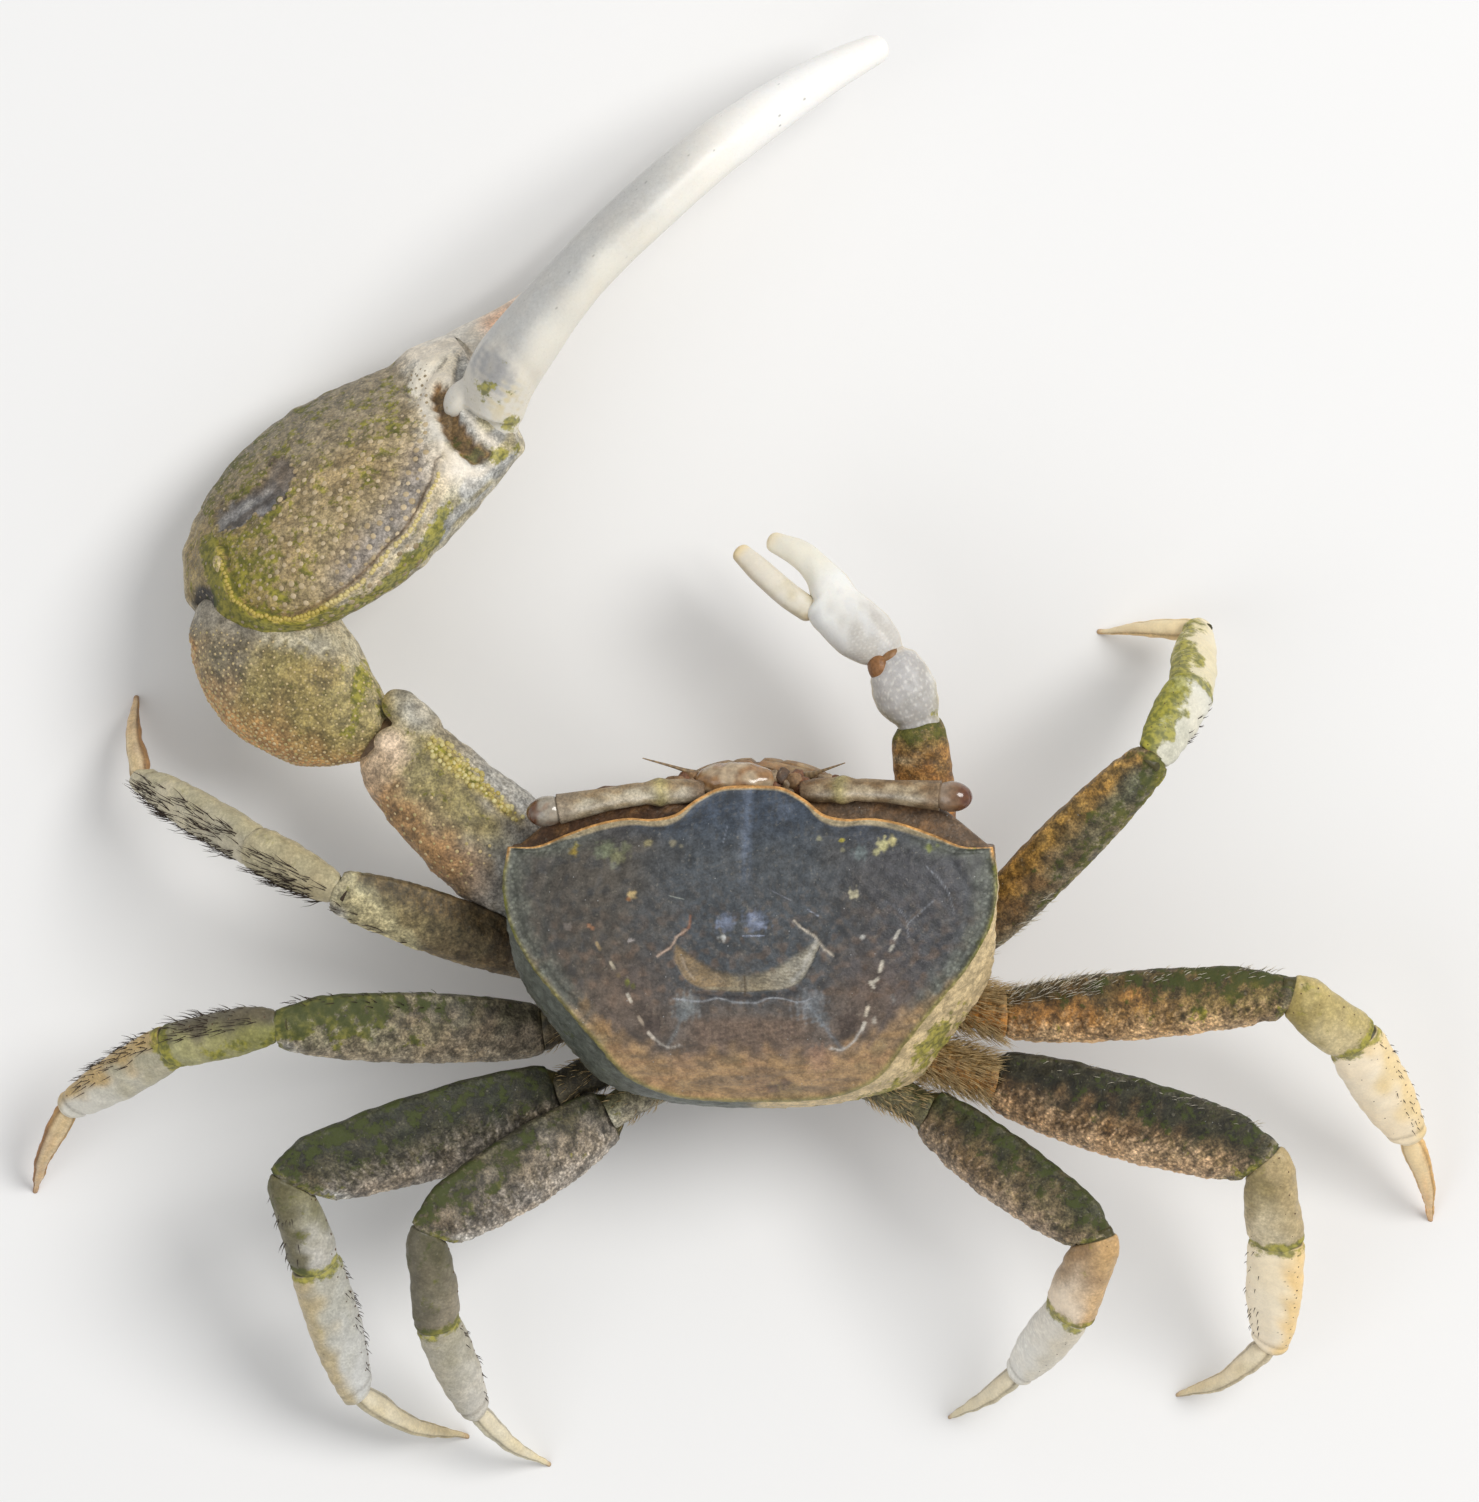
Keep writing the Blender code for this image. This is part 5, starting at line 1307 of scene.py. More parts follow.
def make_face():
    """The glossy brow bulge, and the rough clumps of hairy plates beside it, in front of the carapace."""
    draw = np.random.default_rng(31)
    bulge = ball((1.1, -10.5, 15.6), (2.6, 1.25, 1.15), (0.0, -1.0, 0.15), rows=40, sides=60)
    bulge = bulge + normals_of(bulge) * (0.05 * wobble(bulge, 1.2, 42))[..., None]
    tone = wobble(bulge, 1.3, 43)
    tint = layered(
        (148, 112, 74),
        ((178, 158, 130), ramp(-0.4, 0.7, tone)),
        ((112, 76, 50), ramp(0.4, 1.0, wobble(bulge, 0.7, 44)) * 0.5),
    )
    Skin().add_rings(lean(bulge), tint).make("brow_bulge", MATERIALS["eye"], (), "belly")
    skin = Skin()
    for _ in range(46):
        side = draw.choice((-1, -1, 1))
        reach = draw.uniform(1.3, 5.6) if side < 0 else draw.uniform(3.2, 5.2)
        centre = (side * reach, -10.55 + 0.09 * reach + draw.uniform(-0.45, 0.35), draw.uniform(14.2, 15.9))
        size = draw.uniform(0.22, 0.62)
        clump = ball(centre, (size, size * 0.75, size * 1.2), draw.normal(size=3), rows=12, sides=16)
        clump = clump + normals_of(clump) * (0.06 * wobble(clump, 0.5, int(draw.integers(1, 999))))[..., None]
        colour = CLUMP_COLOURS[draw.integers(0, len(CLUMP_COLOURS))]
        skin.add_rings(lean(clump), linear(colour), (0.05, 0.1, 0.5, 0.0))
    skin.make("face_clumps", MATERIALS["belly"], (), "belly")


EYE_LOOKS = {
    "left": dict(
        glass=(150, 142, 128), pupil=(96, 60, 38), stalk=(182, 172, 150), shade=(156, 142, 116),
        front=(134, 106, 68), rim=(146, 132, 114),
    ),
    "right": dict(
        glass=(122, 92, 66), pupil=(92, 52, 34), stalk=(172, 156, 128), shade=(128, 110, 84),
        front=(120, 92, 58), rim=(122, 100, 76),
    ),
}


def make_eye(side):
    middle, end = EYE_STALKS[side][1:]
    axis = unit(np.subtract(end, middle))
    centre = np.array(end) + axis * (EYE_HALF_LENGTH - 0.4)
    rings = ball(centre - axis * 0.12, (EYE_RADIUS, EYE_RADIUS, EYE_HALF_LENGTH + 0.14), axis)
    high = (rings[..., 2] - centre[2]) / EYE_RADIUS
    out = ((rings - centre) @ axis) / EYE_HALF_LENGTH
    tone = wobble(rings, 0.9, 51)
    looks = EYE_LOOKS[side]
    tint = layered(
        looks["glass"],
        (looks["pupil"], ramp(0.1, 0.75, out + 0.25 * tone)),
        ((118, 78, 48), ramp(0.2, 0.9, tone) * 0.5),
        ((172, 160, 142), ramp(0.3, -0.8, out) * ramp(-0.2, 0.6, high) * 0.5),
    )
    Skin().add_rings(lean(rings), tint).make("eye_surface_" + side, MATERIALS["eye"], ["eye_" + side], "eye")


def make_eyestalk(side):
    stations = (0.0, 0.15, 0.3, 0.6, 0.85, 1.0)
    half = (0.62, 0.78, 0.74, 0.72, 0.86, 0.95)
    rings = sweep(EYE_STALKS[side], (stations, half), (stations, half), sides=36, rings=90)
    share = along_rings(rings)
    knob = soft_spot(share - 0.3, 0.05)
    normal = normals_of(rings)
    rings = rings + normal * (0.16 * knob - 0.05 * soft_spot(share - 0.4, 0.03))[..., None]
    rings, share, knob, normal = (values[share[:, 0] < 0.99] for values in (rings, share, knob, normal))
    tone = wobble(rings * (1.0, 3.0, 3.0), 2.0, 52)
    front = ramp(0.1, 0.7, -normal[..., 1] + 0.2 * tone)
    looks = EYE_LOOKS[side]
    tint = layered(
        looks["stalk"],
        (looks["shade"], ramp(-0.4, 0.6, tone)),
        (looks["front"], front * 0.6),
        ((206, 200, 188), soft_spot(normal[..., 1] - 0.25, 0.2) * 0.45),
        ((178, 166, 112), knob * 0.8),
        (looks["rim"], ramp(0.8, 0.95, share) * 0.7),
        ((104, 78, 54), ramp(0.2, 0.0, share) * 0.8),
    )
    skin = Skin().add_rings(lean(rings), tint, marked(granules=0.5 * knob))
    skin.make("eyestalk_shell_" + side, MATERIALS["belly"], ["eyestalk_" + side], "belly")


def make_feeler(side):
    half = ((0.0, 0.2, 0.4, 1.0), (0.38, 0.24, 0.12, 0.035))
    rings = lean(sweep(ANTENNAE[side], half, half, sides=12, rings=60))
    joints = 0.5 + 0.5 * np.cos(along_rings(rings) * 60)
    tint = layered((150, 126, 92), ((96, 80, 60), joints * 0.7))
    Skin().add_rings(rings, tint).make("feeler_" + side, MATERIALS["skin"], ["antenna_" + side], "belly")


def make_eyes():
    for side in EYE_STALKS:
        make_eye(side)
        make_eyestalk(side)
        make_feeler(side)


# Legs


def side_of(leg):
    """1 for a left leg and -1 for a right one."""
    return 1.0 if leg["hip"][0] > 0 else -1.0


def leg_stops(leg):
    """The ends of a leg's pieces, from the body to the tip."""
    return [tuple(lean(leg["root"])), leg["hip"], leg["knee"], leg["wrist"], leg["ankle"], leg["tip"]]


def leg_piece(leg, piece):
    """The rings of one leg piece, as in the solids but finer."""
    i = list(LEG_PROFILES).index(piece)
    stops = leg_stops(leg)
    stations, shares = LEG_PROFILES[piece]
    wide = (stations, np.array(shares) * leg["widths"][i] / 2)
    thick = (stations, np.array(shares) * LEG_HALF_THICKNESS[piece])
    first, last = np.array(stops[i]), np.array(stops[i + 1])
    spine = [first, last]
    start = moved_plane(mitre(stops[i - 1], stops[i], stops[i + 1]), GAP / 2) if i else None
    if piece == "dactyl":
        spine = [first, (first + last) / 2 + (*leg["bow"], DACTYL_SAG), last]
        end = (np.zeros(3), np.array((0.0, 0.0, -1.0)))
    else:
        end = moved_plane(mitre(stops[i], stops[i + 1], stops[i + 2]), -GAP / 2)
    rolls = (LEG_ROLL_DEG * side_of(leg),)
    return sweep(spine, wide, thick, LEG_SIDES, LEG_RINGS[piece], start, end, rolls)


def jointed(rings, neck, lip, sides_across):
    """Gives a leg piece a neck that enters the piece before it, and an arched lip round its far end.

    neck and lip are (size, reach) pairs, one for each ring that is added.
    """
    first = rings[0]
    middle = first.mean(axis=0)
    back = unit(middle - rings[2].mean(axis=0))
    before = [middle + (first - middle) * size + back * reach for size, reach in neck]
    after = []
    if lip:
        forward = unit(rings[-1].mean(axis=0) - rings[-3].mean(axis=0))
        share = ramp(0.84, 1.0, np.linspace(0, 1, len(rings)))[:, None]
        arch = 0.26 * (1 - sides_across**2) * share + 0.1 * share
        rings = rings + arch[:, :, None] * forward
        last = rings[-1]
        middle = last.mean(axis=0)
        after = [middle + (last - middle) * size + forward * reach for size, reach in lip]
    before, after = (np.reshape(added, (-1, *first.shape)) for added in (before, after))
    return np.concatenate([before, rings, after])


class LegPiece:
    """One piece of one leg, with each point's place along it and round it.

    outer runs from -1 at the inner edge to 1 at the outer one, and over is 1 at the top.
    """

    def __init__(self, name, piece):
        self.name, self.piece, self.leg = name, piece, LEGS[name]
        self.order = list(LEG_PROFILES).index(piece)
        self.seed = 100 + list(LEGS).index(name) * 10 + self.order
        self.rings = leg_piece(self.leg, piece)
        self.share = along_rings(self.rings)
        angle = ring_angles(LEG_SIDES)[None, :] + 0 * self.share
        self.across = np.cos(angle)
        self.outer = self.across * side_of(self.leg)
        self.over = np.sin(angle)
        stops = leg_stops(self.leg)
        self.way = unit(np.subtract(stops[self.order + 1], stops[self.order]))
        self.tone = wobble(self.rings, 2.2, self.seed + 1)
        self.ragged = wobble(self.rings, 0.8, self.seed + 2)
        self.rear_colour, self.ripples = MERUS_REAR[name]
        self.wrinkles = np.sin((self.rings @ self.way) * 9.0 + 2.5 * self.ragged)

    def is_one_of(self, *pairs):
        return (self.name, self.piece) in pairs

    def scale_rings(self, size):
        centres = self.rings.mean(axis=1)[:, None, :]
        self.rings = centres + (self.rings - centres) * size[..., None]

    def shape(self):
        """Raises rims, ridges and wrinkles, and trims the width towards the knee."""
        share, outer, over = self.share, self.outer, self.over
        relief = 0.045 * wobble(self.rings, 1.8, self.seed) + 0.02 * self.ragged
        if self.piece != "dactyl":
            relief += 0.07 * soft_spot(share - 0.975, 0.016) - 0.06 * soft_spot(share - 0.925, 0.014)
            relief += 0.05 * soft_spot(share - 0.03, 0.02)
        if self.piece == "merus":
            relief += 0.12 * soft_spot(np.abs(outer) - 0.98, 0.05) - 0.1 * soft_spot(outer - 0.72, 0.16)
            relief -= 0.08 * soft_spot(over - 1.0, 0.25)
            relief += 0.035 * self.wrinkles * self.ripples * ramp(0.2, -0.4, outer)
        if self.piece == "dactyl":
            for ridge in (0.55, -0.55):
                relief -= 0.08 * soft_spot(over - ridge, 0.16) * ramp(1.0, 0.8, share)
        self.rings = self.rings + normals_of(self.rings) * relief[..., None]
        if "1" in self.name:
            return
        if self.piece == "merus":
            self.scale_rings(1 - 0.3 * ramp(0.8, 1.0, share) * np.clip(outer, 0, 1) ** 2)
        if self.piece == "carpus":
            self.scale_rings(1 + 0.2 * soft_spot(share - 0.24, 0.2) * np.clip(outer, 0, 1))

    def merus_tint(self, tint):
        """Ripples and scales behind, then the pale plate, stains and a painted highlight on the ridges at both
        edges.
        """
        share, outer, tone, ragged = self.share, self.outer, self.tone, self.ragged
        rear = ramp(0.1, 0.95, -outer + 0.25 * tone)
        scales = self.ripples * ramp(0.3, 0.95, self.wrinkles) * ramp(0.3, -0.4, outer)
        tint = layered(tint, (self.rear_colour, rear * 0.85), (self.rear_colour, np.clip(scales * 0.8, 0, 1)))
        clean = 1.0
        if self.name == "left_1":
            wedge = ramp(-0.05, 0.08, share - 0.5 - 0.22 * (outer + 1) + 0.05 * tone)
            tint = layered(tint, ((180, 172, 136), wedge * 0.95))
            clean = 1 - wedge
        plate = ramp(0.9, 0.95, share) * ramp(-0.3, -0.8, outer)
        tint = layered(
            tint,
            ((196, 194, 188) if "left" in self.name else (168, 148, 116), plate * 0.85),
            ((50, 48, 36), ramp(0.0, 0.9, ragged + 0.6 * outer) * 0.5 * clean),
            ((84, 78, 60), ramp(0.93, 0.99, share) * 0.5),
        )
        # Painted highlight: the ridges along both edges are lightened on their upper side with a brighter copy
        # of the shell's own colour.
        ridge = soft_spot(np.abs(outer) - 0.97, 0.05) * ramp(-0.4, 0.3, self.over)
        return layered(tint, (tint * 1.7 + 0.02, ridge * 0.7))

    def tint(self):
        share, outer, over, tone, ragged = self.share, self.outer, self.over, self.tone, self.ragged
        first, last, edge, _ = LEG_LOOKS[self.name][self.piece]
        start = -0.35 if self.piece == "merus" and "3" in self.name else 0.0
        tint = layered(
            first,
            (last, ramp(0.1, 0.9, share + 0.15 * tone)),
            (edge, ramp(start, 0.85 + start, outer + 0.35 * tone) * 0.9),
        )
        if self.piece in ("base", "merus"):
            tint = tint + 0.2 * (tint - tint.mean(axis=-1, keepdims=True))
        if self.piece == "merus":
            tint = self.merus_tint(tint)
        if self.is_one_of(("right_3", "carpus"), ("right_4", "propodus")):
            x, y = self.rings[..., 0], self.rings[..., 1]
            net = np.abs(np.sin(x * 5.0 + 1.6 * ragged) * np.sin(y * 5.0 - 1.6 * ragged))
            lines = ramp(0.25, 0.05, net) * ramp(-0.6, 0.4, -outer)
            tint = layered(tint, (tint * 1.3 + 0.02, lines * 0.6))
        if self.piece != "dactyl":
            return layered(
                tint,
                ((176, 166, 138), soft_spot(share - 0.985, 0.012) * 0.4),
                ((84, 70, 46), soft_spot(share - 0.93, 0.01) * 0.35),
            )
        return layered(
            tint,
            ((128, 112, 88), soft_spot(over - 0.55, 0.16) * 0.5),
            ((236, 222, 188), soft_spot(over - 0.9, 0.2) * 0.5),
            ((168, 112, 62), ramp(0.9, 1.0, share) * 0.5),
        )

    def algae(self):
        share, outer, tone = self.share, self.outer, self.tone
        at_start, at_end = LEG_LOOKS[self.name][self.piece][3]
        green = (1.3 if self.piece == "merus" else 0.9) * (at_start * (1 - share) + at_end * share)
        facing = -outer if self.is_one_of(("left_2", "carpus"), ("right_1", "merus")) else outer
        green = green * ramp(-1.1, 0.5, facing + 0.5 * tone)
        if self.is_one_of(("left_2", "carpus"), ("right_1", "carpus"), ("right_1", "propodus")):
            green = green * 1.5 * ramp(-0.35, 0.25, facing + 0.2 * tone)
        if self.name == "left_1":
            return green
        if self.piece == "merus":
            green += 0.1 * ramp(0.3, 0.9, outer) + 0.12 * self.ragged
        joint = soft_spot(share - 1.0 if self.piece in ("merus", "carpus") else share, 0.08)
        most = {"merus": 0.6, "carpus": 1.15, "propodus": 0.85}.get(self.piece, 0.15)
        return np.maximum(green, joint * most)

    def marks(self):
        grains = 0.3 if self.piece in ("base", "carpus") else 0.12
        if self.piece == "merus":
            grains = 0.35 + 0.65 * self.ripples * ramp(0.25, -0.3, self.outer)
        pits = {"propodus": 0.5, "carpus": 0.15}.get(self.piece, 0.0) * ramp(-0.2, 0.6, self.outer)
        return marked(algae=self.algae(), granules=grains, pits=pits)

    def add_knob(self, skin):
        """The small round knob on the inner side of a joint."""
        joint, before, beyond = (np.array(leg_stops(self.leg)[self.order + d], float) for d in (1, 0, 2))
        inner = unit(unit(before - joint) + unit(beyond - joint) + 1e-6)
        half = self.leg["widths"][self.order] / 2 * LEG_PROFILES[self.piece][1][-1]
        size = 0.5 if self.piece == "merus" else 0.32
        middle = joint - self.way * 0.25 + inner * half * 0.72 + (0, 0, 0.3)
        pale = (150, 146, 134) if "left" in self.name else (150, 134, 104)
        knob = ball(middle, (size, size * 0.8, size * 1.2), self.way, rows=14, sides=20)
        skin.add_rings(knob, linear(pale), (0.25, 0, 0.3, 0))

    def make(self):
        self.shape()
        tint, marks = self.tint(), self.marks()
        neck = LEG_NECK if self.order else ()
        lip = LEG_LIP if self.piece != "dactyl" else ()
        dark = layered((58, 46, 32), ((92, 94, 44), 0.0 if self.name == "left_1" else 0.35))
        fading = mixed(np.repeat(tint[-1:], len(lip), axis=0), dark, np.linspace(0.1, 1.0, len(lip))[:, None])
        before, after = ((len(added), LEG_SIDES) for added in (neck, lip))
        tint = np.concatenate([np.broadcast_to(dark, (*before, 3)), tint, fading])
        marks = np.concatenate([np.zeros((*before, 4)), marks, np.zeros((*after, 4))])
        skin = Skin().add_rings(jointed(self.rings, neck, lip, self.across[0]), tint, marks)
        if self.piece in ("merus", "carpus"):
            self.add_knob(skin)
        if self.piece in ("carpus", "propodus"):
            add_pit_row(skin, self.rings, self.name, self.piece, self.seed)
        look = "leg" if self.piece in ("base", "merus") else "pale"
        if self.is_one_of(("left_1", "merus")):
            look = "claw"
        node = f"leg_{self.name}_{self.piece}"
        skin.make(node + "_shell", MATERIALS[look], [node], "leg")


def make_legs():
    for name in LEGS:
        for piece in LEG_PROFILES:
            LegPiece(name, piece).make()


def add_pit_row(skin, rings, name, piece, seed):
    """Small dark bristle pits in rows along the upper side of a leg piece."""
    draw = np.random.default_rng(seed)
    normal = normals_of(rings)
    angle = ring_angles(LEG_SIDES)
    for side, count, size in PIT_ROWS.get(name, ()):
        if piece == "carpus":
            count = count // 2
        for share in np.linspace(0.08, 0.9, count):
            at = side + draw.uniform(-0.05, 0.05)
            j = int(np.argmin(np.abs(np.cos(angle) * side_of(LEGS[name]) - at) + 4 * (np.sin(angle) < 0)))
            i = int(np.clip(share + draw.uniform(-0.025, 0.025), 0, 1) * (len(rings) - 1))
            place, way = rings[i, j], normal[i, j]
            bead = dome(place - way * 0.01, way, size * draw.uniform(0.7, 1.2), size * 0.6, sides=7, rows=3)
            skin.add_rings(bead, linear((88, 66, 44)))


# Claws


def big_sweep(part, sides, rings):
    """Rings of one part of the big claw."""
    spine, stations, wide, thick, rolls = BIG_SWEEPS[part]
    return sweep(spine, (stations, wide), (stations, thick), sides, rings, rolls=rolls)


def tooth_row(rings, top, count, low, high, seed):
    """Blunt teeth along a finger's gape: sizes vary, with two larger ones."""
    draw = np.random.default_rng(seed)
    made = []
    for number, share in enumerate(np.linspace(low, high, count)):
        row = rings[int(share * (len(rings) - 1))]
        centre = row.mean(axis=0)
        spot = row[np.argmax(row[:, 2]) if top else np.argmin(row[:, 2])]
        out = unit(spot - centre)
        size = draw.uniform(0.3, 0.42)
        if number in (count // 4, count * 5 // 8):
            size = 0.8
        made.append(dome(spot - out * 0.05, out, size, size * 0.95, sides=14, rows=6))
    return made


def pollex_share(points):
    """0 on the palm to 1 at the fixed finger's tip."""
    way = np.subtract(BIG_FIXED_FINGER[-1], BIG_FIXED_FINGER[0])
    reach = (points - np.array(BIG_FIXED_FINGER[0])) @ unit(way)
    return np.clip(reach / np.linalg.norm(way), 0, 1)


def beyond_ridge(x, y, path):
    """1 on the side of the ridge that faces away from the palm's outer face."""
    best = np.full(x.shape, 1e9)
    side = np.zeros(x.shape)
    for a, b in zip(path, path[1:]):
        way = b - a
        share = np.clip(((x - a[0]) * way[0] + (y - a[1]) * way[1]) / (way @ way), 0, 1)
        dx, dy = x - a[0] - share * way[0], y - a[1] - share * way[1]
        far = np.hypot(dx, dy)
        cross = way[0] * dy - way[1] * dx
        closer = far < best
        best = np.where(closer, far, best)
        side = np.where(closer, cross, side)
    return ramp(0.02, -0.02, side)


def add_grains(beads, draw, points, normal, spacing, sizes, where):
    """Low round grains scattered over part of a skin."""
    order = draw.permutation(np.nonzero(where)[0])[:GRAIN_TRIES]
    for k in spaced(points, order, lambda k: spacing[k]):
        place, way = points[k], normal[k]
        size = sizes[k] * draw.uniform(0.75, 1.2)
        tone = random_tone(draw, (176, 160, 108), (208, 184, 140))
        beads.add_rings(dome(place - way * 0.02, way, size, size * 0.55, sides=8, rows=3), tone)


class BigPalm:
    """The big claw's palm with its fixed finger, and the zones that its looks follow.

    up is 1 on the upward side, face is 1 on the outer face and behind is 1 beyond the ridge. ridge, strip,
    pocket and scar_line are distances in plan in millimetres, and reach runs from 0 on the palm to 1 at
    the fixed finger's tip.
    """

    def __init__(self):
        parts = [
            capped(big_sweep("palm", sides=96, rings=140), reach=0.8),
            rounded_tip(big_sweep("fixed finger", sides=48, rings=160)),
        ]
        self.points, self.normal, self.faces = fused(parts, voxel=0.125, passes=18)
        points = self.points
        self.x, self.y = points[:, 0], points[:, 1]
        self.up = ramp(-0.15, 0.2, self.normal[:, 2])
        self.tone, self.ragged = wobble(points, 2.6, 61), wobble(points, 0.9, 62)
        self.fine = wobble(points, 0.4, 60)
        self.ridge = to_line(points, PALM_RIDGE)
        self.behind = beyond_ridge(self.x, self.y, curve_through(PALM_RIDGE_LEAD + PALM_RIDGE, 80))
        self.face = 1 - self.behind
        self.grey = soft_spot(self.ridge - 1.1, 1.3) * ramp(27.5, 24.5, self.x) * self.face
        self.front = ramp(21.6, 19.4, self.x + 0.22 * (self.y + 33.0) + 0.25 * self.ragged)
        self.scar_line = to_line(points, PALM_SCAR) + 0.22 * self.ragged + 0.1 * self.fine
        self.scar = ramp(0.95, 0.7, self.scar_line) * self.up
        self.hinge = spot_at(self.x, self.y, (18.1, -30.0), 1.3) * self.up
        self.strip = to_line(points, PALM_STRIP)
        self.reach = pollex_share(points)
        low = ramp(9.0, 7.6, points[:, 2] - 2.0 * self.reach)
        self.on_finger = np.maximum(ramp(0.09, 0.16, self.reach), ramp(0.0, 0.06, self.reach) * low)
        self.pocket = to_line(points, PALM_POCKET)
        self.worn = wobble(points, 0.8, 74)
        self.hollow = ramp(0.8, 0.5, self.pocket + 0.16 * self.worn) * ramp(9.6, 10.6, points[:, 2])

    def ground(self):
        """The palm's plain colours, before its marks."""
        x, y, tone, ragged = self.x, self.y, self.tone, self.ragged
        dorsal = layered((166, 166, 162), ((176, 168, 138), ramp(-0.2, 0.6, tone)))
        band = soft_spot(self.ridge - 0.6, 0.32) * self.behind * ramp(28.5, 25.5, x)
        heel = ramp(27.0, 31.5, x + 0.5 * ragged) * ramp(3.2, 0.6, self.ridge) * self.face
        return layered(
            (176, 157, 118),
            ((150, 133, 98), ramp(-0.5, 0.7, tone)),
            ((142, 124, 80), ramp(27.5, 32.0, x + 0.4 * ragged) * 0.7),
            ((150, 140, 122), ramp(-29.0, -32.0, y - 0.5 * (x - 28.0)) * 0.6),
            ((150, 144, 140), self.grey * 0.85),
            ((118, 106, 70), ramp(0.3, 1.0, ragged) * 0.4),
            ((226, 219, 202), self.front * 0.9 * self.face),
            (dorsal, self.behind * ramp(32.0, 29.5, x)),
            ((168, 152, 84), heel * 0.6),
            ((212, 196, 164), band * 0.8),
        )

    def bruise(self):
        x, y, ragged = self.x, self.y, self.ragged
        drawn = np.stack([-0.25 * (x + y), 0.9 * (x - y), 0.3 * self.points[:, 2]], axis=-1)
        streak = wobble(drawn, 0.8, 75)
        return layered(
            (124, 124, 128),
            ((80, 76, 78), ramp(-0.5, 0.6, streak + 0.3 * ragged)),
            ((176, 174, 170), ramp(0.6, 1.3, -streak) * 0.6),
            ((112, 98, 84), ramp(-28.4, -29.8, y + 0.3 * ragged) * 0.7),
        )

    def tint(self):
        x, y, up, ragged, fine = self.x, self.y, self.up, self.ragged, self.fine
        shaded = ramp(0.8, 0.25, self.normal[:, 2]) * ramp(22.0, 26.0, x) * self.face
        hole = soft_spot(np.hypot(x - 34.4, (y + 21.7) * 0.8), 0.95)
        stone = ramp(0.35, 0.6, soft_spot(np.hypot(x - 17.6, y + 37.6) + 0.2 * ragged, 1.1)) * up
        stone_tint = layered((70, 70, 70), ((140, 140, 136), ramp(-0.6, 0.8, fine)))
        ridge_tint = layered((206, 190, 160), ((190, 170, 74), ramp(24.0, 27.0, x)))
        # Painted shade: a dark brown line in the groove beside the ridge.
        crease = soft_spot(self.ridge - 0.34, 0.1) * up * self.face
        ivory = layered((222, 216, 204), ((246, 243, 236), ramp(0.15, 0.6, self.reach)))
        peach = soft_spot(to_line(self.points, [(16.0, -39.0), (14.4, -40.3)]), 0.8) * up
        skin = layered(
            (116, 94, 62),
            ((98, 94, 54), ramp(17.9, 17.2, x + 0.6 * self.worn)),
            ((84, 62, 40), ramp(0.2, 0.9, self.worn) * 0.7),
            ((152, 120, 84), ramp(0.35, 0.6, self.pocket) * 0.6),
        )
        return layered(
            self.ground(),
            (self.bruise(), self.scar * 0.92),
            ((96, 84, 64), soft_spot(self.scar_line - 0.88, 0.12) * up * 0.5),
            ((112, 104, 82), shaded * 0.6),
            ((48, 42, 36), ramp(0.2, 0.6, hole)),
            (stone_tint, stone * 0.9),
            (ridge_tint, soft_spot(self.ridge, 0.26) * up * 0.9),
            ((104, 78, 48), crease * 0.7),
            ((196, 184, 156), (1 - up) * 0.7),
            ((240, 236, 228), self.hinge * 0.85),
            ((242, 234, 216), ramp(0.6, 0.4, self.strip + 0.06 * ragged) * up),
            ((92, 84, 72), soft_spot(self.strip - 0.7, 0.1) * up * (x + y > -17.6) * 0.6),
            (ivory, self.on_finger),
            ((236, 190, 156), peach * 0.85),
            ((240, 234, 222), soft_spot(self.pocket - 1.15, 0.3) * up * 0.7),
            (skin, self.hollow),
        )

    def marks(self):
        x, y, up, ridge = self.x, self.y, self.up, self.ridge
        heel = ramp(27.0, 31.0, x) * ramp(-27.0, -23.0, y)
        band_at = 0.75 + 0.8 * ramp(28.0, 22.0, x)
        band = soft_spot(ridge - band_at, 0.5)
        algae = 0.4 + 0.12 * heel * self.face + 0.95 * band * self.behind - 0.25 * self.grey
        algae = algae + 0.16 * ramp(27.0, 31.0, x - 0.3 * (y + 27.0)) * self.face
        algae = algae + 0.2 * spot_at(x, y, (22.5, -33.2), 2.0) + 0.3 * spot_at(x, y, (18.0, -31.2), 1.4)
        algae = np.clip(algae * (1 - 0.6 * self.front), 0, 0.95) * up * (1 - self.scar)
        algae = algae * (1 - 0.8 * self.hinge) + 0.55 * spot_at(x, y, (15.2, -30.8), 1.1) * up
        granules = (0.45 - 0.3 * self.front) * (1 - self.scar) * (1 - 0.4 * self.behind)
        return marked(algae=algae, granules=granules) * (1 - self.on_finger)[:, None]

    def shape(self):
        """Raises the ridge, the strip and the finger's outer root, and sinks the bruise and the hollows."""
        up, ridge, reach = self.up, self.ridge, self.reach
        relief = 0.06 * wobble(self.points, 2.0, 63) + 0.22 * soft_spot(ridge, 0.3) * up
        relief -= 0.16 * soft_spot(ridge - 0.42, 0.2) * up * self.face
        relief += 0.16 * soft_spot(self.strip, 0.3) * up
        relief -= 0.2 * self.scar + 0.3 * self.behind * ramp(0.3, 2.5, ridge) * up
        rim = soft_spot(self.pocket - 1.05, 0.25) * up
        relief = relief * (1 - self.on_finger) - 0.38 * self.hollow + 0.12 * rim
        relief -= 0.35 * spot_at(self.x, self.y, (34.4, -21.7), 0.8) * up
        outer = ramp(0.0, 0.8, self.normal @ unit((0.66, -0.75, 0.0)))
        relief += 0.75 * outer * soft_spot(reach - 0.1, 0.12) * ramp(0.0, 0.05, reach)
        self.points = self.points + self.normal * relief[:, None]

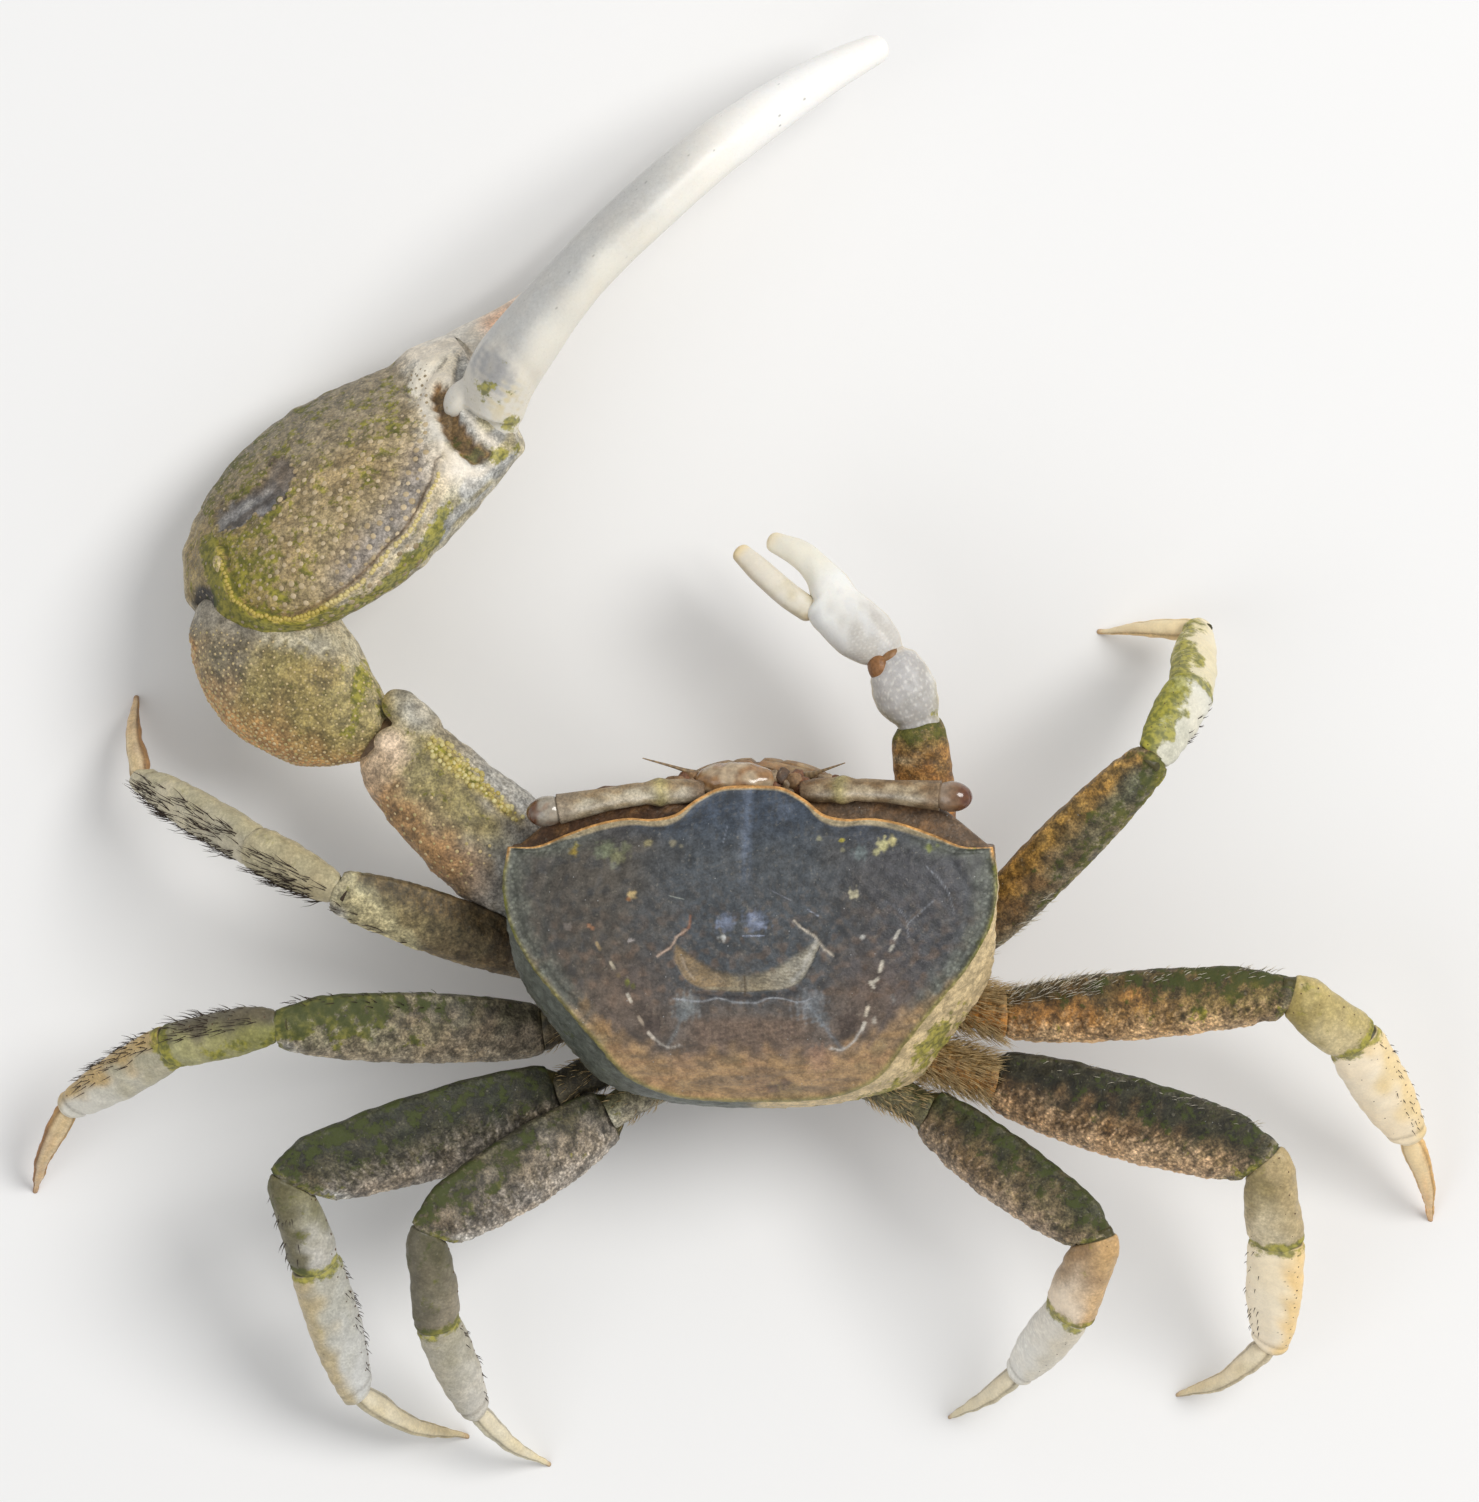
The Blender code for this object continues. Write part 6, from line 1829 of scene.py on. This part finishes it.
    def make(self):
        tint, marks = self.tint(), self.marks()
        self.shape()
        points, normal = self.points, self.normal
        skin = Skin().add(points, self.faces, tint, marks)
        finger = big_sweep("fixed finger", sides=56, rings=200)
        for rings in tooth_row(finger, top=True, count=24, low=0.12, high=0.9, seed=71):
            skin.add_rings(rings, linear((236, 196, 168)))
        for x, y, size in PALM_CUSPS:
            at = nearest_top(points, x, y)
            cusp = dome(points[at], normal[at], size, size * 0.8, sides=12, rows=5)
            skin.add_rings(cusp, linear((244, 232, 216)))
        at = nearest_top(points, 33.5, -24.1)
        knob = ball(points[at] - normal[at] * 0.12, (0.36, 0.32, 0.62), (0.35, -0.94, 0.0), rows=16, sides=22)
        skin.add_rings(knob, linear((204, 184, 138)), (0.3, 0, 0.5, 0))
        skin.make("big_palm_shell", MATERIALS["claw"], ["big_claw_palm"], "claw")

    def add_beads(self, beads, draw):
        """Low round grains over the palm's outer face, and a row of them along its ridge."""
        points, normal, behind = self.points, self.normal, self.behind
        bare = self.on_finger + self.hollow < 0.1
        open_face = (self.up > 0.8) & (self.scar < 0.1) & (self.ridge > 0.42) & bare & (points[:, 0] > 20.2)
        edge = ramp(-30.5, -33.0, points[:, 1] - 0.4 * (points[:, 0] - 26))
        fine = np.minimum(ramp(28.0, 32.5, points[:, 0]) + edge, 1.0)

        def spacing(k):
            return None if behind[k] > 0.5 and draw.random() < 0.9 else 0.6 - 0.22 * fine[k]

        order = draw.permutation(np.nonzero(open_face)[0])[:PALM_GRAIN_TRIES]
        for k in spaced(points, order, spacing):
            size = draw.uniform(0.13, 0.23) * (1.0 - 0.42 * fine[k])
            tone = random_tone(draw, (168, 148, 112), (206, 186, 152))
            tone = tone * (1 - 0.35 * fine[k]) * (1 - 0.3 * behind[k])
            bead = dome(points[k] - normal[k] * 0.03, normal[k], size, size * 0.42, sides=9, rows=3)
            beads.add_rings(bead, tone)
        path = curve_through(PALM_RIDGE, 84)
        for k, point in enumerate(path[2:-2]):
            at = nearest_top(points, *point)
            size = 0.17 - 0.08 * abs(k / 80 - 0.45)
            bead = dome(points[at] - normal[at] * 0.02, normal[at], size, size * 0.8, sides=10, rows=4)
            beads.add_rings(bead, linear((208, 190, 130) if k > 34 else (186, 166, 84)))


def make_big_finger():
    knuckles = [
        ball((18.1, -34.5, 11.8), (1.05, 1.1, 1.45), (0.65, 0.76, 0.0)),
        ball((15.7, -33.0, 12.1), (1.35, 1.25, 1.1), (0.65, 0.76, 0.0)),
        ball((16.7, -33.9, 12.2), (0.9, 1.1, 1.8), (0.65, -0.76, 0.0)),
    ]
    bare = rounded_tip(big_sweep("finger", sides=56, rings=200)[:-4], steps=9)
    finger, normal, faces = fused([bare] + knuckles, voxel=0.12, passes=14)
    x, y = finger[:, 0], finger[:, 1]
    way = unit(np.subtract(BIG_FINGER[-1], BIG_FINGER[0]))
    share = np.clip((finger - np.array(BIG_FINGER[0])) @ way / FINGER_REACH, 0, 1)
    left = normal @ unit((0.75, -0.66, 0.1))
    tone, ragged = wobble(finger, 3.0, 65), wobble(finger, 0.8, 64)
    # Painted shade: the face turned towards the crab's left and front is painted grey, fading out towards the
    # tip, as if lit from the crab's right.
    grey = ramp(-0.9, 0.6, left + 0.15 * tone) * ramp(0.75, 0.4, share)
    root = ramp(0.13, 0.02, share + 0.03 * tone)
    # A worn dark patch behind the root, then specks and an ochre stain.
    ahead, aside = turned(x, y, (16.2, -36.2), (0.66, -0.75))
    dark = ramp(1.5, 0.5, np.hypot(ahead * 0.6, aside) + 0.25 * ragged) * (normal[:, 2] > 0)
    specks = ramp(1.5, 1.65, wobble(finger, 0.5, 67)) * (share > 0.1)
    ochre = spot_at(x, y, (15.3, -34.2), 1.3) * (normal[:, 2] > 0)
    tint = layered(
        (234, 230, 218),
        ((250, 249, 246), ramp(0.3, 0.8, share)),
        ((186, 186, 184), grey * 0.9),
        ((222, 216, 202), root * 0.5),
        (layered((128, 132, 142), ((160, 160, 162), ramp(-0.5, 0.8, ragged))), dark * 0.6),
        ((120, 118, 110), specks * 0.6),
        ((214, 198, 152), ochre * ramp(-0.2, 0.6, ragged) * 0.7),
    )
    algae = 0.5 * spot_at(x, y, (16.4, -34.9), 0.8)
    algae += 0.65 * spot_at(x, y, (15.0, -32.8), 0.7) + 0.25 * root
    marks = marked(algae=algae, granules=0.1)
    relief = 0.02 * wobble(finger, 3.5, 66)
    relief -= 0.1 * soft_spot(share - 0.075, 0.014) * ramp(0.0, 0.6, normal[:, 2])
    relief -= 0.35 * ramp(-0.2, 0.9, left) * soft_spot(share - 0.2, 0.2)
    skin = Skin()
    skin.add(finger + normal * relief[:, None], faces, tint, marks)
    bare = big_sweep("finger", sides=64, rings=240)
    for rings in tooth_row(bare, top=False, count=26, low=0.14, high=0.92, seed=72):
        skin.add_rings(rings, linear((238, 220, 200)))
    skin.make("big_finger_shell", MATERIALS["ivory"], ["big_claw_finger"], "ivory")


def make_big_carpus(beads, draw):
    parts = [
        capped(big_sweep("carpus", sides=64, rings=90), reach=0.9),
        ball((24.0, -14.6, 11.6), (1.1, 1.1, 1.5), (0.2, -1.0, 0.0)),
        ball((34.2, -19.4, 9.9), (0.9, 1.0, 1.1), (0.4, -1.0, 0.0)),
    ]
    carpus, normal, faces = fused(parts, voxel=0.13, passes=14)
    x, y = carpus[:, 0], carpus[:, 1]
    up = ramp(-0.2, 0.3, normal[:, 2])
    tone, ragged = wobble(carpus, 2.4, 67), wobble(carpus, 0.8, 66)
    low_edge = ramp(0.25, 0.95, normal @ unit((0.55, 0.83, 0.0)) + 0.1 * tone)
    near_palm = ramp(-18.2, -19.6, y + 0.25 * (x - 29.0) + 0.2 * ragged)
    rim = ramp(0.5, 0.9, normal @ unit((-0.93, -0.25, 0.25)))
    tint = layered(
        (150, 136, 86),
        ((134, 120, 78), ramp(-0.4, 0.7, tone)),
        ((168, 154, 104), ramp(27.0, 24.6, x + 0.4 * ragged) * 0.6),
        ((184, 178, 160), near_palm * 0.8),
        ((204, 154, 98), low_edge * 0.85),
        ((116, 104, 62), ramp(0.2, 0.9, ragged) * (1 - low_edge) * 0.45),
        ((182, 172, 140), rim * 0.6),
        ((128, 120, 108), ramp(30.6, 32.6, x - 0.5 * (y + 17.0) + 0.4 * ragged) * 0.7 * (1 - low_edge)),
    )
    stripe = soft_spot(x - 24.6 - 0.2 * (y + 15.5), 0.5) * ramp(-19.5, -18.0, y)
    algae = (0.27 + 0.3 * rim + 0.42 * stripe) * (1 - 0.8 * low_edge) * up * (1 - 0.6 * near_palm)
    marks = marked(algae=algae, granules=0.5 * (1 - near_palm))
    relief = 0.06 * wobble(carpus, 1.8, 68) - 0.1 * soft_spot(x - 24.9 - 0.15 * (y + 15.0), 0.25) * up
    carpus = carpus + normal * relief[:, None]
    skin = Skin().add(carpus, faces, tint, marks)
    skin.make("big_carpus_shell", MATERIALS["claw"], ["big_claw_carpus"], "claw")
    where = (normal[:, 2] > -0.2) & (near_palm < 0.5)
    add_grains(beads, draw, carpus, normal, 0.36 - 0.04 * low_edge, 0.08 + 0.05 * low_edge, where)


def make_big_merus(beads, draw):
    parts = [
        capped(big_sweep("merus", sides=60, rings=100), reach=0.5),
        ball(MERUS_CREST, (1.25, 1.1, 2.4), (0.72, -0.69, 0.0)),
        ball((22.4, -13.0, 12.6), (1.15, 0.95, 1.0), (0.7, -0.7, 0.0)),
        ball((23.5, -11.4, 11.4), (0.9, 1.0, 1.0), (0.7, -0.7, 0.0)),
    ]
    merus, normal, faces = fused(parts, voxel=0.12, passes=9)
    x, y = merus[:, 0], merus[:, 1]
    up = ramp(-0.2, 0.3, normal[:, 2])
    tone, ragged = wobble(merus, 2.0, 69), wobble(merus, 0.8, 73)
    along, across = turned(x, y, BIG_MERUS[0], BIG_MERUS_WAY)
    along = along / BIG_MERUS_REACH
    plate = ramp(0.84, 0.92, along + 0.02 * ragged)
    lobe = spot_at(x, y, (20.9, -14.7), 1.9)
    knob = spot_at(x, y, (22.4, -13.0), 1.0) * up
    # Painted shadow on the root of the merus, where it meets the carapace.
    shade = ramp(0.24, 0.02, along + 0.03 * tone)
    wide = 0.3 + 0.35 * ramp(0.5, 0.8, along)
    crest = soft_spot((across + 1.75) / wide, 1.0) * ramp(0.3, 0.42, along) * up * (1 - lobe)
    tint = layered(
        (150, 148, 142),
        ((150, 138, 108), ramp(0.3, 0.6, along + 0.1 * tone)),
        ((150, 138, 84), soft_spot(across + 0.2 + 0.5 * tone, 1.2) * ramp(0.25, 0.45, along) * 0.7),
        ((172, 132, 86), ramp(0.7, 2.6, across + 0.4 * tone) * ramp(0.15, 0.5, along) * 0.85),
        ((178, 176, 170), ramp(-1.4, -2.6, across) * ramp(0.9, 0.6, along) * 0.8),
        ((206, 180, 150), plate * ramp(-1.2, 0.2, across) * 0.8),
        ((178, 176, 166), lobe * 0.85),
        ((224, 200, 172), knob),
        ((92, 82, 60), ramp(0.3, 0.9, ragged) * 0.3 * (1 - knob)),
        ((62, 62, 54), shade * 0.85),
        ((180, 160, 76), crest * 0.85),
    )
    algae = 0.4 * soft_spot(across + 0.1, 1.3) * ramp(0.2, 0.5, along) + 0.5 * crest + 0.2 * lobe
    marks = marked(algae=algae * up * (1 - knob), granules=(0.5 - 0.4 * knob) * (1 - 0.6 * plate))
    relief = 0.07 * wobble(merus, 1.6, 70) + 0.14 * crest - 0.14 * soft_spot(along - 0.87, 0.014) * up
    merus = merus + normal * relief[:, None]
    skin = Skin().add(merus, faces, tint, marks)
    skin.make("big_merus_shell", MATERIALS["claw"], ["big_claw_merus"], "claw")
    where = (across > 0.6) & (along > 0.35) & (along < 0.85) & (normal[:, 2] > -0.3)
    add_grains(beads, draw, merus, normal, np.full(len(x), 0.6), np.full(len(x), 0.11), where)
    for share in np.linspace(0.36, 0.86, 26):
        for drift in (0.0, 0.32) if share < 0.6 else (-0.32, 0.0, 0.32, 0.64):
            at = share + draw.uniform(-0.012, 0.012)
            drift = drift + draw.uniform(-0.14, 0.14)
            far = (along - at) ** 2 * 200 + (across + 1.75 + drift) ** 2
            near = np.argmin(far + 9.0 * (normal[:, 2] < 0.2))
            size = draw.uniform(0.09, 0.21)
            tone = random_tone(draw, (176, 158, 84), (208, 196, 140))
            beads.add_rings(dome(merus[near], normal[near], size, size * 0.7, sides=9, rows=3), tone)


def make_big_claw():
    beads = Skin()
    draw = np.random.default_rng(7)
    palm = BigPalm()
    palm.make()
    palm.add_beads(beads, draw)
    make_big_finger()
    make_big_carpus(beads, draw)
    make_big_merus(beads, draw)
    beads.make("claw_beads", MATERIALS["ivory"], (), "claw")

    spine = [tuple(lean(BIG_BASE["root"])), BIG_BASE["end"]]
    half = ((0.0, 1.0), (1.9, 1.9))
    rings = sweep(spine, half, half, sides=40, rings=30)
    skin = Skin().add_rings(rings, linear((118, 104, 80)), (0.1, 0.2, 0.3, 0.0))
    skin.make("big_base_shell", MATERIALS["belly"], ["big_claw_base"], "claw")


# Skins in the claws' joints and the hinge at the big finger's root: middle, axis, half sizes and colour.
JOINT_SKINS = (
    ((23.0, -13.1, 10.8), (0.7, -0.7, 0.0), (1.9, 1.5, 1.2), (104, 82, 58)),
    ((32.4, -22.3, 8.6), (0.3, -1.0, 0.0), (2.2, 1.8, 1.2), (52, 46, 40)),
    ((17.9, -32.3, 11.2), (-0.6, 0.8, -0.1), (0.85, 0.9, 1.9), (104, 88, 62)),
    ((17.1, -32.0, 12.0), (-0.62, 0.78, 0.0), (0.5, 0.5, 0.7), (138, 126, 122)),
    ((17.3, -31.1, 11.7), (-0.62, 0.78, 0.0), (0.5, 0.5, 0.6), (104, 96, 52)),
    (SMALL_ELBOW, (0.2, -1.0, 0.0), (1.15, 1.0, 0.7), (150, 118, 78)),
    (SMALL_WRIST, (0.6, -1.0, 0.0), (1.0, 1.0, 0.7), (138, 102, 66)),
    ((-8.0, -17.7, 12.2), (0.2, -1.0, 0.0), (0.75, 0.95, 1.05), (140, 98, 60)),
    ((-4.3, -21.6, 11.2), (0.7, -0.6, 0.0), (0.7, 0.7, 0.5), (150, 112, 66)),
)


def make_joint_skins():
    skins = Skin()
    for middle, axis, sizes, tone in JOINT_SKINS:
        skins.add_rings(ball(middle, sizes, axis, rows=16, sides=24), linear(tone))
    skins.make("joint_skins", MATERIALS["skin"], (), "leg")


def small_looks(piece, number, points, normal, share):
    """Colour and marks of one piece of the small claw."""
    first, last, algae = SMALL_PIECES[piece][4:]
    rim = 1 - np.abs(normal[:, 2])
    tone = wobble(points, 1.6, 85 + number)
    tint = layered(first, (last, ramp(0.1, 0.8, share + 0.2 * tone)))
    green = algae * (0.4 + 0.9 * np.clip(share, 0, 1))
    if piece in ("carpus", "palm"):
        inner = normal @ unit((0.6, 0.5, 0.6))
        lower = ramp(0.95, 0.2, share + 0.1 * tone) * ramp(-0.4, 0.4, inner)
        grain = ramp(0.2, 0.9, wobble(points, 0.3, 96 + number))
        on_carpus, on_palm = piece == "carpus", piece == "palm"
        tint = layered(
            tint,
            ((176, 174, 174), ramp(0.7, 0.2, rim + 0.15 * tone) * 0.8 * on_carpus),
            ((188, 184, 176), lower * 0.6 * on_palm),
            ((222, 220, 214), grain * 0.5 * (lower if on_palm else 1.0)),
            ((200, 200, 204), ramp(0.1, 0.9, tone) * 0.25 * on_palm),
            ((226, 214, 184), ramp(0.6, 0.95, rim) * 0.8),
            ((214, 190, 150), ramp(0.95, 1.1, share) * 0.5 * on_carpus),
        )
    if piece == "palm":
        tint = layered(
            tint,
            ((232, 228, 212), ramp(1.0, 1.3, share) * 0.8),
            ((236, 216, 170), ramp(1.75, 1.95, share) * 0.6),
        )
    if piece == "carpus":
        green = 0.6 * soft_spot(share, 0.14) * ramp(0.0, -0.8, normal[:, 0])
    if piece == "merus":
        tint = layered(
            tint,
            ((196, 150, 92), ramp(0.4, 0.9, normal[:, 0]) * 0.7),
            ((112, 108, 66), ramp(0.75, 0.9, share + 0.04 * tone) * 0.7),
            ((200, 176, 136), soft_spot(share - 0.72, 0.035) * ramp(-0.2, 0.5, normal[:, 0])),
        )
        green = 0.75 * ramp(0.7, 0.95, share)
    return tint, marked(algae=green, granules=0.06 if piece in ("carpus", "palm") else 0.3)


def make_small_claw():
    root, hip = tuple(lean(SMALL_BASE["root"])), SMALL_BASE["end"]
    after_palm = tuple(2 * np.array(SMALL_PALM_END) - np.array(SMALL_WRIST))
    stops = [root, hip, SMALL_ELBOW, SMALL_WRIST, SMALL_PALM_END, after_palm]
    for i, (piece, (width, thick, stations, shares, *_)) in enumerate(SMALL_PIECES.items()):
        start = None if i == 0 else moved_plane(mitre(stops[i - 1], stops[i], stops[i + 1]), GAP / 2)
        end = moved_plane(mitre(stops[i], stops[i + 1], stops[i + 2]), -GAP / 2)
        wide = (stations, np.array(shares) * width / 2)
        deep = (stations, np.array(shares) * thick)
        rings = sweep([stops[i], stops[i + 1]], wide, deep, sides=48, rings=60, start=start, end=end)
        parts = [rings]
        if piece in ("carpus", "palm"):
            closed = capped(rings, reach=0.55)
            parts = [capped(closed[::-1], reach=1.8 if piece == "carpus" else 0.75)[::-1]]
        if piece == "palm":
            stations = (0.0, 0.35, 0.55, 0.8, 1.0)
            wide = (stations, (1.45, 1.35, 1.0, 0.86, 0.66))
            deep = (stations, (1.3, 1.15, 0.95, 0.75, 0.5))
            spine = [(-6.1, -20.1, 11.5), (-5.3, -22.0, 11.25), *SMALL_FIXED_FINGER[2:]]
            parts.append(rounded_tip(sweep(spine, wide, deep, sides=40, rings=80), steps=4))
        points, normal, faces = fused(parts, voxel=0.07, passes=24 if piece == "palm" else 12)
        way = np.subtract(stops[i + 1], stops[i])
        share = (points - np.array(stops[i])) @ unit(way) / np.linalg.norm(way)
        tint, marks = small_looks(piece, i, points, normal, share)
        points = points + normal * (0.03 * wobble(points, 1.2, 80 + i))[:, None]
        look, node = "leg" if piece in ("base", "merus") else "ivory", "small_claw_" + piece
        Skin().add(points, faces, tint, marks).make(node + "_shell", MATERIALS[look], [node], "ivory")
    make_small_finger(after_palm)


def make_small_finger(after_palm):
    stations = (0.0, 0.3, 0.7, 1.0)
    wide = (stations, (0.8, 0.82, 0.78, 0.62))
    deep = (stations, (0.85, 0.85, 0.7, 0.45))
    start = moved_plane(mitre(SMALL_WRIST, SMALL_PALM_END, after_palm), GAP / 2)
    rings = sweep(SMALL_FINGER, wide, deep, sides=40, rings=60, start=start)
    rings = rounded_tip(capped(rings[::-1], reach=0.6)[::-1], steps=4)
    share = along_rings(rings)
    tone = wobble(rings, 1.5, 95)
    tint = layered(
        (212, 202, 176),
        ((226, 220, 206), ramp(0.0, 0.5, share + 0.2 * tone)),
        ((204, 178, 128), soft_spot(share, 0.05) * 0.8),
        ((238, 214, 160), ramp(0.86, 0.97, share) * 0.7),
        ((196, 178, 140), ramp(0.4, 0.9, normals_of(rings)[..., 0]) * 0.6),
    )
    skin = Skin().add_rings(rings, tint, marked(algae=0.05, granules=0.15))
    skin.make("small_finger_shell", MATERIALS["ivory"], ["small_claw_finger"], "ivory")


# Bristles


THIRDS_OF_TURN = (0.0, 2.094, 4.189)
# Two rows of three quads between three rings of three points, and both ends.
BRISTLE_FACES = [
    (row + j, row + (j + 1) % 3, row + 3 + (j + 1) % 3, row + 3 + j) for row in (0, 3) for j in range(3)
] + [(2, 1, 0), (6, 7, 8)]
BRISTLE_COLOURS = {"dark": (58, 46, 36), "gold": (204, 178, 130), "white": (222, 214, 196)}
# Leg and piece, how many, where along and across the piece (1 is the outer edge), colour and lengths.
BRISTLE_ROWS = (
    ("left_1", "carpus", 150, (0.1, 0.95), (-1.0, 0.2), "dark", (0.9, 1.6)),
    ("left_1", "propodus", 260, (0.05, 0.95), (-1.0, 0.4), "dark", (0.8, 1.7)),
    ("left_1", "merus", 40, (0.6, 0.98), (-1.0, -0.4), "dark", (0.5, 0.9)),
    ("left_2", "carpus", 90, (0.1, 0.95), (0.3, 1.0), "dark", (0.7, 1.3)),
    ("left_2", "propodus", 90, (0.05, 0.8), (0.3, 1.0), "dark", (0.6, 1.1)),
    ("left_2", "merus", 60, (0.3, 0.98), (0.7, 1.0), "dark", (0.3, 0.7)),
    ("left_3", "carpus", 30, (0.1, 0.95), (0.5, 1.0), "dark", (0.4, 0.8)),
    ("left_3", "propodus", 40, (0.05, 0.95), (-1.0, -0.5), "dark", (0.3, 0.6)),
    ("left_4", "propodus", 24, (0.05, 0.95), (-1.0, -0.5), "dark", (0.3, 0.5)),
    ("right_1", "merus", 60, (0.0, 0.35), (-1.0, -0.5), "white", (0.5, 1.1)),
    ("right_1", "carpus", 24, (0.2, 0.95), (-1.0, -0.5), "dark", (0.3, 0.5)),
    ("right_2", "merus", 90, (0.3, 0.95), (0.75, 1.0), "white", (0.3, 0.6)),
    ("right_2", "merus", 260, (0.0, 0.32), (0.5, 1.0), "white", (0.4, 1.0)),
    ("right_2", "propodus", 36, (0.05, 0.95), (0.3, 1.0), "dark", (0.25, 0.45)),
    ("right_3", "merus", 60, (0.0, 0.9), (0.8, 1.0), "white", (0.3, 0.6)),
    ("right_3", "propodus", 36, (0.05, 0.95), (-1.0, -0.3), "dark", (0.25, 0.4)),
    ("right_1", "base", 700, (0.2, 1.0), (-1.0, 1.0), "gold", (0.6, 1.4)),
    ("right_2", "base", 1500, (0.2, 1.0), (-1.0, 1.0), "gold", (0.6, 1.7)),
    ("right_3", "base", 1300, (0.2, 1.0), (-1.0, 1.0), "gold", (0.6, 1.6)),
    ("right_4", "base", 260, (0.4, 1.0), (-1.0, 1.0), "gold", (0.4, 0.8)),
    ("left_2", "base", 160, (0.3, 1.0), (-1.0, 1.0), "gold", (0.4, 0.9)),
    ("left_3", "base", 140, (0.3, 1.0), (-1.0, 1.0), "gold", (0.4, 0.9)),
    ("left_4", "base", 80, (0.4, 1.0), (-1.0, 1.0), "gold", (0.4, 0.8)),
)


def add_bristles(skin, places, normals, ways, lengths, radius, tint, roots, rise, draw):
    """Thin tapered bristles of three sides that leave the surface and bend over along their way."""
    for place, normal, way, length, root in zip(places, normals, ways, lengths, roots):
        heading = unit(normal * rise + way + draw.normal(size=3) * 0.18)
        bent = unit(heading + way * 0.7 + draw.normal(size=3) * 0.12)
        side = unit(np.cross(heading, (0.31, 0.17, 0.93)))
        other = np.cross(heading, side)
        half_way = place + heading * length * 0.5
        stops = [place - heading * 0.12, half_way, half_way + bent * length * 0.5]
        sizes = (radius, radius * 0.7, radius * 0.12)
        rings = [
            [stop + (math.cos(a) * side + math.sin(a) * other) * size for a in THIRDS_OF_TURN]
            for stop, size in zip(stops, sizes)
        ]
        points = np.array(rings).reshape(-1, 3)
        patch = np.array([root + 0.0015 * np.array((i % 3, i // 3)) for i in range(9)])
        skin.add(points, BRISTLE_FACES, tint * draw.uniform(0.75, 1.2), uv=patch)


def make_bristles():
    draw = np.random.default_rng(17)
    skin = Skin()
    for number, (name, piece, count, along, side, colour, sizes) in enumerate(BRISTLE_ROWS):
        rings = leg_piece(LEGS[name], piece)
        normal = normals_of(rings)
        tangent = unit_rows(np.gradient(rings, axis=0))
        angle = ring_angles(LEG_SIDES)
        outer = np.cos(angle) * side_of(LEGS[name])
        allowed = np.nonzero((outer >= side[0]) & (outer <= side[1]) & (np.sin(angle) > -0.75))[0]
        i = (draw.uniform(*along, count) * (len(rings) - 1)).astype(int)
        j = draw.choice(allowed, count)
        tile = np.array((0.14 * (number % 7), 0.14 * (number // 7)))
        roots = tile + 0.12 * np.stack([j / LEG_SIDES, i / len(rings)], axis=-1)
        lengths = draw.uniform(*sizes, count)
        tint, radius = linear(BRISTLE_COLOURS[colour]), 0.035 if colour == "dark" else 0.03
        rise = {"left_1": 0.3, "left_2": 0.5}.get(name, 0.8)
        add_bristles(skin, rings[i, j], normal[i, j], tangent[i, j], lengths, radius, tint, roots, rise, draw)
    skin.make("bristles", MATERIALS["bristle"], (), "leg", outward=False, bake_map=True)


# Stage


def make_stage():
    data = bpy.data.meshes.new("floor")
    size = FLOOR_HALF_SIZE_M
    corners = [(-size, -size, 0), (size, -size, 0), (size, size, 0), (-size, size, 0)]
    data.from_pydata(corners, [], [(0, 1, 2, 3)])
    floor = bpy.data.objects.new("floor", data)
    bpy.context.scene.collection.objects.link(floor)
    floor.location.z = -FLOOR_DROP_M
    s = Shader("pale_floor")
    s.set(Base_Color=(*[FLOOR_WHITENESS] * 3, 1.0), Roughness=0.9, Specular_IOR_Level=0.0)
    data.materials.append(s.material)

    world = bpy.data.worlds.new("studio")
    bpy.context.scene.world = world
    world.use_nodes = True
    sky = world.node_tree.nodes["Background"].inputs
    sky["Color"].default_value = (1.0, 1.0, 1.0, 1.0)
    sky["Strength"].default_value = SKY_STRENGTH

    for name, place, size, power, colour in LAMPS:
        lamp = bpy.data.lights.new(name, "AREA")
        lamp.shape, lamp.size, lamp.energy, lamp.color = "DISK", size, power, colour
        obj = bpy.data.objects.new(name, lamp)
        bpy.context.scene.collection.objects.link(obj)
        obj.location = place
        obj.rotation_euler = Vector(place).to_track_quat("Z", "Y").to_euler()


def make_camera():
    """Straight down from a long lens, with the crab's front towards the top of the picture."""
    data = bpy.data.cameras.new("camera")
    camera = bpy.data.objects.new("camera", data)
    bpy.context.scene.collection.objects.link(camera)
    data.sensor_fit, data.sensor_width = "HORIZONTAL", SENSOR_MM
    data.lens = SENSOR_MM * CAMERA_DISTANCE / (IMAGE_WIDTH / PIXELS_PER_MM)
    data.clip_end = CLIP_END_M
    x, y = np.subtract(CAMERA_CENTRE, FOOTPRINT_CENTRE) * MM
    camera.location = (x, y, (CAMERA_DISTANCE + CAMERA_AIM_Z) * MM)
    camera.rotation_euler = (0.0, 0.0, math.pi)
    bpy.context.scene.camera = camera


make_camera()
make_stage()
bpy.context.scene.view_settings.view_transform = "Standard"
make_carapace()
make_thorax()
make_abdomen()
make_mouth()
make_face()
make_eyes()
make_legs()
make_joint_skins()
make_big_claw()
make_small_claw()
make_bristles()
